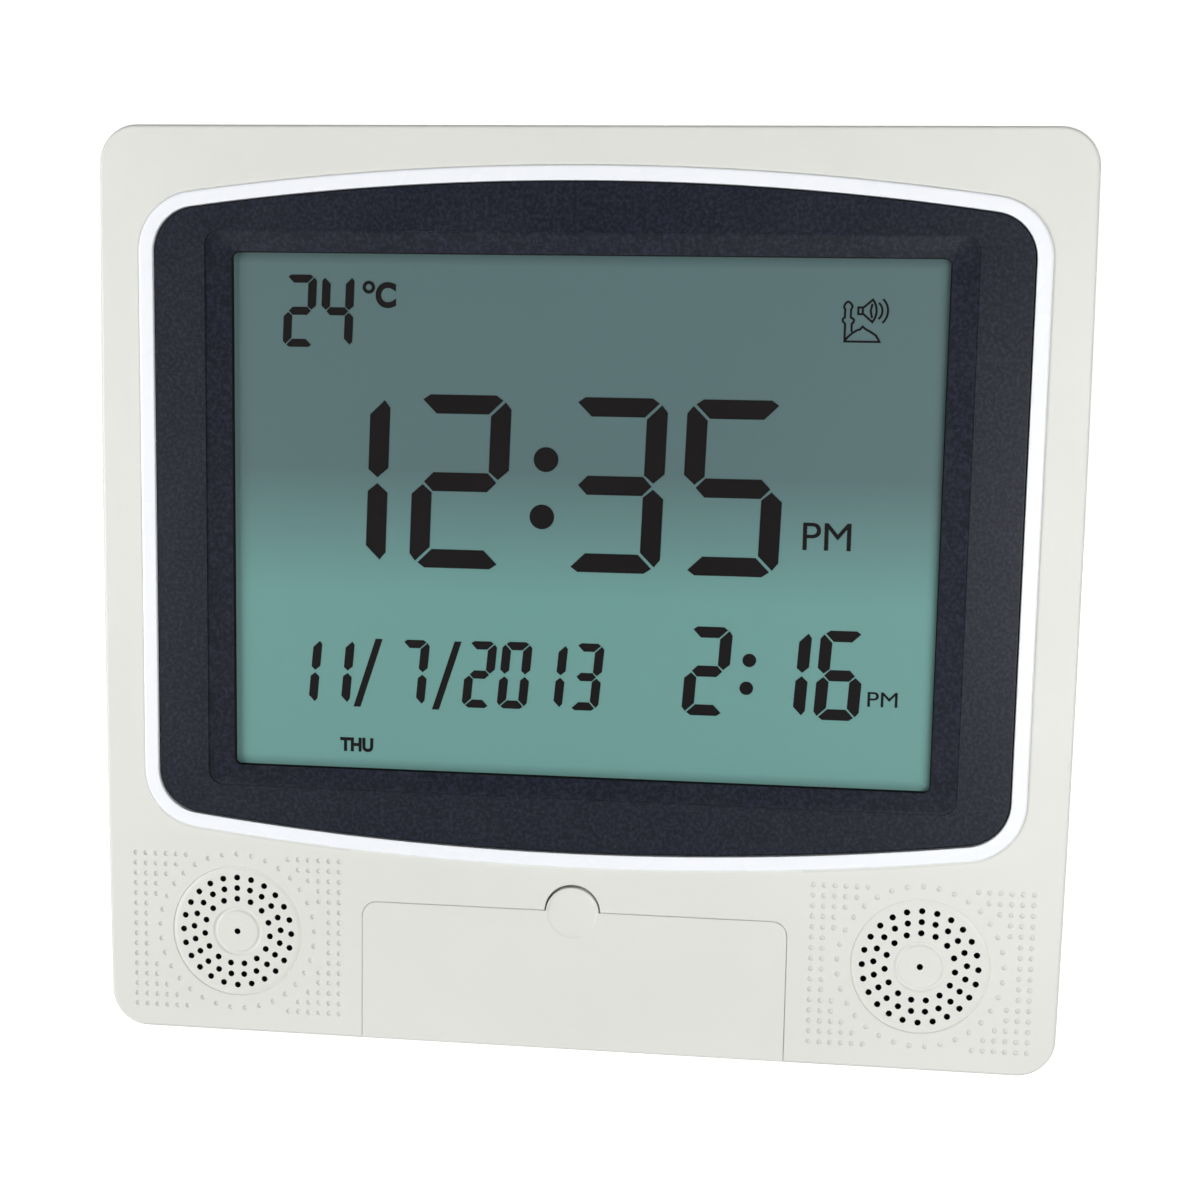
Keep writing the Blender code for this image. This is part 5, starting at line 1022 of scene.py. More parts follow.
def add_front_structure(shell):
    """Bay box, notch cup, speaker ribs and screw bosses behind the face."""
    root = WALL - ROOT_OVERLAP
    carve(shell, add_box("bay_block", (-BAY_BLOCK_HALF_WIDTH, root, BAY_BLOCK_LOW),
                         (BAY_BLOCK_HALF_WIDTH, BAY_SKIRT_BACK, BAY_BLOCK_HIGH)), "UNION")
    parts = [add_drum("notch_cup", "Y", place(0, 0, NOTCH_HEIGHT), NOTCH_RADIUS + NOTCH_WALL, root,
                      NOTCH_DEPTH + NOTCH_WALL)]
    for x, height in screw_places():
        parts.append(add_drum("boss", "Y", place(x, 0, height), BOSS_RADIUS, root, LIP_FRONT, SMALL_SIDES))
    carve(shell, join("bosses", parts), "UNION")
    centre = place(SPEAKER_X, 0, SPEAKER_HEIGHT)
    rib_end = WALL + SPEAKER_RIB_HEIGHT
    rib = add_drum("speaker_rib", "Y", centre, SPEAKER_SEAT_RADIUS + SPEAKER_RIB_WALL, root, rib_end)
    carve(rib, add_drum("rib_bore", "Y", centre, SPEAKER_SEAT_RADIUS, root - OVERRUN, rib_end + OVERRUN))
    carve(shell, repeated("speaker_ribs", rib, BOTH_SPEAKERS), "UNION")


def door_swing(sizes):
    """How far the door's lower front edge reaches from the hinge axis as it swings."""
    return (BARREL_RADIUS - sizes.front_edge) * math.sqrt(2) + sizes.front_edge


def rebate_outline(spread_by):
    """The opening that the door lies in, running out below the casing, moved outwards all round."""
    corner = DOOR_CORNER_RADIUS + DOOR_GAP + spread_by
    return rounded_rectangle(DOOR_HALF_WIDTH + DOOR_GAP + spread_by, -corner - 2 * OVERRUN,
                             DOOR_TOP + DOOR_GAP + spread_by, corner)


def cut_front_openings(shell, sizes):
    """Display opening, speaker seats, door rebate with its trough and notch, bay and key holes."""
    seat = GRILLE_RADIUS + FIT_GAP
    bore = GRILLE_SPIGOT_RADIUS + FIT_GAP
    step = GRILLE_RIM_THICKNESS + FIT_GAP
    soft = sizes.soft_edge
    tool = add_turned("speaker_seat", "Y", place(SPEAKER_X, 0, SPEAKER_HEIGHT),
                      [(seat + soft + OVERRUN, -OVERRUN), (seat, soft), (seat, step), (bore, step),
                       (bore, WALL + OVERRUN)])
    carve(shell, repeated("speaker_seats", tool, BOTH_SPEAKERS))
    carve(shell, add_funnel("door_rebate", rebate_outline(soft + OVERRUN), -OVERRUN, rebate_outline(0), soft,
                            DOOR_THICKNESS + FIT_GAP))
    axis = place(0, BARREL_RADIUS, BARREL_RADIUS)
    trough = DOOR_HALF_WIDTH + DOOR_GAP - SEAM
    carve(shell, add_drum("hinge_trough", "X", axis, door_swing(sizes) + DOOR_SWING_GAP, -trough, trough))
    bearing = DOOR_HALF_WIDTH + HINGE_PIN_LENGTH + FIT_GAP
    carve(shell, add_drum("hinge_bearings", "X", axis, BEARING_RADIUS, -bearing, bearing, SMALL_SIDES))
    carve(shell, add_turned("notch", "Y", place(0, 0, NOTCH_HEIGHT), [
        (NOTCH_RADIUS + soft + OVERRUN, -OVERRUN), (NOTCH_RADIUS, soft), (NOTCH_RADIUS, NOTCH_DEPTH)]))
    neck = RING_SEAT_EDGE * RING_SEAT_SLOPE
    flare = (neck + OVERRUN) / RING_SEAT_SLOPE
    carve(shell, add_funnel("ring_seat", window_outline(RING_WIDTH + SEAM + flare), -OVERRUN,
                            window_outline(RING_WIDTH + SEAM), neck, RING_SEAT_DEPTH))
    carve(shell, add_plate("display_opening", window_outline(RING_WIDTH - RING_LEDGE),
                           RING_SEAT_DEPTH - OVERRUN, WALL + OVERRUN))
    bay = rounded_rectangle(BAY_HALF_WIDTH, BAY_LOW, BAY_HIGH, BAY_CORNER_RADIUS)
    carve(shell, add_plate("bay", bay, -OVERRUN, BAY_DEPTH))
    holes = []
    for x, height, half_width in key_boxes():
        outline = moved(pill(half_width + FIT_GAP, KEY_RADIUS + FIT_GAP, KEY_HOLE_STEPS), x, height)
        holes.append(add_plate("key_hole", outline, BAY_DEPTH - OVERRUN, BAY_FLOOR_BACK + OVERRUN))
    carve(shell, join("key_holes", holes))
    skirt = BAY_BLOCK_HALF_WIDTH - BAY_SKIRT_WALL
    carve(shell, add_box("bay_back", (-skirt, BAY_FLOOR_BACK, BAY_BLOCK_LOW + BAY_SKIRT_WALL),
                         (skirt, BAY_SKIRT_BACK + OVERRUN, BAY_BLOCK_HIGH - BAY_SKIRT_WALL)))


def cut_front_small_holes(shell):
    """Pilot holes, foot seats and the hole for the power socket."""
    tools = []
    for x, height in screw_places():
        tools.append(add_drum("pilot", "Y", place(x, 0, height), SCREW_RADIUS + FIT_GAP,
                              LIP_FRONT - PILOT_DEPTH, LIP_FRONT + OVERRUN, HOLE_SIDES))
    tools += foot_seats(rear=False)
    tools.append(add_drum("socket_hole", "X", place(0, SOCKET_DEPTH, SOCKET_HEIGHT),
                          SOCKET_NOSE_RADIUS + FIT_GAP, CASE_HALF_WIDTH - 2 * WALL,
                          CASE_HALF_WIDTH + OVERRUN, SMALL_SIDES))
    carve(shell, join("small_holes", tools))


def dimple_steps(sizes):
    """Where the dimples of one field lie, from the grille's middle: a square grid cut round, and a ring."""
    steps = []
    pitch = sizes.dimple_pitch
    for column in range(DIMPLE_COLUMNS):
        for row in range(DIMPLE_ROWS):
            x = (column - (DIMPLE_COLUMNS - 1) / 2) * pitch
            z = (row - (DIMPLE_ROWS - 1) / 2) * pitch
            if math.hypot(x, z) > DIMPLE_CLEARING * pitch:
                steps.append((x, 0, z - sizes.dimple_drop))
    return steps + steps_round(sizes.dimple_ring_radius, sizes.dimple_ring_count)


def cut_dimples(shell, sizes):
    """Press the two fields of shallow dimples into the face with one joined tool."""
    profile = [(sizes.dimple_radius * share, sizes.dimple_depth * sunk) for share, sunk in DIMPLE_PROFILE]
    tool = add_turned("dimple", "Y", place(0, 0, SPEAKER_HEIGHT), profile, DIMPLE_SIDES)
    steps = []
    for side in (-1, 1):
        steps += [(side * SPEAKER_X + x, y, z) for x, y, z in dimple_steps(sizes)]
    carve(shell, repeated("dimples", tool, steps))


def shade_dimples(shell, sizes):
    """Give the bowls of the dimples a greyer finish, which is painted shade."""
    shallow = sizes.dimple_depth * DIMPLE_SHADE_FROM
    deep = sizes.dimple_depth * DIMPLE_SHADE_TO

    def in_bowl(face):
        if not shallow < face.center.y - FRONT < deep or not face.normal.y < -STEEP:
            return False
        in_field = GRILLE_RADIUS + OVERRUN < speaker_distance(face.center) < DIMPLE_FIELD_REACH
        return in_field and abs(face.center.x) < CASE_HALF_WIDTH - 2 * WALL

    shade_faces(shell, "dimple_shade", in_bowl)


def build_front_shell(sizes):
    """The front shell from its block to its dimples."""
    shell = front_block(sizes)
    add_front_structure(shell)
    cut_front_openings(shell, sizes)
    cut_front_small_holes(shell)
    cut_dimples(shell, sizes)
    finish_piece(shell, "casing_plastic", "casing", "casing_cream", "front_casing")
    shade_dimples(shell, sizes)


# Display

def build_trim_frame(sizes):
    """The bright frame: a soft inner edge and an outer one that rounds to just below the casing's face."""
    ring = add_frame("trim_frame", window_outline(RING_WIDTH), window_outline(0), RING_FRONT, RING_BACK)
    for offset, width in ((RING_WIDTH, sizes.ring_round), (0, sizes.soft_edge)):
        round_edges(ring, lambda x, depth, height: near(depth, RING_FRONT) and on_line(x, height, offset),
                    width, segments=5)
    finish_piece(ring, "ring_gloss", "casing", "trim_white", "trim_ring")


def shade_bezel_edges(bezel):
    """Give the window's walls and the seam round the bezel, which light hardly reaches, a dark finish."""
    def in_shade(face):
        depth = face.center.y - FRONT
        across = abs(face.center.x)
        height = face.center.z - BOTTOM
        lean = abs(face.normal.y)
        in_window = (across < WINDOW_HALF_WIDTH + OVERRUN
                     and WINDOW_LOW - OVERRUN < height < WINDOW_HIGH + OVERRUN)
        if in_window and depth > WINDOW_LIP_DEPTH:
            return lean < STEEP
        in_recess = (across <= RECESS_HALF_WIDTH + OVERRUN
                     and RECESS_LOW - OVERRUN < height < RECESS_HIGH + OVERRUN)
        return 0 < depth < BEZEL_EDGE and lean < LEVEL and not in_recess

    shade_faces(bezel, "hole_shade", in_shade)


def build_bezel():
    """The dark tray: a flat face, a fine step with a band that falls a tenth as far, and a slope down."""
    rim = RING_WIDTH - RING_LEDGE - FIT_GAP
    flange = RING_WIDTH - RING_LEDGE + BEZEL_FLANGE_LAP
    bezel = add_plate("bezel_tray", window_outline(-FIT_GAP), 0, BEZEL_FLANGE_BACK)
    round_edges(bezel, lambda x, depth, height: near(depth, 0), BEZEL_EDGE, segments=3)
    carve(bezel, add_plate("rim", window_outline(rim), RING_SEAT_DEPTH, BEZEL_FLANGE_BACK), "UNION")
    carve(bezel, add_plate("flange", window_outline(flange), BEZEL_FLANGE_FRONT, BEZEL_FLANGE_BACK), "UNION")
    carve(bezel, add_plate("back", window_outline(-FIT_GAP - BEZEL_RIM), BEZEL_THICKNESS,
                           BEZEL_FLANGE_BACK + OVERRUN))
    pad = rounded_rectangle(RECESS_HALF_WIDTH + PAD_MARGIN, RECESS_LOW - PAD_MARGIN,
                            RECESS_HIGH + PAD_MARGIN, RECESS_CORNER_RADIUS)
    carve(bezel, add_plate("pad", pad, BEZEL_THICKNESS - ROOT_OVERLAP, WINDOW_LIP_BACK), "UNION")
    recess = rounded_rectangle(RECESS_HALF_WIDTH, RECESS_LOW, RECESS_HIGH, RECESS_CORNER_RADIUS)
    slope = add_plate("slope", recess, -OVERRUN, RECESS_STEP)
    middle = (RECESS_LOW + RECESS_HIGH) / 2
    band_half_width = RECESS_HALF_WIDTH - RECESS_BAND
    recess_height = RECESS_HIGH - RECESS_LOW
    band_height = recess_height - 2 * RECESS_BAND
    choose(slope, "FACE", lambda face: face.normal.y > FACING)
    extrude((0, RECESS_STEP / 10, 0))
    bpy.ops.transform.resize(value=(band_half_width / RECESS_HALF_WIDTH, 1, band_height / recess_height),
                             center_override=place(0, RECESS_STEP, middle))
    extrude((0, WINDOW_LIP_DEPTH - RECESS_STEP * 11 / 10, 0))
    window_height = WINDOW_HIGH - WINDOW_LOW
    bpy.ops.transform.resize(value=(WINDOW_HALF_WIDTH / band_half_width, 1, window_height / band_height),
                             center_override=place(0, WINDOW_LIP_DEPTH, middle))
    close_edit()
    carve(bezel, slope)
    window = rounded_rectangle(WINDOW_HALF_WIDTH, WINDOW_LOW, WINDOW_HIGH, WINDOW_CORNER_RADIUS)
    carve(bezel, add_plate("window", window, -OVERRUN, WINDOW_LIP_BACK + OVERRUN))
    finish_piece(bezel, "bezel_grain", "casing", "bezel_navy", "display_bezel")
    shade_bezel_edges(bezel)


def build_display():
    """Two bonded plates of glass: the back one is shorter and bares the contact ledges."""
    low = GLASS_LOW.z - BOTTOM
    high = GLASS_HIGH.z - BOTTOM
    half_width = GLASS_HIGH.x
    back = GLASS_HIGH.y - FRONT
    glass = add_box("display_glass", (-half_width, GLASS_FRONT, low), (half_width, GLASS_STEP, high))
    round_edges(glass, lambda x, depth, height: near(depth, GLASS_FRONT), GLASS_EDGE, segments=2)
    carve(glass, add_box("back_plate", (-half_width, GLASS_STEP - FIT_GAP, low + CONTACT_LEDGE),
                         (half_width, back, high - CONTACT_LEDGE)), "UNION")
    finish_piece(glass, "display_film", "casing", "lcd_glass", "lcd_panel")


# Readout

def segment_outlines(width, height, thick):
    """The seven segments of an upright figure from its lower left corner, with blunt mitred ends.

    Every number is a share of the segments' thickness: first the end at a corner of the figure, then the
    end at its middle, then the bars.
    """
    tip_in, tip_up, outer, inner = 0.30 * thick, 0.34 * thick, 0.72 * thick, 1.07 * thick
    waist_in, waist_up, waist_outer, waist_inner = 0.55 * thick, 0.15 * thick, 0.64 * thick, 0.56 * thick
    stem, bar = 1.04 * thick, 0.97 * thick
    bar_tip, bar_drop, bar_shoulder, bar_inner = 0.43 * thick, 0.26 * thick, 0.80 * thick, 1.15 * thick
    middle_tip, middle_shoulder = 0.62 * thick, 1.09 * thick
    middle = height / 2
    outlines = {}
    outlines["a"] = [(bar_inner, height - bar), (width - bar_inner, height - bar),
                     (width - bar_tip, height - bar_drop), (width - bar_shoulder, height),
                     (bar_shoulder, height), (bar_tip, height - bar_drop)]
    outlines["d"] = [(x, height - z) for x, z in reversed(outlines["a"])]
    outlines["g"] = [(middle_tip, middle), (middle_shoulder, middle - bar / 2),
                     (width - middle_shoulder, middle - bar / 2), (width - middle_tip, middle),
                     (width - middle_shoulder, middle + bar / 2), (middle_shoulder, middle + bar / 2)]
    outlines["b"] = [(width - stem, middle + waist_inner), (width - waist_in, middle + waist_up),
                     (width, middle + waist_outer), (width, height - outer),
                     (width - tip_in, height - tip_up), (width - stem, height - inner)]
    outlines["c"] = [(x, height - z) for x, z in reversed(outlines["b"])]
    outlines["f"] = [(width - x, z) for x, z in reversed(outlines["b"])]
    outlines["e"] = [(width - x, height - z) for x, z in outlines["b"]]
    return outlines


def ink(name, outline):
    """A thin dark plate of the readout, just in front of the glass."""
    return add_plate(name, outline, INK_DEPTH, INK_DEPTH + INK_THICKNESS)


def figures(name, signs, lefts):
    """The lit segments of a row of figures, each placed by its left edge."""
    (width, height, thick), low, rise, slant = FIGURE_STYLES[name]
    lean = math.tan(math.radians(slant))
    outlines = segment_outlines(width, height, thick)
    parts = []
    for sign, left in zip(signs, lefts):
        foot = low + rise * left
        for letter in LIT_SEGMENTS[sign]:
            outline = [(left + x + lean * (z - height / 2), foot + z) for x, z in outlines[letter]]
            parts.append(ink(name, outline))
    return parts


def dot(name, x, height, radius):
    """A round point of the readout."""
    return ink(name, circle(x, height, radius, DOT_SIDES))


def beside(points, reach, closed):
    """Points moved sideways by reach, with mitred corners."""
    count = len(points)
    shifted = []
    for index, point in enumerate(points):
        before = points[index - 1] if closed or index > 0 else None
        after = points[(index + 1) % count] if closed or index < count - 1 else None
        sides = []
        for first, last in ((before, point), (point, after)):
            if first and last:
                along = (Vector(last) - Vector(first)).normalized()
                sides.append(Vector((-along.y, along.x)))
        middle = (sides[0] + sides[-1]).normalized()
        share = reach / max(middle.dot(sides[0]), MITRE_LIMIT)
        shifted.append((point[0] + middle.x * share, point[1] + middle.y * share))
    return shifted


def stroke(name, points, width, closed=False):
    """A line of even width through points."""
    left = beside(points, width / 2, closed)
    right = beside(points, -width / 2, closed)
    if closed:
        return add_frame(name, left, right, INK_DEPTH, INK_DEPTH + INK_THICKNESS)
    return ink(name, left + right[::-1])


def letters(name, words, left, right, low, high, weight):
    """Letters stretched to fill a box, as a thin mesh in front of the glass."""
    leave_edit()
    bpy.ops.object.text_add(rotation=(QUARTER, 0, 0))
    text = bpy.context.active_object
    text.data.body = words
    text.data.offset = weight
    text.data.extrude = LETTER_EXTRUDE
    bpy.ops.object.convert(target="MESH")
    text = settle(named(name))
    choose(text, "VERT", lambda vertex: True)
    bpy.ops.mesh.remove_doubles(threshold=LETTER_WELD)
    close_edit()
    corners = [vertex.co for vertex in text.data.vertices]
    first = Vector([min(corner[axis] for corner in corners) for axis in range(3)])
    last = Vector([max(corner[axis] for corner in corners) for axis in range(3)])
    near_corner = place(left, INK_DEPTH, low)
    far_corner = place(right, INK_DEPTH + INK_THICKNESS, high)
    for vertex in text.data.vertices:
        for axis in range(3):
            share = (vertex.co[axis] - first[axis]) / (last[axis] - first[axis])
            vertex.co[axis] = near_corner[axis] + share * (far_corner[axis] - near_corner[axis])
    return text


def finish_ink(name, parts):
    """Join a row of the readout, which lies on the glass and stands for no node."""
    piece = join(name, parts)
    dress(piece, "readout_ink")
    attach(piece, "casing")


def build_main_time(readout):
    """The large time and its two letters."""
    name = "time_figures"
    parts = figures(name, readout.hour + readout.minute, (-0.0780, -0.0454, -0.0040, 0.0271))
    for x, height in ((-0.0094, 0.1607), (-0.0103, 0.1455)):
        parts.append(dot(name, x, height, MAIN_DOT_RADIUS))
    parts.append(letters(name, readout.half, 0.0587, 0.0712, 0.1386, 0.1458, 0))
    finish_ink(name, parts)


def build_temperature(readout):
    """The degrees with their sign and letter."""
    name = "temperature_figures"
    parts = figures(name, readout.degrees, (-0.0804, -0.0702))
    parts.append(stroke(name, circle(-0.05733, 0.2051, 0.00125, DEGREE_SIDES), DEGREE_LINE, True))
    parts.append(letters(name, "C", -0.0555, -0.0500, 0.1997, 0.2065, LETTER_WEIGHT))
    finish_ink(name, parts)


def build_date():
    """Day, month and year. The line rises a little to the right, as its two strokes do."""
    name = "date_figures"
    parts = figures(name, DATE_SIGNS, (-0.0788, -0.0698, -0.0491, -0.0307, -0.0211, -0.0115, -0.0017))
    for left in (-0.0613, -0.0396):
        parts.append(ink(name, [(left, 0.0925), (left + 0.0019, 0.0925), (left + 0.0080, 0.1113),
                                (left + 0.0061, 0.1113)]))
    finish_ink(name, parts)


def build_second_time(readout):
    """The smaller time and its two letters."""
    name = "second_time_figures"
    parts = figures(name, SECOND_TIME_SIGNS, (0.0287, 0.0495, 0.0636))
    for x, height in ((0.0457, 0.1089), (0.0451, 0.1014)):
        parts.append(dot(name, x, height, SECOND_DOT_RADIUS))
    parts.append(letters(name, readout.half, 0.0770, 0.0848, 0.09765, 0.1016, 0))
    finish_ink(name, parts)


def build_signs(readout):
    """The weekday and the picture sign: a loudspeaker over a plain dome beside a slim tower."""
    name = "display_signs"
    parts = [letters(name, readout.weekday, -0.0650, -0.0558, 0.0800, 0.0839, LETTER_WEIGHT)]
    sound_x, sound_height = 0.0744, 0.2006
    box_low, box_high = 0.19975, 0.20145
    box = [(0.07095, box_high), (0.07095, box_low), (0.0721, box_low), (0.0721, box_high)]
    horn = [(0.0723, box_high)]
    horn += arc(0.07104, sound_height, 0.00456, 0.675, -0.675, SIGN_STEPS)
    horn += [(0.0723, box_low)]
    fold = [(0.0745, 0.2024), (0.0741, 0.2006), (0.0745, 0.1988)]
    near_wave = arc(sound_x, sound_height, 0.00269, -0.87, 0.87, SIGN_STEPS)
    far_wave = arc(sound_x, sound_height, 0.00410, -0.83, 0.83, SIGN_STEPS + 2)
    tower = [(0.0677, 0.1930), (0.0677, 0.1972), (0.0671, 0.1979), (0.0671, 0.1985), (0.0676, 0.1989),
             (0.0676, 0.2010), (0.0673, 0.2014), (0.0674, 0.2019), (0.0678, 0.2026), (0.0683, 0.2029),
             (0.0689, 0.2026), (0.0694, 0.2019), (0.0694, 0.2014), (0.0691, 0.2009), (0.0691, 0.1989),
             (0.0699, 0.1984), (0.0699, 0.1978), (0.0694, 0.1972), (0.0694, 0.1952)]
    dome = [(0.0677, 0.19275), (0.0684, 0.1938), (0.0696, 0.1949), (0.0707, 0.1956), (0.0716, 0.1959),
            (0.0722, 0.1966), (0.0729, 0.1960), (0.0742, 0.1953), (0.0756, 0.1944), (0.0762, 0.1935),
            (0.0766, 0.19275)]
    for points, closed in ((box, True), (horn, False), (fold, False), (near_wave, False), (far_wave, False),
                           (tower, False), (dome, True)):
        parts.append(stroke(name, points, SIGN_LINE, closed))
    finish_ink(name, parts)


# Speaker grilles

def hole_steps():
    """A middle hole and three rings of holes, each with a hole at twelve o'clock."""
    steps = [(0, 0, 0)]
    for radius, count in zip(GRILLE_RING_RADII, GRILLE_RING_COUNTS):
        steps += steps_round(radius, count)
    return steps


def darken_holes(grille, sizes):
    """Give the walls of the holes, which light hardly reaches, a dark finish."""
    reach = GRILLE_RING_RADII[-1] + 2 * sizes.hole_radius
    shade_faces(grille, "hole_shade",
                lambda face: abs(face.normal.y) < STEEP and speaker_distance(face.center) < reach)


def build_grilles(sizes):
    """A pierced disc with a soft rim and a round groove, made once for the right and copied to the left."""
    centre = place(SPEAKER_X, 0, SPEAKER_HEIGHT)
    edge = GRILLE_RADIUS + FIT_GAP - SEAM
    profile = [(edge - inwards * GRILLE_FALL, GRILLE_FALL * sunk) for inwards, sunk in GRILLE_RIM_PROFILE]
    profile += [(edge, GRILLE_RIM_THICKNESS), (GRILLE_SPIGOT_RADIUS, GRILLE_RIM_THICKNESS),
                (GRILLE_SPIGOT_RADIUS, GRILLE_THICKNESS)]
    grille = add_turned("grille_right", "Y", centre, profile)
    middle = GROOVE_RADIUS
    half = GROOVE_HALF_WIDTH
    deep = GROOVE_DEPTH
    outer = [(middle + half, -OVERRUN), (middle + half, 0), (middle + half * 0.5, deep * 0.75),
             (middle, deep)]
    inner = [(middle - half, -2 * OVERRUN), (middle - half, 0), (middle - half * 0.5, deep * 0.75),
             (middle, deep), (middle, OVERRUN)]
    groove = add_turned("groove", "Y", centre, outer)
    carve(groove, add_turned("groove_core", "Y", centre, inner))
    carve(grille, groove)
    hole = add_drum("hole", "Y", centre, sizes.hole_radius, -OVERRUN, GRILLE_THICKNESS + OVERRUN, HOLE_SIDES)
    carve(grille, repeated("holes", hole, hole_steps()))
    left = copies(grille, [BOTH_SPEAKERS[1]])[0]
    left.name = "grille_left"
    left.data.name = "grille_left"
    for side, piece in (("right", grille), ("left", left)):
        finish_piece(piece, "casing_plastic", "casing", "casing_cream", f"speaker_grille_{side}")
        darken_holes(piece, sizes)


# Control door and keys

def door_outline():
    """The door's front view: square below, round corners above and the half disc of the finger tab."""
    start = math.asin((DOOR_TOP - DOOR_TAB_HEIGHT) / DOOR_TAB_RADIUS)
    corner = DOOR_HALF_WIDTH - DOOR_CORNER_RADIUS
    corner_height = DOOR_TOP - DOOR_CORNER_RADIUS
    outline = [(-DOOR_HALF_WIDTH, -OVERRUN), (DOOR_HALF_WIDTH, -OVERRUN)]
    outline += arc(corner, corner_height, DOOR_CORNER_RADIUS, 0, QUARTER, CORNER_STEPS)
    outline += arc(0, DOOR_TAB_HEIGHT, DOOR_TAB_RADIUS, start, math.pi - start, ROUND_SIDES // 2)
    outline += arc(-corner, corner_height, DOOR_CORNER_RADIUS, QUARTER, math.pi, CORNER_STEPS)
    return outline


def build_door(sizes):
    """The flap with its hinge barrel and pins, its finger tab and the shallow dish in it."""
    radius = BARREL_RADIUS
    top = DOOR_TAB_HEIGHT + DOOR_TAB_RADIUS + OVERRUN
    edge = sizes.front_edge
    inner = math.acos((DOOR_THICKNESS - radius) / radius)
    section = arc(edge, edge, edge, -math.pi, -QUARTER, CORNER_STEPS)
    section += arc(radius, radius, radius, -QUARTER, inner, ROUND_SIDES // 2)
    section += [(DOOR_THICKNESS, top), (0, top)]
    door = add_bar("door_flap", section, -DOOR_HALF_WIDTH - OVERRUN, DOOR_HALF_WIDTH + OVERRUN)
    carve(door, add_plate("outline", door_outline(), -OVERRUN, 2 * radius + OVERRUN), "INTERSECT")
    round_edges(door, lambda x, depth, height: near(depth, 0) and height > radius + OVERRUN,
                sizes.soft_edge, segments=3)
    add_pins(door, place(0, radius, radius), DOOR_HALF_WIDTH, HINGE_PIN_LENGTH)
    profile = [(DOOR_DISH_RADIUS, -OVERRUN)]
    profile += [(DOOR_DISH_RADIUS * share, DOOR_DISH_DEPTH * sunk) for share, sunk in DOOR_DISH_PROFILE]
    carve(door, add_turned("dish", "Y", place(0, 0, DOOR_TAB_HEIGHT), profile))
    finish_piece(door, "casing_plastic", "door", "casing_cream", "control_door")


def build_keys():
    """Pill-shaped rubber caps with a rounded face and a flange behind the bay's floor."""
    for number, (x, height, half_width) in enumerate(key_boxes(), 1):
        low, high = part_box(f"button_{number}")
        face = low.y - FRONT
        back = high.y - FRONT
        outline = moved(pill(half_width, KEY_RADIUS, KEY_STEPS), x, height)
        cap = add_plate(f"key_cap_{number}", outline, face, back - KEY_FLANGE / 2)
        round_edges(cap, lambda x, depth, height: near(depth, face), KEY_EDGE, segments=5)
        flange = moved(pill(half_width + KEY_FLANGE, KEY_RADIUS + KEY_FLANGE, KEY_STEPS), x, height)
        carve(cap, add_plate("flange", flange, back - KEY_FLANGE, back), "UNION")
        finish_piece(cap, "key_rubber", f"key_{number}", "key_grey", f"button_{number}")


def build_socket():
    """The power inlet: a block behind the wall with a round nose, a bore and a middle pin."""
    low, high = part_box("power_socket")
    nose_tip = high.x
    wall = CASE_HALF_WIDTH - SIDE_BOW - WALL - FIT_GAP
    socket = add_box("power_inlet", (low.x, low.y - FRONT, low.z - BOTTOM),
                     (wall, high.y - FRONT, high.z - BOTTOM))
    axis = place(0, SOCKET_DEPTH, SOCKET_HEIGHT)
    carve(socket, add_drum("nose", "X", axis, SOCKET_NOSE_RADIUS, wall - ROOT_OVERLAP, nose_tip, SMALL_SIDES),
          "UNION")
    floor = nose_tip - SOCKET_BORE_DEPTH
    carve(socket, add_drum("bore", "X", axis, SOCKET_BORE_RADIUS, floor, nose_tip + OVERRUN, SMALL_SIDES))
    carve(socket, add_drum("pin", "X", axis, SOCKET_PIN_RADIUS, floor - OVERRUN, floor + SOCKET_PIN_LENGTH,
                           HOLE_SIDES), "UNION")
    finish_piece(socket, "part_moulding", "casing", "part_black", "power_socket")


# Back

def rear_block(sizes):
    """The rear shell: lip, rounded rear edge and hollow."""
    shell = add_plate("rear_shell", case_outline(0), REAR_SHELL_FRONT, CASE_DEPTH)
    round_edges(shell, lambda x, depth, height: near(depth, CASE_DEPTH), sizes.rear_edge, segments=8)
    carve(shell, add_plate("lip", case_outline(LIP_STEP + FIT_GAP), REAR_LIP_FRONT,
                           REAR_SHELL_FRONT + OVERRUN), "UNION")
    cavity = add_plate("cavity", case_outline(WALL), REAR_LIP_FRONT - OVERRUN, REAR_PLATE_FRONT)
    round_edges(cavity, lambda x, depth, height: near(depth, REAR_PLATE_FRONT), INNER_EDGE_RADIUS, segments=3)
    carve(shell, cavity)
    return shell


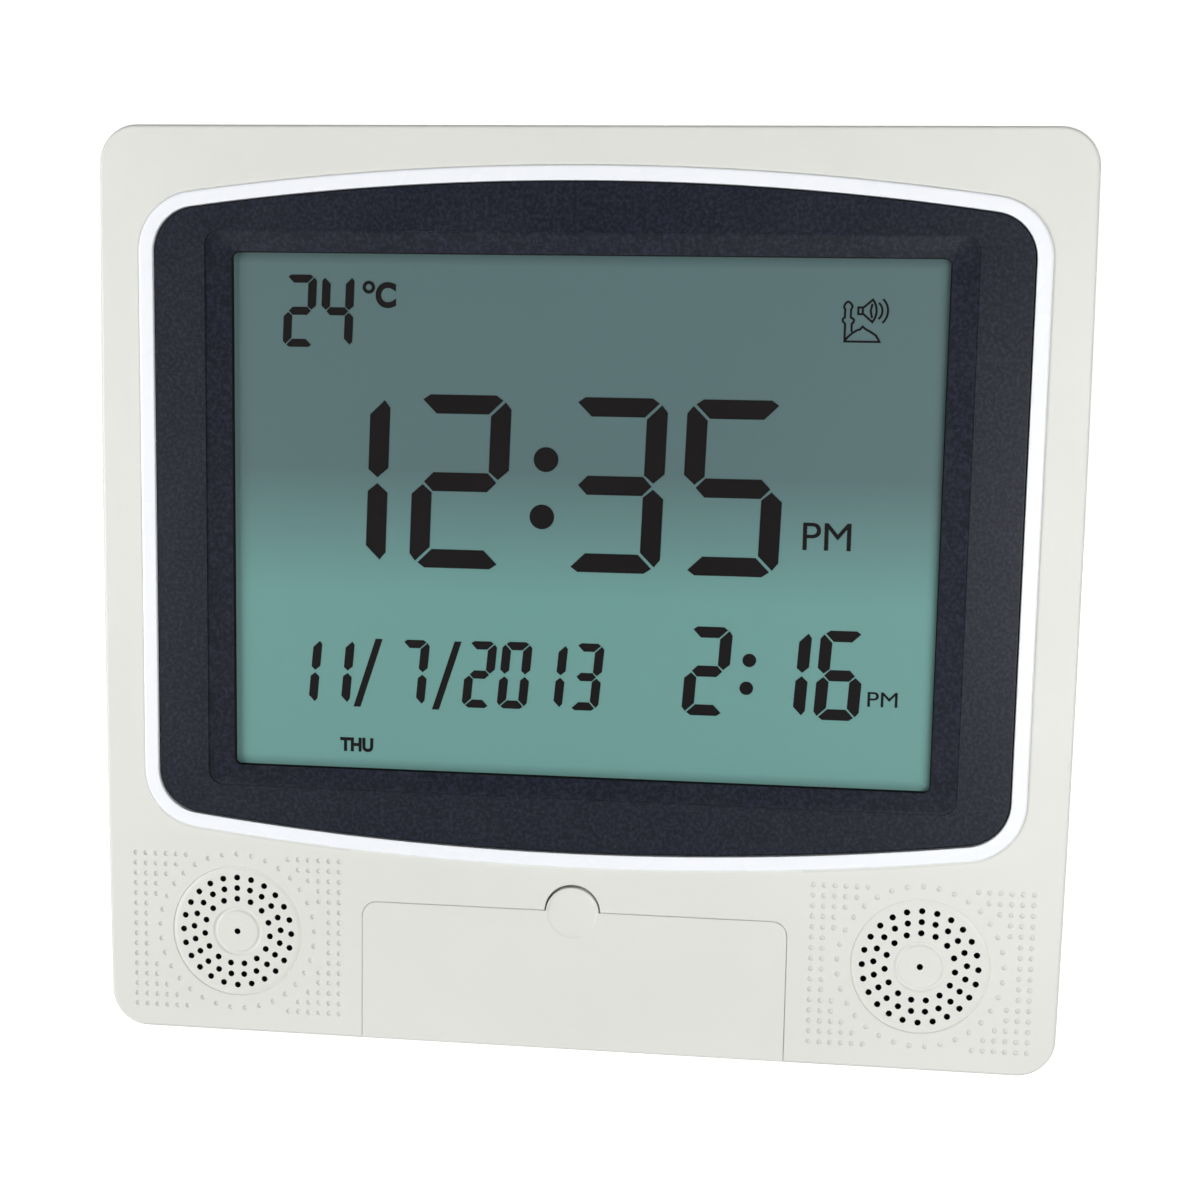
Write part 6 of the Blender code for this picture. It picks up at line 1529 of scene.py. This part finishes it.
def add_rear_structure(shell):
    """Battery tub, its rim, the stand's recess box and the screw wells."""
    root = REAR_PLATE_FRONT + ROOT_OVERLAP
    tub_x = BAY_HALF_LENGTH + CELL_BAY_WALL
    carve(shell, add_box("tub", (-tub_x, CELL_BAY_FLOOR - CELL_BAY_WALL, CELL_BAY_LOW - CELL_BAY_WALL),
                         (tub_x, root, CELL_BAY_HIGH + CELL_BAY_WALL)), "UNION")
    rim_x = COVER_HIGH.x + FIT_GAP + COVER_RIM_WALL
    rim_root = root + ROOT_OVERLAP / 2
    carve(shell, add_box("tub_rim", (-rim_x, CASE_DEPTH - COVER_RIM_DEPTH,
                                     COVER_BOTTOM - COVER_TAB_REACH - FIT_GAP - COVER_RIM_WALL),
                         (rim_x, rim_root, COVER_TOP + FIT_GAP + COVER_RIM_WALL)), "UNION")
    leg_x = LEG_HALF_WIDTH + FIT_GAP + LEG_SIDE_WALL
    leg_top = LEG_AXIS_HEIGHT + LEG_THICKNESS / 2 + FIT_GAP + LEG_FLOOR_WALL
    carve(shell, add_box("leg_box", (-leg_x, LEG_FLOOR - LEG_FLOOR_WALL, WALL - ROOT_OVERLAP),
                         (leg_x, rim_root - ROOT_OVERLAP / 4, leg_top)), "UNION")
    wells = [add_drum("well", "Y", place(x, 0, height), WELL_RADIUS, REAR_LIP_FRONT, root, SMALL_SIDES)
             for x, height in screw_places()]
    carve(shell, join("wells", wells), "UNION")


def cut_rear_recesses(shell):
    """Battery bay, cover rebate, tab slots, leg recess and its bearings."""
    carve(shell, add_box("cell_bay", (-BAY_HALF_LENGTH, CELL_BAY_FLOOR, CELL_BAY_LOW),
                         (BAY_HALF_LENGTH, CASE_DEPTH + OVERRUN, CELL_BAY_HIGH)))
    rebate = rounded_rectangle(COVER_HIGH.x + FIT_GAP, COVER_BOTTOM - FIT_GAP, COVER_TOP + FIT_GAP,
                               COVER_CORNER_RADIUS)
    carve(shell, add_plate("cover_rebate", rebate, COVER_FRONT - FIT_GAP, CASE_DEPTH + OVERRUN))
    slot_back = COVER_FRONT - FIT_GAP
    slot_front = slot_back - FIT_GAP - COVER_TAB_THICKNESS - COVER_SWING_ROOM
    half = COVER_TAB_HALF_WIDTH + FIT_GAP
    slots = []
    for side in (-1, 1):
        x = side * COVER_TAB_X
        slots.append(add_box("tab_slot", (x - half, slot_front, COVER_BOTTOM - COVER_TAB_REACH - FIT_GAP),
                             (x + half, slot_back, CELL_BAY_LOW + OVERRUN)))
    carve(shell, join("tab_slots", slots))
    carve(shell, add_box("leg_recess", (-LEG_HALF_WIDTH - FIT_GAP, LEG_FLOOR, LEG_TIP_HEIGHT - FIT_GAP),
                         (LEG_HALF_WIDTH + FIT_GAP, CASE_DEPTH + OVERRUN,
                          LEG_AXIS_HEIGHT + LEG_THICKNESS / 2 + FIT_GAP)))
    bearing = LEG_HALF_WIDTH + LEG_PIN_LENGTH + FIT_GAP
    axis = place(0, CASE_DEPTH - LEG_THICKNESS / 2, LEG_AXIS_HEIGHT)
    carve(shell, add_drum("leg_bearings", "X", axis, BEARING_RADIUS, -bearing, bearing, SMALL_SIDES))


def keyhole_outline():
    """A round entry with a narrow slot above it for the neck of a wall screw."""
    half_neck = math.asin(KEYHOLE_SLOT_RADIUS / KEYHOLE_ENTRY_RADIUS)
    outline = arc(0, KEYHOLE_RISE, KEYHOLE_SLOT_RADIUS, 0, math.pi, CORNER_STEPS)
    outline += arc(0, 0, KEYHOLE_ENTRY_RADIUS, QUARTER + half_neck, 5 * QUARTER - half_neck, SMALL_SIDES)
    return outline


def cut_rear_holes(shell):
    """Screw wells, keyholes, sound slots and rear foot seats."""
    floor = REAR_LIP_FRONT + WELL_FLOOR
    shank = SCREW_RADIUS + FIT_GAP
    bore = WELL_RADIUS - WELL_WALL
    profile = [(shank, REAR_LIP_FRONT - OVERRUN), (shank, floor), (bore, floor), (bore, CASE_DEPTH + OVERRUN)]
    tools = [add_turned("well_bore", "Y", place(x, 0, height), profile, SMALL_SIDES)
             for x, height in screw_places()]
    slot = add_plate("slot", moved(pill(SLOT_HALF_WIDTH, SLOT_RADIUS, SLOT_STEPS), 0, SPEAKER_HEIGHT),
                     REAR_PLATE_FRONT - OVERRUN, CASE_DEPTH + OVERRUN)
    keyhole = add_plate("keyhole", moved(keyhole_outline(), 0, KEYHOLE_HEIGHT), REAR_PLATE_FRONT - OVERRUN,
                        CASE_DEPTH + OVERRUN)
    steps = []
    for side in (-1, 1):
        for number in range(SLOT_COUNT):
            steps.append((side * SPEAKER_X, 0, (number - (SLOT_COUNT - 1) / 2) * SLOT_PITCH))
    tools.append(repeated("slots", slot, steps))
    tools.append(repeated("keyholes", keyhole, [(-KEYHOLE_X, 0, 0), (KEYHOLE_X, 0, 0)]))
    tools += foot_seats(rear=True)
    carve(shell, join("rear_holes", tools))


def build_rear_shell(sizes):
    """The rear shell from its block to its smallest holes."""
    shell = rear_block(sizes)
    add_rear_structure(shell)
    cut_rear_recesses(shell)
    cut_rear_holes(shell)
    finish_piece(shell, "casing_plastic", "casing", "casing_cream", "rear_casing")


def build_cover(sizes):
    """The battery cover: soft edges, a field of grip ridges and two hook tabs below."""
    half_width = COVER_HIGH.x
    outline = rounded_rectangle(half_width, COVER_BOTTOM, COVER_TOP, COVER_CORNER_RADIUS)
    cover = add_plate("cell_cover", outline, COVER_FRONT, CASE_DEPTH)
    round_edges(cover, lambda x, depth, height: near(depth, CASE_DEPTH), sizes.soft_edge, segments=3)
    tab_back = COVER_FRONT - 2 * FIT_GAP
    tab_front = tab_back - COVER_TAB_THICKNESS
    tab_low = COVER_BOTTOM - COVER_TAB_REACH
    root_low = COVER_BOTTOM + FIT_GAP
    root_high = root_low + COVER_TAB_ROOT
    root_back = COVER_FRONT + ROOT_OVERLAP
    section = [(tab_front, tab_low), (tab_back, tab_low), (tab_back, root_low), (root_back, root_low),
               (root_back, root_high), (tab_front, root_high)]
    tab = add_bar("tab", section, -COVER_TAB_HALF_WIDTH, COVER_TAB_HALF_WIDTH)
    carve(cover, repeated("tabs", tab, [(-COVER_TAB_X, 0, 0), (COVER_TAB_X, 0, 0)]), "UNION")
    floor = CASE_DEPTH - GRIP_DEPTH
    mouth = CASE_DEPTH + OVERRUN
    groove = add_bar("grip", [(floor, -GRIP_HALF_FLOOR), (mouth, -GRIP_HALF_MOUTH), (mouth, GRIP_HALF_MOUTH),
                              (floor, GRIP_HALF_FLOOR)], -GRIP_HALF_LENGTH, GRIP_HALF_LENGTH)
    steps = [(0, 0, COVER_TOP - GRIP_DROP - number * GRIP_PITCH) for number in range(GRIP_COUNT)]
    carve(cover, repeated("grips", groove, steps))
    finish_piece(cover, "casing_plastic", "cover", "casing_cream", "battery_cover")


def build_leg(sizes):
    """The stand: a round top edge about its pins, pockets on the inner face and two toes."""
    axis_depth = CASE_DEPTH - LEG_THICKNESS / 2
    radius = LEG_THICKNESS / 2
    front = CASE_DEPTH - LEG_THICKNESS
    section = arc(axis_depth, LEG_AXIS_HEIGHT, radius, 0, math.pi, SMALL_SIDES)
    section += [(front, LEG_TIP_HEIGHT), (CASE_DEPTH, LEG_TIP_HEIGHT)]
    leg = add_bar("leg_panel", section, -LEG_HALF_WIDTH, LEG_HALF_WIDTH)
    notch_top = LEG_TIP_HEIGHT + LEG_NOTCH_HEIGHT
    carve(leg, add_box("notch", (-LEG_NOTCH_HALF_WIDTH, front - OVERRUN, LEG_TIP_HEIGHT - OVERRUN),
                       (LEG_NOTCH_HALF_WIDTH, CASE_DEPTH + OVERRUN, notch_top)))
    round_edges(leg, lambda x, depth, height: near(depth, CASE_DEPTH) and height < LEG_AXIS_HEIGHT - OVERRUN,
                sizes.soft_edge, segments=3)
    low = notch_top + LEG_POCKET_RIB
    high = LEG_AXIS_HEIGHT - radius - LEG_POCKET_RIB
    pitch = (high - low + LEG_POCKET_RIB) / LEG_POCKET_COUNT
    half_width = LEG_HALF_WIDTH - LEG_POCKET_RIB
    pocket = add_box("pocket", (-half_width, front - OVERRUN, low),
                     (half_width, front + LEG_POCKET_DEPTH, low + pitch - LEG_POCKET_RIB))
    carve(leg, repeated("pockets", pocket, [(0, 0, number * pitch) for number in range(LEG_POCKET_COUNT)]))
    add_pins(leg, place(0, axis_depth, LEG_AXIS_HEIGHT), LEG_HALF_WIDTH, LEG_PIN_LENGTH)
    finish_piece(leg, "casing_plastic", "leg", "casing_cream", "stand_leg")


def build_cells():
    """Three sleeved cells with bare metal ends, which point left and right in turn."""
    soft = CELL_EDGE
    for number in range(1, CELL_COUNT + 1):
        low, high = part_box(f"battery_{number}")
        centre = (low + high) / 2
        centre.x = 0
        side = 1 if high.x > -low.x else -1
        plus = max(high.x, -low.x)
        minus = -min(high.x, -low.x)
        radius = max(high.z - low.z, high.y - low.y) / 2
        body = plus - CELL_CAP_LENGTH
        profile = [(radius - 3 * soft, minus), (radius - soft, minus + soft / 6),
                   (radius - soft / 4, minus + soft / 3), (radius, minus + soft), (radius, body - soft),
                   (radius - soft / 4, body - soft / 4), (radius - soft, body), (CELL_SEAL_RADIUS, body),
                   (CELL_SEAL_FLOOR_RADIUS, body - soft / 2), (CELL_CAP_RADIUS, body - soft / 2),
                   (CELL_CAP_RADIUS, plus - soft / 2), (CELL_CAP_FACE_RADIUS, plus)]
        cell = add_turned(f"cell_{number}", "X", centre, [(ring, side * along) for ring, along in profile],
                          SMALL_SIDES)
        finish_piece(cell, "cell_sleeve", "casing", "cell_green", f"battery_{number}")

        def is_bare(face):
            across = math.hypot(face.center.y - centre.y, face.center.z - centre.z)
            return across < radius - 1.1 * soft and abs(face.normal.x) > 0.5 or across < CELL_BARE_RADIUS

        shade_faces(cell, "plated_steel", is_bare)


def build_screws():
    """Pan head screws with a cross recess, deep in their wells."""
    head = SCREW_HEAD_HEIGHT
    wide = SCREW_HEAD_RADIUS
    for number in range(1, SCREW_COUNT + 1):
        low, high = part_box(f"case_screw_{number}")
        middle = (low + high) / 2
        centre = Vector((middle.x, high.y - head, middle.z))
        length = centre.y - low.y
        profile = [(SCREW_RADIUS / 2, -length), (SCREW_RADIUS, 2 * SCREW_RADIUS - length), (SCREW_RADIUS, 0),
                   (wide, 0)]
        profile += [(wide * share, head * rise) for share, rise in SCREW_HEAD_PROFILE]
        screw = add_turned(f"screw_{number}", "Y", centre, profile, SMALL_SIDES)
        depth = centre.y - FRONT
        height = centre.z - BOTTOM
        reach = wide * CROSS_REACH
        for long, tall in ((reach, CROSS_HALF_WIDTH), (CROSS_HALF_WIDTH, reach)):
            carve(screw, add_box("recess", (centre.x - long, depth + head * CROSS_FLOOR, height - tall),
                                 (centre.x + long, depth + head + OVERRUN, height + tall)))
        finish_piece(screw, "plated_steel", "casing", "steel", f"case_screw_{number}")


def build_feet():
    """Round rubber feet with a soft lower edge."""
    for number in range(1, FOOT_COUNT + 1):
        low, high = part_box(f"rubber_foot_{number}")
        centre = (low + high) / 2
        centre.z = low.z
        radius = (high.x - low.x) / 2
        tall = high.z - low.z
        profile = [(radius - FOOT_EDGE, 0), (radius - FOOT_BEVEL, FOOT_BEVEL), (radius, FOOT_EDGE),
                   (radius, tall)]
        foot = add_turned(f"foot_{number}", "Z", centre, profile, SMALL_SIDES)
        finish_piece(foot, "foot_rubber", "casing", "rubber_grey", f"rubber_foot_{number}")


INNER_FINISHES = {
    "light_guide": "guide_clear",
    "lcd_holder": "holder_moulding",
    "key_ribbon": "holder_moulding",
    "zebra_strip": "connector_rubber",
    "main_board": "board_mask",
    "key_board": "board_mask",
    "controller_chip": "part_moulding",
    "sound_chip": "part_moulding",
    "buffer_capacitor": "part_moulding",
    "temperature_sensor": "part_moulding",
    "speaker_magnet": "part_moulding",
    "speaker_cone": "cone_paper",
    "speaker_frame": "plated_steel",
    "board_screw": "plated_steel",
    "contact": "plated_steel",
}


def dress_inner_nodes():
    """Give each node of the frame that stays its own finish."""
    for name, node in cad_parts.items():
        if node.hide_render:
            continue
        found = [finish for start, finish in INNER_FINISHES.items() if name.startswith(start)]
        if not found:
            raise RuntimeError(f"no finish is named for {name}")
        dress(node, found[0])


# Studio

def build_backdrop():
    """A pale sweep: floor, curve and wall in one sheet."""
    leave_edit()
    bpy.ops.mesh.primitive_plane_add(size=SWEEP_SIZE, location=(0, SWEEP_MIDDLE, 0))
    sweep = settle(named("studio_sweep"))
    far = SWEEP_MIDDLE + SWEEP_SIZE / 2 - SWEEP_TOLERANCE
    choose(sweep, "EDGE", lambda edge: all(vertex.co.y > far for vertex in edge.verts))
    extrude((0, 0, SWEEP_HEIGHT))
    choose(sweep, "EDGE",
           lambda edge: all(vertex.co.y > far and vertex.co.z < SWEEP_TOLERANCE for vertex in edge.verts))
    bpy.ops.mesh.bevel(offset=SWEEP_BEND, segments=SWEEP_BEND_STEPS, affect="EDGES")
    bpy.ops.object.mode_set(mode="OBJECT")
    bpy.ops.object.shade_smooth()
    tree, shader = new_finish("sweep_paper")
    grain = add_grain(tree, grain_scale=60.0, cloud_scale=2.0)
    colour = blend_colours(tree, grain.outputs["Clouds"], (0.59, 0.59, 0.59, 1), (0.61, 0.61, 0.61, 1))
    tree.links.new(colour, shader.inputs["Base Color"])
    shader.inputs["Roughness"].default_value = 0.9
    shader.inputs["Specular IOR Level"].default_value = 0.1
    shader.inputs["Emission Color"].default_value = (1, 1, 1, 1)
    seen = tree.nodes.new("ShaderNodeLightPath")
    glow = spread(tree, seen.outputs["Is Camera Ray"], SWEEP_GLOW, SWEEP_GLOW_SEEN, 0.0, 1.0)
    tree.links.new(glow, shader.inputs["Emission Strength"])
    sweep.data.materials.append(bpy.data.materials["sweep_paper"])


def add_light(name, where, size, power):
    """A rectangular lamp that looks at the clock."""
    leave_edit()
    bpy.ops.object.light_add(type="AREA", location=where)
    light = named(name)
    light.data.shape = "RECTANGLE"
    light.data.size = size[0]
    light.data.size_y = size[1]
    light.data.energy = power
    light.rotation_euler = (Vector(LIGHT_AIM) - Vector(where)).to_track_quat("-Z", "Y").to_euler()


def build_studio():
    """The sweep, the air, the lamps and the camera."""
    build_backdrop()
    world = bpy.data.worlds.new("studio_air")
    world.use_nodes = True
    air = world.node_tree.nodes["Background"]
    air.inputs["Color"].default_value = (1.0, 1.0, 1.0, 1)
    air.inputs["Strength"].default_value = AIR_GLOW
    bpy.context.scene.world = world
    for name, where, size, power in LIGHTS:
        add_light(name, where, size, power)
    bpy.ops.object.camera_add(location=CAMERA_PLACE,
                              rotation=[math.radians(angle) for angle in CAMERA_DEGREES])
    camera = named("photo_camera")
    camera.data.sensor_width = CAMERA_SENSOR
    camera.data.lens = CAMERA_LENS
    camera.data.clip_start = CAMERA_NEAREST
    bpy.context.scene.camera = camera
    bpy.context.scene.view_settings.view_transform = "Standard"


# Operators

class AZANCLOCK_OT_finishes(Operator):
    """Make every finish of the clock"""

    bl_idname = "azanclock.finishes"
    bl_label = "Finishes"

    def execute(self, context):
        make_finishes(context.scene.clock_colours)
        return {"FINISHED"}


class AZANCLOCK_OT_front(Operator):
    """Model the front shell with its openings and dimples"""

    bl_idname = "azanclock.front"
    bl_label = "Front shell"

    def execute(self, context):
        build_front_shell(context.scene.clock_sizes)
        return {"FINISHED"}


class AZANCLOCK_OT_display(Operator):
    """Model the display's ring, bezel and glass"""

    bl_idname = "azanclock.display"
    bl_label = "Display"

    def execute(self, context):
        build_trim_frame(context.scene.clock_sizes)
        build_bezel()
        build_display()
        return {"FINISHED"}


class AZANCLOCK_OT_readout(Operator):
    """Draw what the display shows"""

    bl_idname = "azanclock.readout"
    bl_label = "Readout"

    def execute(self, context):
        readout = context.scene.clock_readout
        build_main_time(readout)
        build_temperature(readout)
        build_date()
        build_second_time(readout)
        build_signs(readout)
        return {"FINISHED"}


class AZANCLOCK_OT_grilles(Operator):
    """Model both speaker grilles"""

    bl_idname = "azanclock.grilles"
    bl_label = "Speaker grilles"

    def execute(self, context):
        build_grilles(context.scene.clock_sizes)
        return {"FINISHED"}


class AZANCLOCK_OT_controls(Operator):
    """Model the control door, the keys and the power inlet"""

    bl_idname = "azanclock.controls"
    bl_label = "Door, keys and inlet"

    def execute(self, context):
        build_door(context.scene.clock_sizes)
        build_keys()
        build_socket()
        return {"FINISHED"}


class AZANCLOCK_OT_back(Operator):
    """Model the rear shell, the battery cover and the stand leg"""

    bl_idname = "azanclock.back"
    bl_label = "Back"

    def execute(self, context):
        sizes = context.scene.clock_sizes
        build_rear_shell(sizes)
        build_cover(sizes)
        build_leg(sizes)
        return {"FINISHED"}


class AZANCLOCK_OT_small_parts(Operator):
    """Model the cells, screws and feet, and finish the inner parts"""

    bl_idname = "azanclock.small_parts"
    bl_label = "Cells, screws and feet"

    def execute(self, context):
        build_cells()
        build_screws()
        build_feet()
        dress_inner_nodes()
        return {"FINISHED"}


class AZANCLOCK_OT_studio(Operator):
    """Set up the sweep, the lights and the camera"""

    bl_idname = "azanclock.studio"
    bl_label = "Studio"

    def execute(self, context):
        build_studio()
        return {"FINISHED"}


class AZANCLOCK_PT_panel(Panel):
    """Lists the clock's pieces, sizes, readout and colours"""

    bl_idname = "AZANCLOCK_PT_panel"
    bl_label = "Azan clock"
    bl_space_type = "VIEW_3D"
    bl_region_type = "UI"
    bl_category = "Azan clock"

    def draw(self, context):
        column = self.layout.column(align=True)
        for operator in OPERATORS:
            column.operator(operator.bl_idname)
        for group in (context.scene.clock_sizes, context.scene.clock_readout, context.scene.clock_colours):
            box = self.layout.box()
            for name in group.__annotations__:
                box.prop(group, name)


GROUPS = (ClockSizes, ClockReadout, ClockColours)
OPERATORS = (
    AZANCLOCK_OT_finishes,
    AZANCLOCK_OT_front,
    AZANCLOCK_OT_display,
    AZANCLOCK_OT_readout,
    AZANCLOCK_OT_grilles,
    AZANCLOCK_OT_controls,
    AZANCLOCK_OT_back,
    AZANCLOCK_OT_small_parts,
    AZANCLOCK_OT_studio,
)


def register():
    """Register the groups, the operators and the panel."""
    for item in (*GROUPS, *OPERATORS, AZANCLOCK_PT_panel):
        bpy.utils.register_class(item)
    bpy.types.Scene.clock_sizes = PointerProperty(type=ClockSizes)
    bpy.types.Scene.clock_readout = PointerProperty(type=ClockReadout)
    bpy.types.Scene.clock_colours = PointerProperty(type=ClockColours)


def unregister():
    """Take everything out again."""
    del bpy.types.Scene.clock_colours
    del bpy.types.Scene.clock_readout
    del bpy.types.Scene.clock_sizes
    for item in reversed((*GROUPS, *OPERATORS, AZANCLOCK_PT_panel)):
        bpy.utils.unregister_class(item)


def main():
    register()
    bpy.ops.azanclock.finishes()
    bpy.ops.azanclock.front()
    bpy.ops.azanclock.display()
    bpy.ops.azanclock.readout()
    bpy.ops.azanclock.grilles()
    bpy.ops.azanclock.controls()
    bpy.ops.azanclock.back()
    bpy.ops.azanclock.small_parts()
    bpy.ops.azanclock.studio()


if __name__ == "__main__":
    main()
